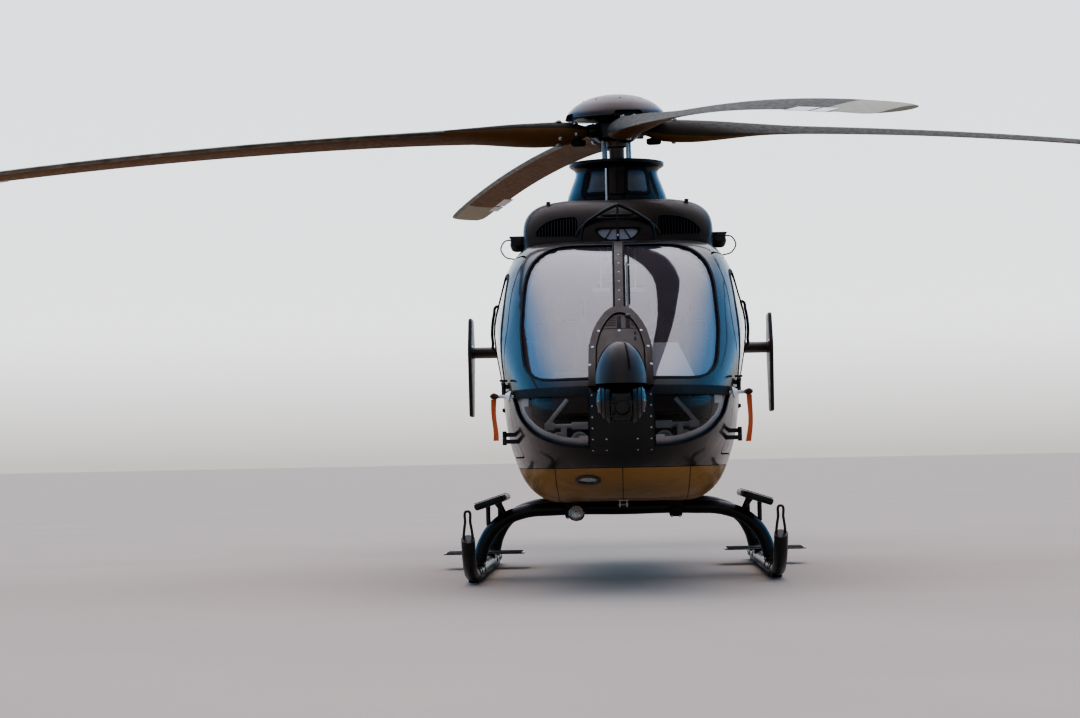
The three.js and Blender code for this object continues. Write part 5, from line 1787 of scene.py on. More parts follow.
@dataclass
class WireCutter:
    """The cutter's frame and blade ahead of the brow."""

    def build(self) -> None:
        """Builds the frame, the blade and two stays."""
        legs = []
        for side in (1, -1):
            knots = [(0.228, 1.84, 2.07), (0.226, 1.832, 2.15), (0.205, 1.82, 2.205), (0.15, 1.8, 2.246),
                     (0.075, 1.785, 2.29), (0, 1.772, 2.322)]
            legs.append(curve_tube("leg", [(side * x, aft(y), z) for x, y, z in knots], 0.0105, 3))
        fitted(joined("wire_cutter_frame", legs), BLACK, "wire_cutter")
        rows = [(1.752, 2.1), (1.757, 2.322), (1.786, 2.322), (1.856, 2.1)]
        blade = bevelled(prism("wire_cutter_blade", rounded(side_outline(rows)), View.SIDE, -0.0068, 0.0068),
                         0.005, 2)
        fitted(smooth(blade), BLACK)
        stays = []
        for half, y, z in ((0.105, 1.796, 2.262), (0.135, 1.802, 2.242)):
            stays.append(curve_tube("stay", [(-half, aft(y), z), (0, aft(y), z), (half, aft(y), z)], 0.005,
                                    2))
        fitted(joined("wire_cutter_stays", stays), BLACK)


ARCH = [
    (-0.18, 1.152), (0.18, 1.152), (0.176, 1.38), (0.146, 1.5, 0.06), (0.06, 1.62, 0.06),
    (-0.06, 1.62, 0.06), (-0.146, 1.5, 0.06), (-0.176, 1.38),
]
"""Outline of the fairing on the nose, seen from the front."""


@dataclass
class NoseArch:
    """The fairing on the nose, the strip and wiper over it, and the camera's housing."""

    skins: Skins
    station: float = -0.156
    housing_low: float = 1.156
    housing: tuple[float, float, float] = (0.14, 0.165, 0.23)
    room: tuple[float, float] = (0.095, 1.182)

    def build(self) -> None:
        """Builds the fairing and the housing."""
        self.details(*self.plates())
        self.strip()
        self.wiper()
        self.dome()

    def plates(self) -> tuple[Piece, Piece]:
        """A raised border round a plate, with a dark groove between: the border and the plate."""
        front = self.skins.front_ring("nose_arch_border", Layer.ARCH, ARCH, 0.0, -0.04, 0.9)
        fitted(smooth(bevelled(front, 0.008, 3, 50), 40), SATIN, "nose_arch")
        plate = self.skins.front("nose_arch_plate", Layer.ARCH_PLATE, ARCH, -0.046, 0.9)
        fitted(smooth(bevelled(plate, 0.004, 2, 50), 40), SATIN)
        bed = self.skins.front("nose_arch_groove", Layer.PAD, ARCH, -0.035, 0.9)
        fitted(bed, RUBBER)
        bpy.context.view_layer.update()
        return front, plate

    @staticmethod
    def on_face(piece: Piece, x: float, z: float) -> tuple[Vector, Vector]:
        """A place on a piece's face and the way that it looks, moved in where the piece ends before x."""
        for share in spread(1, 0.7, 13):
            hit, place, facing, _ = piece.ray_cast(Vector((x * share, aft(-3), z)), Vector((0, 1, 0)))
            if hit and place.y < aft(1.2):
                return place, facing
        return Vector((x, aft(0.5), z)), Vector((0, -1, 0))

    def on_plate(self, x: float, z: float, out: float = 0.03) -> Vector:
        """A point on the fairing's face."""
        return Vector((x, self.skins.hull.nose_y(x, z) - out, z))

    def facing(self, x: float, z: float) -> Vector:
        """The direction that the fairing's face looks in."""
        here, right, up = self.on_plate(x, z), self.on_plate(x + 0.01, z), self.on_plate(x, z + 0.01)
        return (right - here).cross(up - here).normalized()

    def details(self, border: Piece, plate: Piece) -> None:
        """Screws, slots, the seam over them and the fine ribs above it."""
        heads = [(-0.119, 1.469), (0.119, 1.469), (-0.155, 1.374), (0.155, 1.374), (-0.17, 1.27),
                 (0.17, 1.27)]
        spots = [self.on_face(border, x, z) for x, z in heads] + [self.on_face(plate, -0.004, 1.469)]
        fitted(rivets("nose_arch_screws", spots, 0.0085), WHITE)
        slots = []
        for x, low, high, half in ((-0.005, 1.487, 1.556, 0.012), (0.045, 1.487, 1.552, 0.012),
                                   (0.085, 1.444, 1.462, 0.005), (0.085, 1.41, 1.43, 0.006)):
            start, end = self.on_face(plate, x, low)[0], self.on_face(plate, x, high)[0]
            piece = block("slot", (-half, -0.0016, 0), (half, 0.004, (end - start).length), 0.001)
            lean = leaned(end - start)
            slots.append(moved(piece, Matrix.Translation(start) @ lean))
        fitted(smooth(joined("nose_arch_slots", slots)), RUBBER)
        seam = [self.on_face(plate, x, 1.482)[0] for x in spread(-0.1, 0.1, 9)]
        fitted(curve_tube("nose_arch_seam", seam, 0.0016, 1), RUBBER)
        ribs = []
        for z in spread(1.5, 1.55, 6):
            half = 0.085 - (z - 1.5) * 0.9
            for low, high in ((-half, -0.022), (0.062, max(0.066, half))):
                line = [self.on_face(plate, x, z)[0] for x in spread(low, high, 4)]
                ribs.append(curve_tube("rib", line, 0.002, 1))
        fitted(joined("nose_arch_ribs", ribs), SATIN)

    def strip(self) -> None:
        """The raised strip over the windscreen's centre post."""
        cutter = prism("cutter", [(-0.026, 1.56), (0.026, 1.56), (0.026, 2.06), (-0.026, 2.06)], View.FRONT,
                       aft(0), aft(1.5))
        strip = self.skins.piece("centre_strip", Layer.STRIP, cutter)
        fitted(smooth(bevelled(strip, 0.006, 2, 50), 40), SATIN)
        bpy.context.view_layer.update()
        spots = []
        for z in spread(1.66, 2.02, 7):
            spots.append(self.on_face(strip, 0, z))
        fitted(rivets("centre_strip_screws", spots, 0.006), METAL)
        edges = []
        for x in (-0.031, 0.031):
            edges.append(curve_tube("edge", [self.on_plate(x, z, 0.003) for z in spread(1.6, 2.05, 9)],
                                    0.005, 2))
        fitted(joined("centre_strip_seals", edges), RUBBER)

    def wiper(self) -> None:
        """The wiper, parked upright beside the strip: arm, blade and its link."""
        arm = [self.on_plate(0.048, z, 0.042) for z in spread(1.56, 1.9, 6)]
        fitted(curve_tube("wiper_arm", arm, 0.006, 3), BLACK)
        blade = [self.on_plate(0.058, z, 0.012) for z in spread(1.66, 2.02, 8)]
        fitted(curve_tube("wiper_blade", blade, 0.0055, 2), RUBBER)
        link = [self.on_plate(0.048, 1.88, 0.042), self.on_plate(0.054, 1.885, 0.026),
                self.on_plate(0.058, 1.89, 0.014)]
        fitted(curve_tube("wiper_link", link, 0.006, 3), METAL)
        hub = smooth_turned("wiper_hub",
                            [(0, -0.012), (0.02, -0.012), (0.02, 0.012), (0.01, 0.02), (0, 0.02)], 20, 2)
        turn = leaned(self.facing(0.048, 1.55))
        fitted(smooth(moved(hub, Matrix.Translation(self.on_plate(0.048, 1.55, 0.036)) @ turn)), BLACK)

    def dome(self) -> None:
        """The rounded housing over the camera, faired back into the arch."""
        clear_selection()
        bpy.ops.mesh.primitive_uv_sphere_add(segments=56, ring_count=36, radius=1)
        shape = started("camera_housing")
        shape.scale = self.housing
        shape.location = (0, aft(self.station), self.housing_low)
        bpy.ops.object.transform_apply(location=True, rotation=True, scale=True)
        neck = rounded([(-0.14, 1.1), (0.14, 1.1), (0.135, 1.24, 0.06), (0.1, 1.34, 0.06),
                        (0.03, 1.384, 0.03), (-0.03, 1.384, 0.03), (-0.1, 1.34, 0.06),
                        (-0.135, 1.24, 0.06)], 0, 6)
        carve(shape, prism("neck", neck, View.FRONT, aft(self.station), aft(0.42)), Cut.BOTH)
        carve(shape, block("cutter", (-0.3, aft(-0.4), self.housing_low), (0.3, aft(0.7), 1.7)), Cut.COMMON)
        carve(shape, self.skins.hull.solid("hull", -0.029))
        room = cylinder("room", self.room[0], 1.1, self.room[1], 40)
        carve(shape, moved(room, Matrix.Translation((0, aft(self.station), 0))))
        fitted(smooth(bevelled(shape, 0.003, 2, 60), 45), HOUSING)
        line = []
        for angle, z in ((32, 1.372), (24, 1.35), (22, 1.31), (22, 1.27), (21, 1.23)):
            level = math.sqrt(max(0.0, 1 - ((z - self.housing_low) / self.housing[2]) ** 2))
            turn = math.radians(angle)
            x, y = self.housing[0] * level * math.sin(turn), self.housing[1] * level * math.cos(turn)
            line.append((x * 1.02, aft(self.station) - y * 1.02, z))
        fitted(curve_tube("housing_lead", line, 0.0045, 2), RUBBER)
        lip = turned("housing_lip",
                     [(0.128, 1.1566), (0.139, 1.1566), (0.1415, 1.166), (0.139, 1.175), (0.13, 1.17)],
                     56, ring=True)
        fitted(smooth(moved(lip, Matrix.Translation((0, aft(self.station), 0))), 60), TRIM)


@dataclass
class Turret:
    """The camera ball: a body that pans, and a drum of lenses that tilts in it."""

    station: float = -0.156
    ball: float = 1.062
    radius: float = 0.14
    top: float = 1.1557
    drum: float = 0.108
    half: float = 0.057
    clear: float = 0.006
    pin: float = 0.02

    def build(self) -> None:
        """Builds both parts."""
        self.body()
        self.lenses()

    def here(self) -> Matrix:
        """The ball's middle."""
        return Matrix.Translation((0, aft(self.station), self.ball))

    def along_x(self) -> Matrix:
        """Turns a spun profile's axis from Z to X, at the ball's middle."""
        return self.here() @ spun(90, "Y")

    def body(self) -> None:
        """The ball with the drum's slot, side rings and screws."""
        clear_selection()
        bpy.ops.mesh.primitive_uv_sphere_add(segments=64, ring_count=40, radius=self.radius)
        ball = moved(started("turret_ball"), self.here())
        low = aft(self.station) - 0.3
        carve(ball, block("cutter", (-0.3, low, 0.8), (0.3, low + 0.7, self.top)), Cut.COMMON)
        slot = self.half + self.clear
        reach = self.drum + self.clear
        carve(ball, moved(cylinder("slot", reach, -slot, slot, 56), self.along_x()))
        carve(ball, block("cutter", (-slot, low, 0.8), (slot, aft(self.station) + 0.104, self.top + 0.05)))
        fitted(smooth(bevelled(ball, 0.002, 2, 45), 45), BALL, "turret_body", body=Body.TURRET)
        rings = []
        for side in (1, -1):
            for x, height in ((0.085, 0.006), (0.108, 0.004)):
                radius = math.sqrt(self.radius**2 - x**2)
                rows = [(radius - 0.003, -height), (radius + 0.0015, -height), (radius + 0.0015, height),
                        (radius - 0.003, height)]
                ring = moved(turned("ring", rows, 56, ring=True),
                             self.along_x() @ Matrix.Translation((0, 0, side * x)))
                high = block("cutter", (-0.3, low, 0.8), (0.3, low + 0.7, self.top - 0.001))
                rings.append(carve(ring, high, Cut.COMMON))
        fitted(smooth(joined("turret_rings", rings), 45), TRIM, body=Body.TURRET)
        heads = []
        for side in (1, -1):
            for angle in range(0, 360, 60):
                turn = math.radians(angle)
                spot = Vector((0.118 * side, 0.062 * math.cos(turn), 0.062 * math.sin(turn)))
                spot = spot.normalized() * self.radius
                heads.append((self.here() @ spot, spot.normalized()))
        fitted(rivets("turret_screws", heads, 0.0055), METAL, body=Body.TURRET)

    def visor(self) -> Piece:
        """The drum's rounded front, which fills the ball between its cheeks."""
        half, thin = self.half, self.radius - 0.0008
        rings = []
        for angle in spread(-8, 42, 26):
            turn = math.radians(angle)
            ring = []
            for x in spread(-half, half, 15):
                reach = math.sqrt(thin**2 - x * x)
                ring.append(Vector((x, -reach * math.cos(turn), -reach * math.sin(turn))))
            ring += [Vector((x, -0.09 * math.cos(turn), -0.09 * math.sin(turn))) for x in (half, -half)]
            rings.append(ring)
        return moved(loft("visor", rings), self.here())

    def lenses(self) -> None:
        """The drum with its rounded front, one large window and two small ones."""
        rows = [(0, -self.half), (self.drum - 0.006, -self.half), (self.drum, -self.half + 0.006),
                (self.drum, self.half - 0.006), (self.drum - 0.006, self.half), (0, self.half)]
        drum = moved(turned("turret_drum_shell", rows, 64), self.along_x())
        carve(drum, self.visor(), Cut.BOTH)
        axle = self.half + self.clear - GAP
        pin = moved(cylinder("pin", self.pin, -axle, axle, 24), self.along_x())
        carve(drum, pin, Cut.BOTH)
        fitted(smooth(drum, 35), BALL, "turret_drum", body=Body.LENS)
        frames, glasses = [], []
        for x, lean, radius in ((0.006, 17, 0.04), (-0.044, 4, 0.008), (-0.044, 30, 0.008)):
            turn = self.here() @ spun(90 + lean, "X")
            level = math.sqrt(self.radius**2 - x * x - (radius * 0.9) ** 2)
            shift = Matrix.Translation((x, 0, level - 0.004))
            rows = [(radius - 0.002, -0.004), (radius + 0.004, -0.004), (radius + 0.004, 0.008),
                    (radius, 0.0095), (radius - 0.002, 0.006)]
            frames.append(moved(turned("frame", rows, 36, ring=True), turn @ shift))
            rows = [(0, 0.0045), (0.6 * radius, 0.0036), (radius - 0.0015, 0.001), (radius - 0.0015, -0.003),
                    (0, -0.003)]
            glasses.append(moved(turned("glass", rows, 36), turn @ shift))
        fitted(smooth(joined("turret_lens_frames", frames), 40), TRIM, body=Body.LENS)
        fitted(smooth(joined("turret_lens_glass", glasses), 40), DARK_LENS, body=Body.LENS)


@dataclass
class Probes:
    """The two pitot probes under their covers, each with a streamer, and the small vanes above."""

    z: float = 1.118
    root: tuple[float, float] = (0.6, 0.67)
    elbow: tuple[float, float] = (0.697, 0.64)
    tip: tuple[float, float] = (0.732, 0.56)
    radius: float = 0.011

    def build(self) -> None:
        """Builds both sides."""
        points = [(self.root[0], aft(self.root[1]), self.z), (0.66, aft(0.655), self.z),
                  (self.elbow[0], aft(self.elbow[1]), self.z), (0.718, aft(0.6), self.z),
                  (self.tip[0] - 0.004, aft(self.tip[1] + 0.01), self.z)]
        both(curve_tube("pitot_arm_left", points, self.radius - 0.001, 4), WHITE)
        foot = smooth_turned("pitot_foot_left",
                             [(0, -0.012), (0.034, -0.01), (0.026, 0.004), (0.013, 0.02), (0, 0.02)],
                             24, 3)
        lean = placed((0.648, aft(0.66), self.z), "Y", 78)
        both(smooth(moved(foot, lean)), WHITE)
        for side in Side:
            self.cover(side)
        vane = block("side_vane_left", (0.655, aft(0.7), 1.205), (0.7, aft(0.76), 1.217), 0.005)
        both(smooth(vane), BLACK)

    def cover(self, side: Side) -> None:
        """A soft cover pulled over the probe, with its streamer hanging from it."""
        sign = side.value
        start = Vector((0.715, aft(0.605), self.z))
        end = Vector((self.tip[0] + 0.004, aft(self.tip[1] - 0.012), self.z))
        ahead = (end - start).normalized()
        across = ahead.cross(Vector((0, 0, 1))).normalized()
        rings = []
        for along, radius in ((-0.004, 0.013), (0.006, 0.016), (0.018, 0.0175), (0.034, 0.0185),
                              (0.048, 0.017), (0.06, 0.0135), (0.066, 0.006)):
            ring = []
            for i in range(20):
                turn = 2 * math.pi * i / 20
                size = radius * (1 + 0.05 * math.sin(3 * turn + along * 90))
                way = across * math.cos(turn) + Vector((0, 0, 1)) * math.sin(turn)
                spot = start + ahead * along + way * size
                ring.append(Vector((sign * spot.x, spot.y, spot.z)))
            rings.append(ring)
        cover = loft(f"pitot_cover_{side.word}", rings)
        fitted(smooth(cover, 60), COVER)
        self.streamer(side)

    def streamer(self, side: Side) -> None:
        """A narrow strip of cloth, hung from the cover and waved a little by its own curl."""
        sign = side.value
        width, length, rows = 0.032, 0.27 if side is Side.LEFT else 0.24, 22
        front = []
        for i in range(rows + 1):
            t = i / rows
            sway = 0.012 * math.sin(4.2 * t + (0 if side is Side.LEFT else 1.2)) * t
            turn = 0.35 * math.sin(3.0 * t) + 0.25
            middle = Vector((0.728 + sway, aft(0.575) + 0.008 * math.sin(5 * t) * t,
                             self.z - 0.017 - t * length * 0.985))
            half = Vector((math.cos(turn), math.sin(turn), 0)) * width / 2
            curl = Vector((-math.sin(turn), math.cos(turn), 0)) * 0.002
            front.append([middle - half, middle - half * 0.33 + curl, middle + half * 0.33 + curl,
                          middle + half])
        rings = [[Vector((sign * p.x, p.y, p.z)) for p in ring] for ring in front]
        strip = loft(f"streamer_{side.word}", rings, closed=False)
        modify(strip, "SOLIDIFY", thickness=0.0009, offset=0)
        outwards(strip)
        fitted(smooth(strip, 60), STREAMER)


@dataclass
class LandingGear:
    """Skids with shoes and toe loops, cross tubes, boarding steps, clamps and ground plates."""

    x: float = 0.935
    radius: float = 0.042
    z: float = 0.054
    start: float = 1.29
    end: float = 4.52
    cross: float = 0.043
    cross_z: float = 0.437
    stations: tuple[float, float] = (2.2, 4.1)
    arc: tuple[tuple[float, float], ...] = (
        (0.0, 0.0), (0.43, 0.0), (0.66, -0.022), (0.81, -0.1), (0.89, -0.215), (0.925, -0.33),
        (0.935, -0.385),
    )

    def build(self) -> None:
        """Builds all of the gear."""
        self.skids()
        self.tubes()
        self.steps()
        self.plates()

    def skids(self) -> None:
        """Each skid: a tube turned up at the toe, wear shoes, end caps and the loop on the toe."""
        path = [(self.x, aft(s), z)
                for s, z in ((self.start, 0.285), (1.37, 0.17), (1.52, 0.085), (1.72, self.z), (2.4, self.z),
                             (3.4, self.z), (self.end, self.z))]
        tube = curve_tube("skid_tube_left", path, self.radius, 7)
        both(tube, BLACK, "skid")
        parts = [block("shoe", (self.x - 0.03, aft(a), 0.0), (self.x + 0.03, aft(b), 0.04), 0.006)
                 for a, b in ((1.76, 2.56), (2.575, 3.52), (3.535, 4.46))]
        both(smooth(joined("skid_shoes_left", parts)), SHOE_METAL)
        spots = [(Vector((self.x + s * 0.0295, aft(y), 0.026)), Vector((s, 0, 0)))
                 for y in spread(1.82, 4.4, 16) for s in (1, -1)]
        both(rivets("skid_shoe_bolts_left", spots, 0.009), METAL)
        cap = [(0, 0), (0.044, 0), (0.0445, 0.006), (0.04, 0.014), (0.024, 0.02), (0, 0.022)]
        rear = moved(smooth(turned("skid_cap_left", cap, 32)),
                     placed((self.x, aft(self.end) - 0.004, self.z), "X", -90))
        both(rear, RUBBER)
        loop = [(-0.032, 0.03, 0.235), (-0.028, 0.022, 0.29), (-0.016, 0.0, 0.38), (0, -0.014, 0.452),
                (0.016, 0.0, 0.38), (0.028, 0.022, 0.29), (0.032, 0.03, 0.235)]
        both(curve_tube("skid_loop_left", [(self.x + x, aft(self.start + y), z) for x, y, z in loop], 0.0078,
                        3), BLACK)
        collars = []
        for station in (1.86, 2.02, 2.38, 3.92, 4.28):
            rows = [(0.0415, -0.025), (0.0455, -0.025), (0.047, -0.02), (0.047, 0.02), (0.0455, 0.025),
                    (0.0415, 0.025)]
            ring = moved(turned("collar", rows, 36, ring=True),
                         placed((self.x, aft(station), self.z), "X", 90))
            carve(ring, block("cutter", (self.x - 0.1, aft(1), 0.042), (self.x + 0.1, aft(5), 0.2)),
                  Cut.COMMON)
            collars.append(ring)
        both(smooth(joined("skid_collars_left", collars)), BLACK)

    def runner(self, grow: float, sign: int = 1) -> Piece:
        """The straight part of a skid's tube, a little thicker, to cut its seats with."""
        path = [(sign * self.x, aft(s), self.z) for s in (1.72, 2.4, 3.4, self.end)]
        return curve_tube("skid", path, self.radius + grow, 7)

    def tubes(self) -> None:
        """Two arched cross tubes, their saddles on the skids and their clamps under the belly."""
        for name, station in zip(("front", "rear"), self.stations):
            half = [(x, aft(station), self.cross_z + dz) for x, dz in self.arc]
            whole = [(-x, y, z) for x, y, z in reversed(half[1:])] + half
            whole[0], whole[-1] = (-self.x, aft(station), 0.09), (self.x, aft(station), 0.09)
            tube = curve_tube(f"{name}_cross_tube_skin", whole, self.cross, 7)
            for sign in (1, -1):
                carve(tube, self.runner(0.0005, sign))
            fitted(smooth(tube, 50), BLACK, f"{name}_cross_tube")
            parts = []
            for z, size in ((0.1, 0.054), (0.15, 0.05)):
                rows = [(0.0425, -0.014), (size, -0.014), (size, 0.014), (0.0425, 0.014)]
                parts.append(moved(turned("collar", rows, 36, ring=True),
                                   Matrix.Translation((self.x, aft(station), z))))
            flange = block("flange", (self.x - 0.05, aft(station) - 0.07, 0.084),
                           (self.x + 0.05, aft(station) + 0.07, 0.11), 0.01)
            core = cylinder("core", 0.043, 0, 0.3, 36)
            carve(flange, moved(core, Matrix.Translation((self.x, aft(station), 0))))
            carve(flange, self.runner(0.0003))
            both(smooth(joined(f"{name}_saddle_left", [*parts, flange])), BLACK)
            self.clamp(name, station)

    def clamp(self, name: str, station: float) -> None:
        """A two-part clamp with its bolts, between a cross tube and the belly."""
        low = self.cross_z
        block_up = block("clamp", (0.285, aft(station) - 0.06, low - 0.01),
                         (0.375, aft(station) + 0.06, 0.56), 0.006)
        carve(block_up, Hull().solid("hull", -GAP))
        cap = block("cap", (0.29, aft(station) - 0.062, low - 0.06),
                    (0.37, aft(station) + 0.062, low + 0.012), 0.012)
        core = cylinder("core", self.cross + GAP, 0.2, 0.5, 32)
        turn = placed((0, aft(station), low), "Y", 90)
        carve(cap, moved(copied(core, "core"), turn))
        carve(block_up, moved(core, turn))
        both(smooth(joined(f"{name}_clamp_left", [block_up, cap])), TRIM)
        spots = []
        for x in (0.305, 0.355):
            for y in (-0.053, 0.053):
                spots.append((Vector((x, aft(station) + y, low - 0.06)), Vector((0, 0, -1))))
        both(rivets(f"{name}_clamp_bolts_left", spots, 0.009), METAL)

    def steps(self) -> None:
        """Boarding steps: a tilted board with a ribbed tread, carried by two struts."""
        turn = placed((0.828, 0, 0.492), "Y", 18)
        board = block("board", (-0.095, aft(1.69), -0.022), (0.095, aft(2.64), 0.022), 0.016)
        both(smooth(moved(joined("step_board_left", [board]), turn)), BLACK)
        treads = [block("tread", (-0.078 + i * 0.022, aft(1.72), 0.0218),
                        (-0.066 + i * 0.022, aft(2.61), 0.0255), 0.001)
                  for i in range(8)]
        both(smooth(moved(joined("step_tread_left", treads), turn)), RUBBER)
        struts = [
            curve_tube("strut", [(0.785, aft(2.2), 0.4), (0.785, aft(2.2), 0.495)], 0.014, 4, False),
            curve_tube("strut", [(0.86, aft(2.2), 0.34), (0.86, aft(2.2), 0.47)], 0.014, 4, False),
            curve_tube("brace", [(0.74, aft(2.2), 0.39), (0.8, aft(1.95), 0.485)], 0.01, 3, False),
            curve_tube("brace", [(0.74, aft(2.2), 0.39), (0.8, aft(2.45), 0.485)], 0.01, 3, False),
        ]
        both(joined("step_struts_left", struts), BLACK)

    def plates(self) -> None:
        """Flat plates across the rear of each skid, for soft ground, with stiffening ribs."""
        low, high = (0.69, aft(3.56), 0.104), (1.25, aft(3.9), 0.112)
        points = rounded([(low[0], low[1], 0.05), (high[0], low[1], 0.05), (high[0], high[1], 0.05),
                          (low[0], high[1], 0.05)])
        plate = bevelled(prism("ground_plate_skin_left", points, View.PLAN, low[2], high[2]), 0.002, 2)
        seat = block("seat", (self.x - 0.04, aft(3.6), 0.07), (self.x + 0.04, aft(3.86), 0.106), 0.004)
        carve(seat, self.runner(GAP))
        both(smooth(plate), BLACK, "ground_plate")
        ribs = [block("rib", (low[0] + 0.02, y, 0.1115), (high[0] - 0.02, y + 0.012, 0.12), 0.003)
                for y in (aft(3.6), aft(3.72), aft(3.85))]
        both(smooth(joined("ground_plate_ribs_left", [seat, *ribs])), BLACK)


@dataclass
class BellyFittings:
    """The landing lamp, the lamp in the belly panel and the bracket."""

    skins: Skins

    def build(self) -> None:
        """Builds the fittings."""
        self.landing_lamp()
        self.belly_lamp()
        self.bracket()

    def landing_lamp(self) -> None:
        """A lamp pod under the belly with a bright glass looking ahead and down."""
        rows = [(0, -0.046), (0.03, -0.038), (0.046, -0.02), (0.052, 0.004), (0.05, 0.02), (0.03, 0.042),
                (0.018, 0.06), (0.018, 0.1), (0, 0.1)]
        pod = moved(smooth_turned("landing_lamp_pod", rows, 40, 3),
                    Matrix.Translation((-0.29, aft(1.7), 0.415)))
        fitted(smooth(pod), BLACK)
        turn = placed((-0.29, aft(1.7), 0.415), "X", 78)
        glass = turned("glass", [(0, 0.054), (0.02, 0.0525), (0.036, 0.046), (0.038, 0.036), (0, 0.036)], 36)
        fitted(smooth(moved(joined("landing_lamp_glass", [glass]), turn)), LAMP_LENS)
        rim = turned("landing_lamp_rim",
                     [(0.036, 0.03), (0.044, 0.03), (0.044, 0.047), (0.04, 0.051), (0.036, 0.047)],
                     36, ring=True)
        fitted(smooth(moved(rim, turn)), METAL)

    def belly_lamp(self) -> None:
        """An oval lamp let into the bronze panel."""
        def oval(half: float, tall: float) -> list[tuple[float, float]]:
            """An oval round the lamp's middle."""
            steps = [2 * math.pi * i / 32 for i in range(32)]
            return [(-0.199 + half * math.cos(a), 0.628 + tall * math.sin(a)) for a in steps]

        ring = carve(prism("outer", oval(0.074, 0.029), View.FRONT, AHEAD, aft(0.8)),
                     prism("inner", oval(0.052, 0.016), View.FRONT, aft(-0.4), aft(0.9)))
        frame = self.skins.piece("belly_lamp_frame", Layer.PLATE, ring)
        fitted(smooth(frame), BLACK)
        glass = self.skins.piece("belly_lamp_glass", Layer.LINE,
                                 prism("glass", oval(0.051, 0.015), View.FRONT,
                                       AHEAD, aft(0.8)))
        fitted(smooth(glass), LAMP_LENS)

    def bracket(self) -> None:
        """The bracket under the middle of the belly, with its pin."""
        parts = [
            block("plate", (-0.034, aft(1.56), 0.488), (0.034, aft(1.69), 0.52), 0.006),
            block("cheek", (-0.026, aft(1.58), 0.452), (-0.016, aft(1.67), 0.495), 0.004),
            block("cheek", (0.016, aft(1.58), 0.452), (0.026, aft(1.67), 0.495), 0.004),
            curve_tube("pin", [(-0.032, aft(1.625), 0.468), (0.032, aft(1.625), 0.468)], 0.008, 3, False),
        ]
        carve(parts[0], self.skins.hull.solid("hull", -GAP))
        fitted(smooth(joined("hook_bracket", parts)), METAL)


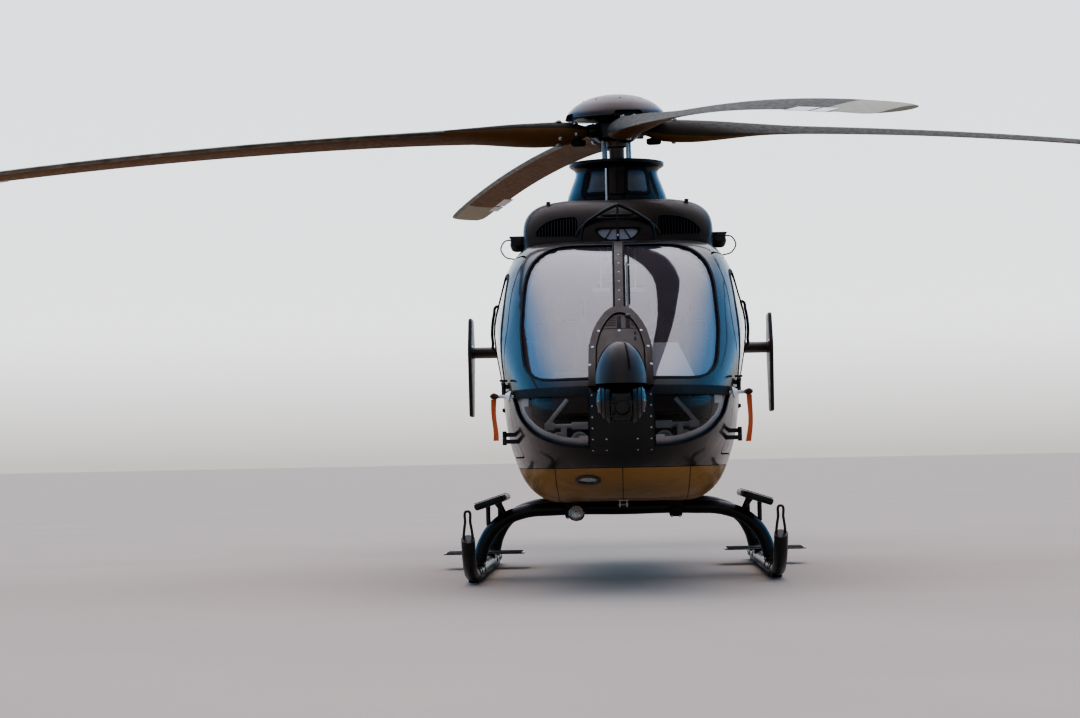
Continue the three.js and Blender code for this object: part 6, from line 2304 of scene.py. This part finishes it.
@dataclass
class Tail:
    """Boom, stabiliser with end plates, fin with the ducted fan in it."""

    boom: tuple[tuple[float, ...], ...] = (
        (5.7, 0.29, 1.6, 2.19), (6.3, 0.245, 1.628, 2.15), (7.6, 0.196, 1.655, 2.085),
        (8.48, 0.165, 1.7, 2.05),
    )
    fan: tuple[float, float] = (9.15, 1.9)
    duct: float = 0.505
    end_y: float = 5.9962
    tip: float = 0.49
    half: float = 1.265
    nose: float = 7.62
    chord: float = 0.45
    level: float = 1.67
    thick: float = 0.094
    fin: tuple[tuple[float, ...], ...] = (
        (8.4803, 1.735), (8.64, 1.48, 0.12), (8.9, 1.262, 0.2), (9.3, 1.215, 0.2), (9.64, 1.35, 0.2),
        (9.86, 1.7, 0.2), (9.96, 2.3, 0.1), (10.18, 3.4, 0.06), (10.14, 3.5, 0.04), (9.86, 3.5, 0.06),
        (9.56, 2.9, 0.2), (9.18, 2.52, 0.2), (8.76, 2.29, 0.2), (8.4803, 2.04),
    )
    plate: tuple[tuple[float, ...], ...] = (
        (7.56, 1.12, 0.03), (7.48, 1.69, 0.06), (7.64, 1.965, 0.04), (7.96, 1.965, 0.04), (8.06, 1.69, 0.04),
        (7.85, 1.12, 0.03),
    )

    def build(self) -> None:
        """Builds the tail."""
        self.tail_boom()
        self.stabiliser()
        self.shroud()
        self.stator()
        self.rotor()

    def tail_boom(self) -> None:
        """The tapering boom, with a frame ring at its joints and an aerial on its back."""
        rings = [[place for place, _ in self.girth(station, 56)] for station in spread(5.7003, 8.48, 20)]
        boom = loft("tail_boom_skin", rings)
        slot = self.wing("slot", self.half * 0.3, 0.0007)
        carve(boom, slot)
        fitted(smooth(boom, 40), GLOSS, "tail_boom")
        rings = []
        for station in (5.76, 6.9, 8.44):
            _, half, low, high = upright(self.boom, station)
            loop = [(half * math.cos(a), aft(station), (low + high) / 2 + (high - low) / 2 * math.sin(a))
                    for a in [2 * math.pi * i / 40 for i in range(41)]]
            rings.append(curve_tube("ring", loop, 0.0022, 1))
        fitted(joined("tail_boom_joints", rings), RUBBER)
        spots = [spot for station in (5.8, 6.94, 8.4) for spot in self.girth(station, 28)]
        fitted(rivets("tail_boom_rivets", spots, 0.005), BLACK)
        fin = [(6.5, 2.135), (6.62, 2.3, 0.03), (6.7, 2.3, 0.03), (6.78, 2.12)]
        aerial = bevelled(prism("boom_aerial", rounded(side_outline(fin)), View.SIDE, -0.008, 0.008), 0.005,
                          2)
        fitted(smooth(aerial), BLACK)

    def middle(self) -> Matrix:
        """The fan's middle."""
        return Matrix.Translation((0, aft(self.fan[0]), self.fan[1]))

    def girth(self, station: float, count: int) -> list[tuple[Vector, Vector]]:
        """Places round the boom at a station, each with the way that it faces."""
        _, half, low, high = upright(self.boom, station)
        angles = [2 * math.pi * i / count for i in range(count)]
        middle, tall = (low + high) / 2, (high - low) / 2
        return [(Vector((half * math.cos(a), aft(station), middle + tall * math.sin(a))),
                 Vector((math.cos(a), 0, math.sin(a)))) for a in angles]

    def wing(self, name: str, half: float, grow: float = 0.0) -> Piece:
        """The stabiliser's aerofoil body across X."""
        points = []
        count = 14
        chord, thick = self.chord + 2 * grow, self.thick / 2 + grow
        for i in range(2 * count):
            c = (1 - math.cos(math.pi * i / count)) / 2
            t = 5.9 * (0.2969 * math.sqrt(c) - 0.126 * c - 0.3516 * c * c + 0.2843 * c**3 - 0.1015 * c**4)
            t = max(min(1.0, 1.7 * t), 0.05 if c else 0.0)
            z = self.level + (t if i < count else -t) * thick
            points.append((aft(self.nose) + c * chord - grow, z))
        return smooth(prism(name, points, View.SIDE, -half, half), 40)

    def stabiliser(self) -> None:
        """The stabiliser, its end plates and their lamps."""
        fitted(self.wing("stabiliser_skin", self.half), SATIN, "stabiliser")
        points = rounded(side_outline(self.plate))
        plate = bevelled(prism("end_plate_skin_left", points, View.SIDE, self.half + GAP, self.half + 0.03),
                         0.011, 3)
        both(smooth(plate, 40), SATIN, "end_plate")
        fairing = smooth_turned("end_fairing_left", [(0, -0.26), (0.02, -0.24), (0.034, -0.12), (0.03, 0.08),
                                                     (0.012, 0.22), (0, 0.235)], 24, 4)
        turn = placed((self.half - 0.004, aft(7.84), self.level), "X", 90)
        both(smooth(moved(fairing, turn)), SATIN)
        for side, finish in ((Side.LEFT, RED_LENS), (Side.RIGHT, GREEN_LENS)):
            rows = [(0, -0.05), (0.012, -0.045), (0.02, -0.02), (0.021, 0.01), (0.014, 0.04), (0, 0.048)]
            lens = smooth_turned(f"position_lamp_{side.word}", rows, 20, 3)
            spot = (side.value * (self.half + 0.0105), aft(7.60), self.level + 0.04)
            turn = placed(spot, "X", 90)
            fitted(smooth(moved(lens, turn)), finish)

    def across(self, name: str, radius: float, half: float) -> Piece:
        """A cylinder across X at the fan's middle."""
        rows = [(0, -half), (radius, -half), (radius, half), (0, half)]
        turn = self.middle() @ spun(90, "Y")
        return moved(turned(name, rows, 72), turn)

    def shroud(self) -> None:
        """The fin and the housing of the fan: a side outline, tapered in front view and from above."""
        shape = prism("fan_housing", rounded(side_outline(self.fin), 0, 8), View.SIDE, -0.2, 0.2)
        rows = [(0.165, 1.15), (0.178, 1.9, 0.1), (0.15, 2.35, 0.1), (0.055, 2.9, 0.06), (0.038, 3.6)]
        front = rows + [(-row[0], *row[1:]) for row in reversed(rows)]
        carve(shape, prism("front", rounded(front, 0, 8), View.FRONT, aft(8), aft(11)), Cut.COMMON)
        rows = [(0.165, 8.47), (0.178, 9.1, 0.2), (0.12, 9.8, 0.06), (0.022, 10.2)]
        plan = [(x, aft(s), *r) for x, s, *r in rows]
        plan += [(-row[0], *row[1:]) for row in reversed(plan)]
        carve(shape, prism("plan", rounded(plan, 0, 8), View.PLAN, 1, 3.7), Cut.COMMON)
        carve(shape, self.across("duct", self.duct, 0.4))
        bevelled(shape, 0.022, 4, 38)
        carve(shape, block("cutter", (-0.3, self.end_y, 1), (0.3, 7, 4)))
        fitted(smooth(shape, 45), GLOSS, "fan_shroud")
        bar = [(0, aft(s), z)
               for s, z in ((9.08, 1.25), (9.18, 1.12), (9.42, 1.08), (9.64, 1.14), (9.72, 1.26))]
        fitted(curve_tube("tail_bumper", bar, 0.0158, 4), BLACK)
        for side in (1, -1):
            rows = [(self.duct - 0.001, side * 0.1), (self.duct + 0.012, side * 0.168),
                    (self.duct + 0.03, side * 0.172), (self.duct + 0.036, side * 0.15),
                    (self.duct + 0.02, side * 0.1)]
            turn = self.middle() @ spun(90, "Y")
            lip = moved(turned("lip", rows, 72, ring=True), turn)
            name = "duct_lip_left" if side > 0 else "duct_lip_right"
            fitted(smooth(joined(name, [lip]), 50), SATIN)
        lines = []
        for rows in ([(9.62, 2.52), (9.9, 2.42)], [(9.75, 3.05), (10.05, 2.98)]):
            for side in (1, -1):
                line = [(side * (0.12 if z < 2.6 else 0.045), aft(s), z) for s, z in rows]
                lines.append(curve_tube("line", line, 0.003, 1, False))
        fitted(joined("fin_hinge_marks", lines), RUBBER)

    def stator(self) -> None:
        """Five vanes and the gearbox cone that they hold."""
        parts = []
        for k in range(5):
            vane = block("vane", (0.04, -0.008, 0.06), (0.12, 0.008, self.duct + 0.02), 0.007)
            parts.append(moved(vane, self.middle() @ spun(72 * k + 18, "X")))
        rows = [(0, 0.025), (0.118, 0.025), (0.118, 0.13), (0.1, 0.15), (0.05, 0.155), (0, 0.155)]
        parts.append(moved(turned("cone", rows, 48), self.middle() @ spun(90, "Y")))
        stator = parts[0]
        for piece in parts[1:]:
            carve(stator, piece, Cut.BOTH)
        stator.name = "fan_stator_skin"
        carve(stator, self.across("limit", self.duct - GAP, 0.4), Cut.COMMON)
        fitted(smooth(stator, 40), SATIN, "fan_stator")

    def rotor(self) -> None:
        """The fan: a hub with a cone, and ten twisted blades spaced unevenly."""
        spot = self.middle()
        rows = [(0, -0.095), (0.07, -0.094), (0.105, -0.08), (0.12, -0.055), (0.12, -0.005), (0.04, -0.005),
                (0.04, 0.0245), (0, 0.0245)]
        hub = smooth(moved(turned("tail_fan_hub", rows, 48), spot @ spun(90, "Y")), 35)
        fitted(hub, MAST_METAL, "tail_fan_rotor", body=Body.FAN)
        blades = []
        for k in range(10):
            rings = []
            for radius in spread(0.1, self.tip, 9):
                pitch = math.radians(44 - 26 * (radius - 0.1) / 0.39)
                chord, thick = 0.062 - 0.008 * (radius > 0.45), 0.011 - 0.012 * (radius - 0.1)
                section = []
                for i in range(16):
                    a = 2 * math.pi * i / 16
                    y, x = chord / 2 * math.cos(a), thick / 2 * math.sin(a)
                    section.append(Vector((-0.05 + x * math.cos(pitch) - y * math.sin(pitch),
                                           x * math.sin(pitch) + y * math.cos(pitch), radius)))
                rings.append(section)
            turn = spun(36 * k + (4 if k % 2 else 0), "X")
            blades.append(moved(loft("blade", rings), spot @ turn))
        fitted(smooth(joined("tail_fan_blades", blades), 50), BLADE_EDGE, body=Body.FAN)


@dataclass
class Cushion:
    """One padded piece of a seat: a rounded slab that swells like stuffed cloth, with sewn channels."""

    name: str
    low: tuple[float, float, float]
    high: tuple[float, float, float]
    lean: float = 0.0
    bulge: float = 0.016
    voxel: float = 0.006
    channels: int = 2
    fill: float = 0.6
    inset: float = 0.012
    pressure: float = 4.0
    frames: int = 20
    seam: float = 0.006
    seam_width: float = 0.012

    def build(self, *nodes: str) -> Piece:
        """Makes the cushion, swells it by a cloth simulation and fits it to the airframe.

        Args:
            nodes: The CAD nodes that it stands for.

        Returns:
            The cushion.
        """
        pad = block(self.name, [a + self.inset for a in self.low], [b - self.inset for b in self.high])
        edit_all(pad)
        bpy.ops.mesh.subdivide(number_cuts=3)
        leave_edit()
        bevelled(pad, 0.03, 3, 60)
        self.swell(pad)
        self.sew(pad)
        modify(pad, "SUBSURF", levels=1, render_levels=1)
        if self.lean:
            foot = Vector(((self.low[0] + self.high[0]) / 2, self.low[1], self.low[2]))
            turn = spun(-self.lean, "X")
            moved(pad, Matrix.Translation(foot) @ turn @ Matrix.Translation(-foot))
        fitted(smooth(pad, 180), CLOTH, *nodes)
        return pad

    def swell(self, pad: Piece) -> None:
        """Blows the pad up a little with cloth pressure, and keeps every point near where it was."""
        modify(pad, "REMESH", mode="VOXEL", voxel_size=self.voxel * 2)
        rest = [vertex.co.copy() for vertex in pad.data.vertices]
        scene = bpy.context.scene
        scene.frame_set(1)
        cloth = pad.modifiers.new("cloth", "CLOTH")
        cloth.settings.use_pressure = True
        cloth.settings.uniform_pressure_force = self.pressure
        cloth.settings.effector_weights.gravity = 0
        cloth.point_cache.frame_start = 1
        cloth.point_cache.frame_end = self.frames
        for frame in range(1, self.frames + 1):
            scene.frame_set(frame)
        pick(pad)
        bpy.ops.object.modifier_apply(modifier="cloth")
        scene.frame_set(1)
        for vertex, start in zip(pad.data.vertices, rest):
            shift = vertex.co - start
            if shift.length > self.bulge:
                vertex.co = start + shift * (self.bulge / shift.length)

    def sew(self, pad: Piece) -> None:
        """Presses sewn channels into the upper faces, and draws the corners in."""
        centre = [(a + b) / 2 for a, b in zip(self.low, self.high)]
        half = [(b - a) / 2 for a, b in zip(self.low, self.high)]
        for vertex in pad.data.vertices:
            across = (vertex.co.x - centre[0]) / half[0]
            for i in range(self.channels):
                seam = (i + 1) / (self.channels + 1) * 2 - 1
                depth = self.seam * math.exp(-(((across - seam) * half[0] / self.seam_width) ** 2))
                for axis in (1, 2):
                    face = (vertex.co[axis] - centre[axis]) / half[axis]
                    if abs(face) > 0.6:
                        vertex.co[axis] -= math.copysign(depth, face)


@dataclass
class Cabin:
    """Panel, seats, pedals and what else shows through the glass."""

    skins: Skins
    floor: float = 0.74
    seat_x: float = 0.335

    def build(self) -> None:
        """Builds the inside of the cabin."""
        self.panel()
        self.pedals()
        self.controls()
        self.overhead()
        self.card()
        self.seats()
        self.bench()

    def panel(self) -> None:
        """The instrument panel under its hood, with screens, keys and the centre console."""
        rows = [(0.64, 1.01), (0.69, 1.215, 0.03), (0.8, 1.262, 0.03), (0.905, 1.235, 0.02), (0.88, 1.0)]
        hood = prism("panel_hood", rounded(side_outline(rows)), View.SIDE, -0.4, 0.4)
        carve(hood, self.skins.hull.solid("hull", 0.057), Cut.COMMON)
        fitted(smooth(bevelled(hood, 0.012, 3, 45), 40), HOOD, "instrument_panel")
        rows = [(0.76, self.floor + GAP), (0.76, 1.02, 0.03), (1.06, 1.02, 0.05), (1.42, 0.9, 0.05),
                (1.48, self.floor + GAP)]
        console = bevelled(prism("centre_console", rounded(side_outline(rows)), View.SIDE, -0.105, 0.105),
                           0.01, 3)
        fitted(smooth(console, 40), TRIM)
        lean = placed((0, aft(0.893), 1.12), "X", 6)
        bezels, screens = [], []
        for x in (-0.28, -0.1, 0.1, 0.28):
            bezels.append(moved(block("bezel", (x - 0.083, -0.004, -0.085), (x + 0.083, 0.012, 0.085),
                                      0.006), lean))
            screens.append(moved(block("screen", (x - 0.068, 0.01, -0.065), (x + 0.068, 0.0135, 0.07),
                                       0.001), lean))
        fitted(smooth(joined("panel_bezels", bezels)), BLACK)
        fitted(smooth(joined("panel_screens", screens)), DARK_LENS)
        keys = []
        for i in range(6):
            for j in range(3):
                y, z = 1.09 + i * 0.052, 1.0145 - i * 0.0174
                keys.append(block("key", (-0.07 + j * 0.055, aft(y), z),
                                  (-0.04 + j * 0.055, aft(y) + 0.026, z + 0.008),
                                  0.003))
        fitted(smooth(joined("console_keys", keys)), PALE)

    def pedals(self) -> None:
        """The pedal bar on its two legs, four pads, round bosses and slanted struts."""
        parts = [curve_tube("bar", [(-0.44, aft(0.54), 0.94), (0.44, aft(0.54), 0.94)], 0.014, 4, False)]
        for x in (-0.33, 0.33):
            parts.append(block("leg", (x - 0.018, aft(0.526), self.floor + GAP),
                               (x + 0.018, aft(0.554), 0.95), 0.006))
        fitted(smooth(joined("pedal_bar", parts)), PEDAL_PAINT, "pedal_assembly")
        pads, bosses, struts = [], [], []
        for x in (-0.41, -0.235, 0.235, 0.41):
            wide = 0.028 if abs(x) > 0.3 else 0.052
            pads.append(block("pad", (x - wide, aft(0.508), 0.918), (x + wide, aft(0.522), 0.962), 0.006))
            rows = [(0, -0.012), (0.044, -0.012), (0.05, -0.006), (0.05, 0.006), (0.038, 0.012),
                    (0.03, 0.004), (0, 0.004)]
            turn = Matrix.Translation((x * 0.66 + 0.086 * (1 if x > 0 else -1), aft(0.515), 0.858))
            bosses.append(moved(turned("boss", rows, 28), turn @ spun(90, "X")))
            if abs(x) > 0.3:
                sign = 1 if x > 0 else -1
                line = [(sign * 0.31, aft(0.6), 1.09), (sign * 0.42, aft(0.56), 0.957)]
                struts.append(curve_tube("strut", line, 0.013, 3, False))
        fitted(smooth(joined("pedal_pads", pads)), PEDAL_PAINT)
        fitted(smooth(joined("pedal_bosses", bosses)), PEDAL_PAINT)
        fitted(smooth(joined("pedal_struts", struts)), PEDAL_PAINT)
        deck = block("footwell_deck", (-0.5, aft(0.42), self.floor + 0.001),
                     (0.5, aft(0.9), self.floor + 0.006), 0.002)
        carve(deck, self.skins.hull.solid("hull", 0.05), Cut.COMMON)
        fitted(smooth(deck), DARK_LINING)

    def controls(self) -> None:
        """Sticks in front of both seats and levers beside them."""
        for side in Side:
            x = side.value * self.seat_x
            stick = curve_tube("stick",
                               [(x, aft(1.27), self.floor), (x, aft(1.25), 0.86), (x, aft(1.29), 0.98),
                                (x, aft(1.27), 1.06)], 0.012, 3)
            grip = smooth_turned("grip",
                                 [(0, -0.02), (0.017, -0.016), (0.02, 0.03), (0.022, 0.07), (0.026, 0.1),
                                  (0.02, 0.12), (0, 0.124)], 20, 3)
            moved(grip, Matrix.Translation((x, aft(1.268), 1.05)))
            lever = curve_tube("lever",
                               [(x - 0.27 * side.value, aft(1.62), self.floor),
                                (x - 0.27 * side.value, aft(1.5), 0.85),
                                (x - 0.27 * side.value, aft(1.25), 1.0)], 0.013, 3)
            fitted(smooth(joined(f"controls_{side.word}", [stick, grip, lever])), TRIM)

    def overhead(self) -> None:
        """The overhead panel, a pale frame behind the centre post and two folded visors."""
        panel = block("overhead_panel", (-0.13, aft(1.5), 1.965), (0.13, aft(2.0), 2.02), 0.014)
        fitted(smooth(panel), TRIM)
        rows = [(-0.105, 1.86, 0.02), (0.085, 1.86, 0.02), (0.07, 1.955, 0.02), (-0.09, 1.955, 0.02)]
        frame = carve(
            prism("overhead_frame", rounded(rows), View.FRONT, aft(1.42), aft(1.44)),
            prism("hole", rounded(rows, -0.018), View.FRONT, aft(1.4), aft(1.5)),
        )
        arms = [block("arm", (x - 0.008, aft(1.425), 1.94), (x + 0.008, aft(1.435), 2.03), 0.002)
                for x in (-0.06, 0.05)]
        fitted(smooth(joined("overhead_frame", [bevelled(frame, 0.003), *arms])), PALE)
        visors = []
        for low, high in ((-0.16, -0.055), (0.045, 0.155)):
            visors.append(block("visor", (low, aft(1.3), 1.748), (high, aft(1.31), 1.772), 0.004))
            x = (low + high) / 2
            visors.append(curve_tube("arm",
                                     [(x, aft(1.305), 1.765), (x, aft(1.4), 1.9), (x, aft(1.46), 2.02)],
                                     0.005, 2))
        fitted(smooth(joined("visors", visors)), WHITE)

    def card(self) -> None:
        """A blank white sheet of card that leans along the left pane, and the ledge it stands on."""
        hull = self.skins.hull
        edges = [[(0.172 + 0.004 * t, 1.2 + 0.2 * t), (0.415 - 0.09 * t, 1.2 + 0.2 * t)]
                 for t in spread(0, 1, 6)]
        rings = []
        for (left, z), (right, _) in edges:
            face = [Vector((x, hull.nose_y(x, z) + 0.05, z)) for x in spread(left, right, 7)]
            rings.append(face + [spot + Vector((0, 0.0012, -0.0012)) for spot in reversed(face)])
        fitted(smooth(loft("white_card", rings), 40), WHITE)
        ledge = block("card_ledge", (0.15, aft(0.1), 1.184), (0.44, aft(0.7), 1.199), 0.004)
        carve(ledge, hull.solid("hull", 0.035), Cut.COMMON)
        fitted(smooth(ledge), TRIM)

    def seats(self) -> None:
        """Two seats: base, padded cushion, back and headrest, belts and a shell behind."""
        for side in Side:
            x = side.value * self.seat_x
            base = block("base", (x - 0.15, aft(1.42), self.floor + GAP), (x + 0.15, aft(1.8), 0.93), 0.02)
            rails = [block("rail", (x + s * 0.12 - 0.014, aft(1.38), self.floor + GAP),
                           (x + s * 0.12 + 0.014, aft(1.86), self.floor + 0.02), 0.004) for s in (-1, 1)]
            pan = block("pan", (x - 0.2, aft(1.37), 0.925), (x + 0.2, aft(1.82), 0.985), 0.02)
            shell = block("shell", (x - 0.19, aft(1.845), 0.98), (x + 0.19, aft(1.875), 1.6), 0.012)
            posts = [curve_tube("post", [(x + s * 0.06, aft(1.885), 1.55), (x + s * 0.06, aft(1.893), 1.66)],
                                0.007, 3,
                                False) for s in (-1, 1)]
            lean = placed((x, aft(1.83), 0.98), "X", -7)
            moved(shell, lean @ Matrix.Translation((-x, -aft(1.83), -0.98)))
            fitted(smooth(joined(f"pilot_seat_frame_{side.word}", [base, *rails, pan, shell, *posts])), TRIM)
            word = side.word
            Cushion(f"pilot_cushion_{word}", (x - 0.23, aft(1.355), 0.985),
                    (x + 0.23, aft(1.80), 1.095)).build(f"pilot_seat_{word}")
            Cushion(f"pilot_back_{word}", (x - 0.225, aft(1.735), 1.06), (x + 0.225, aft(1.835), 1.635),
                    lean=8).build()
            Cushion(f"pilot_headrest_{word}", (x - 0.125, aft(1.845), 1.6), (x + 0.125, aft(1.925), 1.745),
                    channels=0).build()
            belts = []
            for s in (-1, 1):
                line = [(x + s * 0.07, aft(1.93), 1.6), (x + s * 0.075, aft(1.88), 1.652),
                        (x + s * 0.085, aft(1.8), 1.62),
                        (x + s * 0.075, aft(1.73), 1.4), (x + s * 0.035, aft(1.69), 1.17)]
                belts.append(self.strap(line))
            fitted(smooth(joined(f"seat_belts_{word}", belts), 60), WEBBING)

    def strap(self, line: Sequence[tuple[float, float, float]]) -> Piece:
        """A flat belt along a smooth line, its width across the seat."""
        half, thick = 0.024, 0.0015
        rings = []
        for spot in flowing(line, 5):
            rings.append([spot + Vector((dx, dy, 0)) for dx, dy in (
                (-half, -thick), (half, -thick), (half, thick), (-half, thick),
            )])
        return loft("strap", rings)

    def bench(self) -> None:
        """The rear bench: three cushions and three backs on a base."""
        base = block("bench_base", (-0.57, aft(3.345), self.floor + GAP), (0.57, aft(3.79), 0.985), 0.02)
        fitted(smooth(base), TRIM, "rear_seat_row")
        for i, x in enumerate((-0.385, 0.0, 0.385)):
            Cushion(f"bench_cushion_{i + 1}", (x - 0.19, aft(3.335), 0.985), (x + 0.19, aft(3.72), 1.095),
                    channels=1).build()
            Cushion(f"bench_back_{i + 1}", (x - 0.19, aft(3.695), 1.06), (x + 0.19, aft(3.785), 1.62),
                    lean=7, channels=1).build()


@dataclass
class Studio:
    """Pale floor, soft light and the camera at the photograph's angle."""

    lens: float = 83.2
    eye: tuple[float, float, float] = (0.0, -17.836, 0.77)
    ahead: tuple[float, float] = (622.5, 455.0)
    picture: tuple[int, int] = (1080, 718)
    focal: float = 2496.0
    roll: float = 0.0209
    floor_radius: float = 280.0
    sight: float = 600.0
    strength: float = 1.4
    pale: Stops = (
        (0.0, (0.2, 0.18, 0.15)), (0.5, (0.42, 0.4, 0.38)), (0.525, (0.8, 0.81, 0.82)),
        (0.65, (0.7, 0.74, 0.8)), (0.95, (1.18, 1.14, 1.24)),
    )
    blue: Stops = (
        (0.0, (0.2, 0.18, 0.15)), (0.5, (0.3, 0.3, 0.24)), (0.525, (0.24, 0.55, 0.9)),
        (0.75, (0.2, 0.5, 0.9)), (0.95, (1.18, 1.14, 1.24)),
    )

    def build(self) -> None:
        """Sets up everything that isn't part of the machine."""
        self.camera()
        self.floor()
        self.world()

    def camera(self) -> None:
        """A long lens in front of the nose, low down."""
        data = bpy.data.cameras.new("camera")
        data.lens = self.lens
        data.sensor_width = 36
        data.clip_end = self.sight
        across, down = self.ahead
        width, height = self.picture
        back = Vector(((across - width / 2) / self.focal, -(down - height / 2) / self.focal,
                       -1)).normalized()
        up = Vector((-self.roll, 1, 0))
        up = (up - back * up.dot(back)).normalized()
        turn = Matrix((back.cross(up), back, up))
        eye = bpy.data.objects.new("camera", data)
        bpy.context.scene.collection.objects.link(eye)
        eye.matrix_world = Matrix.Translation(self.eye) @ turn.to_4x4()
        bpy.context.scene.camera = eye
        bpy.context.scene.view_settings.look = "AgX - High Contrast"

    def floor(self) -> None:
        """A wide plain floor."""
        clear_selection()
        bpy.ops.mesh.primitive_circle_add(vertices=96, radius=self.floor_radius, fill_type="NGON")
        ground = started("studio_floor")
        nodes = Nodes("studio_floor")
        stops = [(0.3, (0.52, 0.42, 0.34)), (0.7, (0.55, 0.445, 0.36))]
        nodes.set(roughness=0.85, base_color=nodes.ramp(nodes.noise(0.6, 4), stops))
        ground.data.materials.append(nodes.material)

    def world(self) -> None:
        """A soft surround: pale behind the machine, bluer on both sides, dim ahead of its nose."""
        world = bpy.data.worlds.new("surround")
        bpy.context.scene.world = world
        world.use_nodes = True
        sky = Tree(world.node_tree)
        way = sky.add("SeparateXYZ", {"Vector": sky.place.outputs["Generated"]}).outputs
        pale, blue = (sky.ramp(sky.ranged(way["Z"], (-1, 1), (0, 1)), stops)
                      for stops in (self.pale, self.blue))
        width = sky.add("Math", {0: way["X"]}, operation="ABSOLUTE").outputs["Value"]
        colour = sky.blend(sky.ranged(width, (0.24, 0.6), (0, 1)), pale, blue)
        fade = sky.ranged(way["Y"], (-0.5, 0.3), (0.36, 1))
        dimmed = sky.add("VectorMath", {"Vector": colour, "Scale": fade}, operation="SCALE")
        background = sky.tree.nodes["Background"]
        sky.link(dimmed.outputs["Vector"], background.inputs["Color"])
        background.inputs["Strength"].default_value = self.strength

def main() -> None:
    """Builds the machine and its surroundings."""
    logging.basicConfig(level=logging.INFO, format="%(message)s")
    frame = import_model()
    Studio().build()
    skins = Skins(Hull())
    Fuselage(skins).build()
    glazing = Glazing(skins)
    glazing.build()
    Doors(skins, glazing).build()
    NoseArch(skins).build()
    BellyFittings(skins).build()
    skins.done()
    Turret().build()
    Probes().build()
    Cowlings(skins.hull).build()
    MastFairing().build()
    WireCutter().build()
    Rotor().build()
    LandingGear().build()
    Tail().build()
    Cabin(skins).build()
    finishes = {slot: finish for finish, slot in reversed(SLOTS.items())}
    for part in frame["record"]["subparts"]:
        node = frame["nodes"][part["node"]]
        if not node.hide_render:
            dress(node, finishes[part["material_slot"]])


if __name__ == "__main__":
    main()
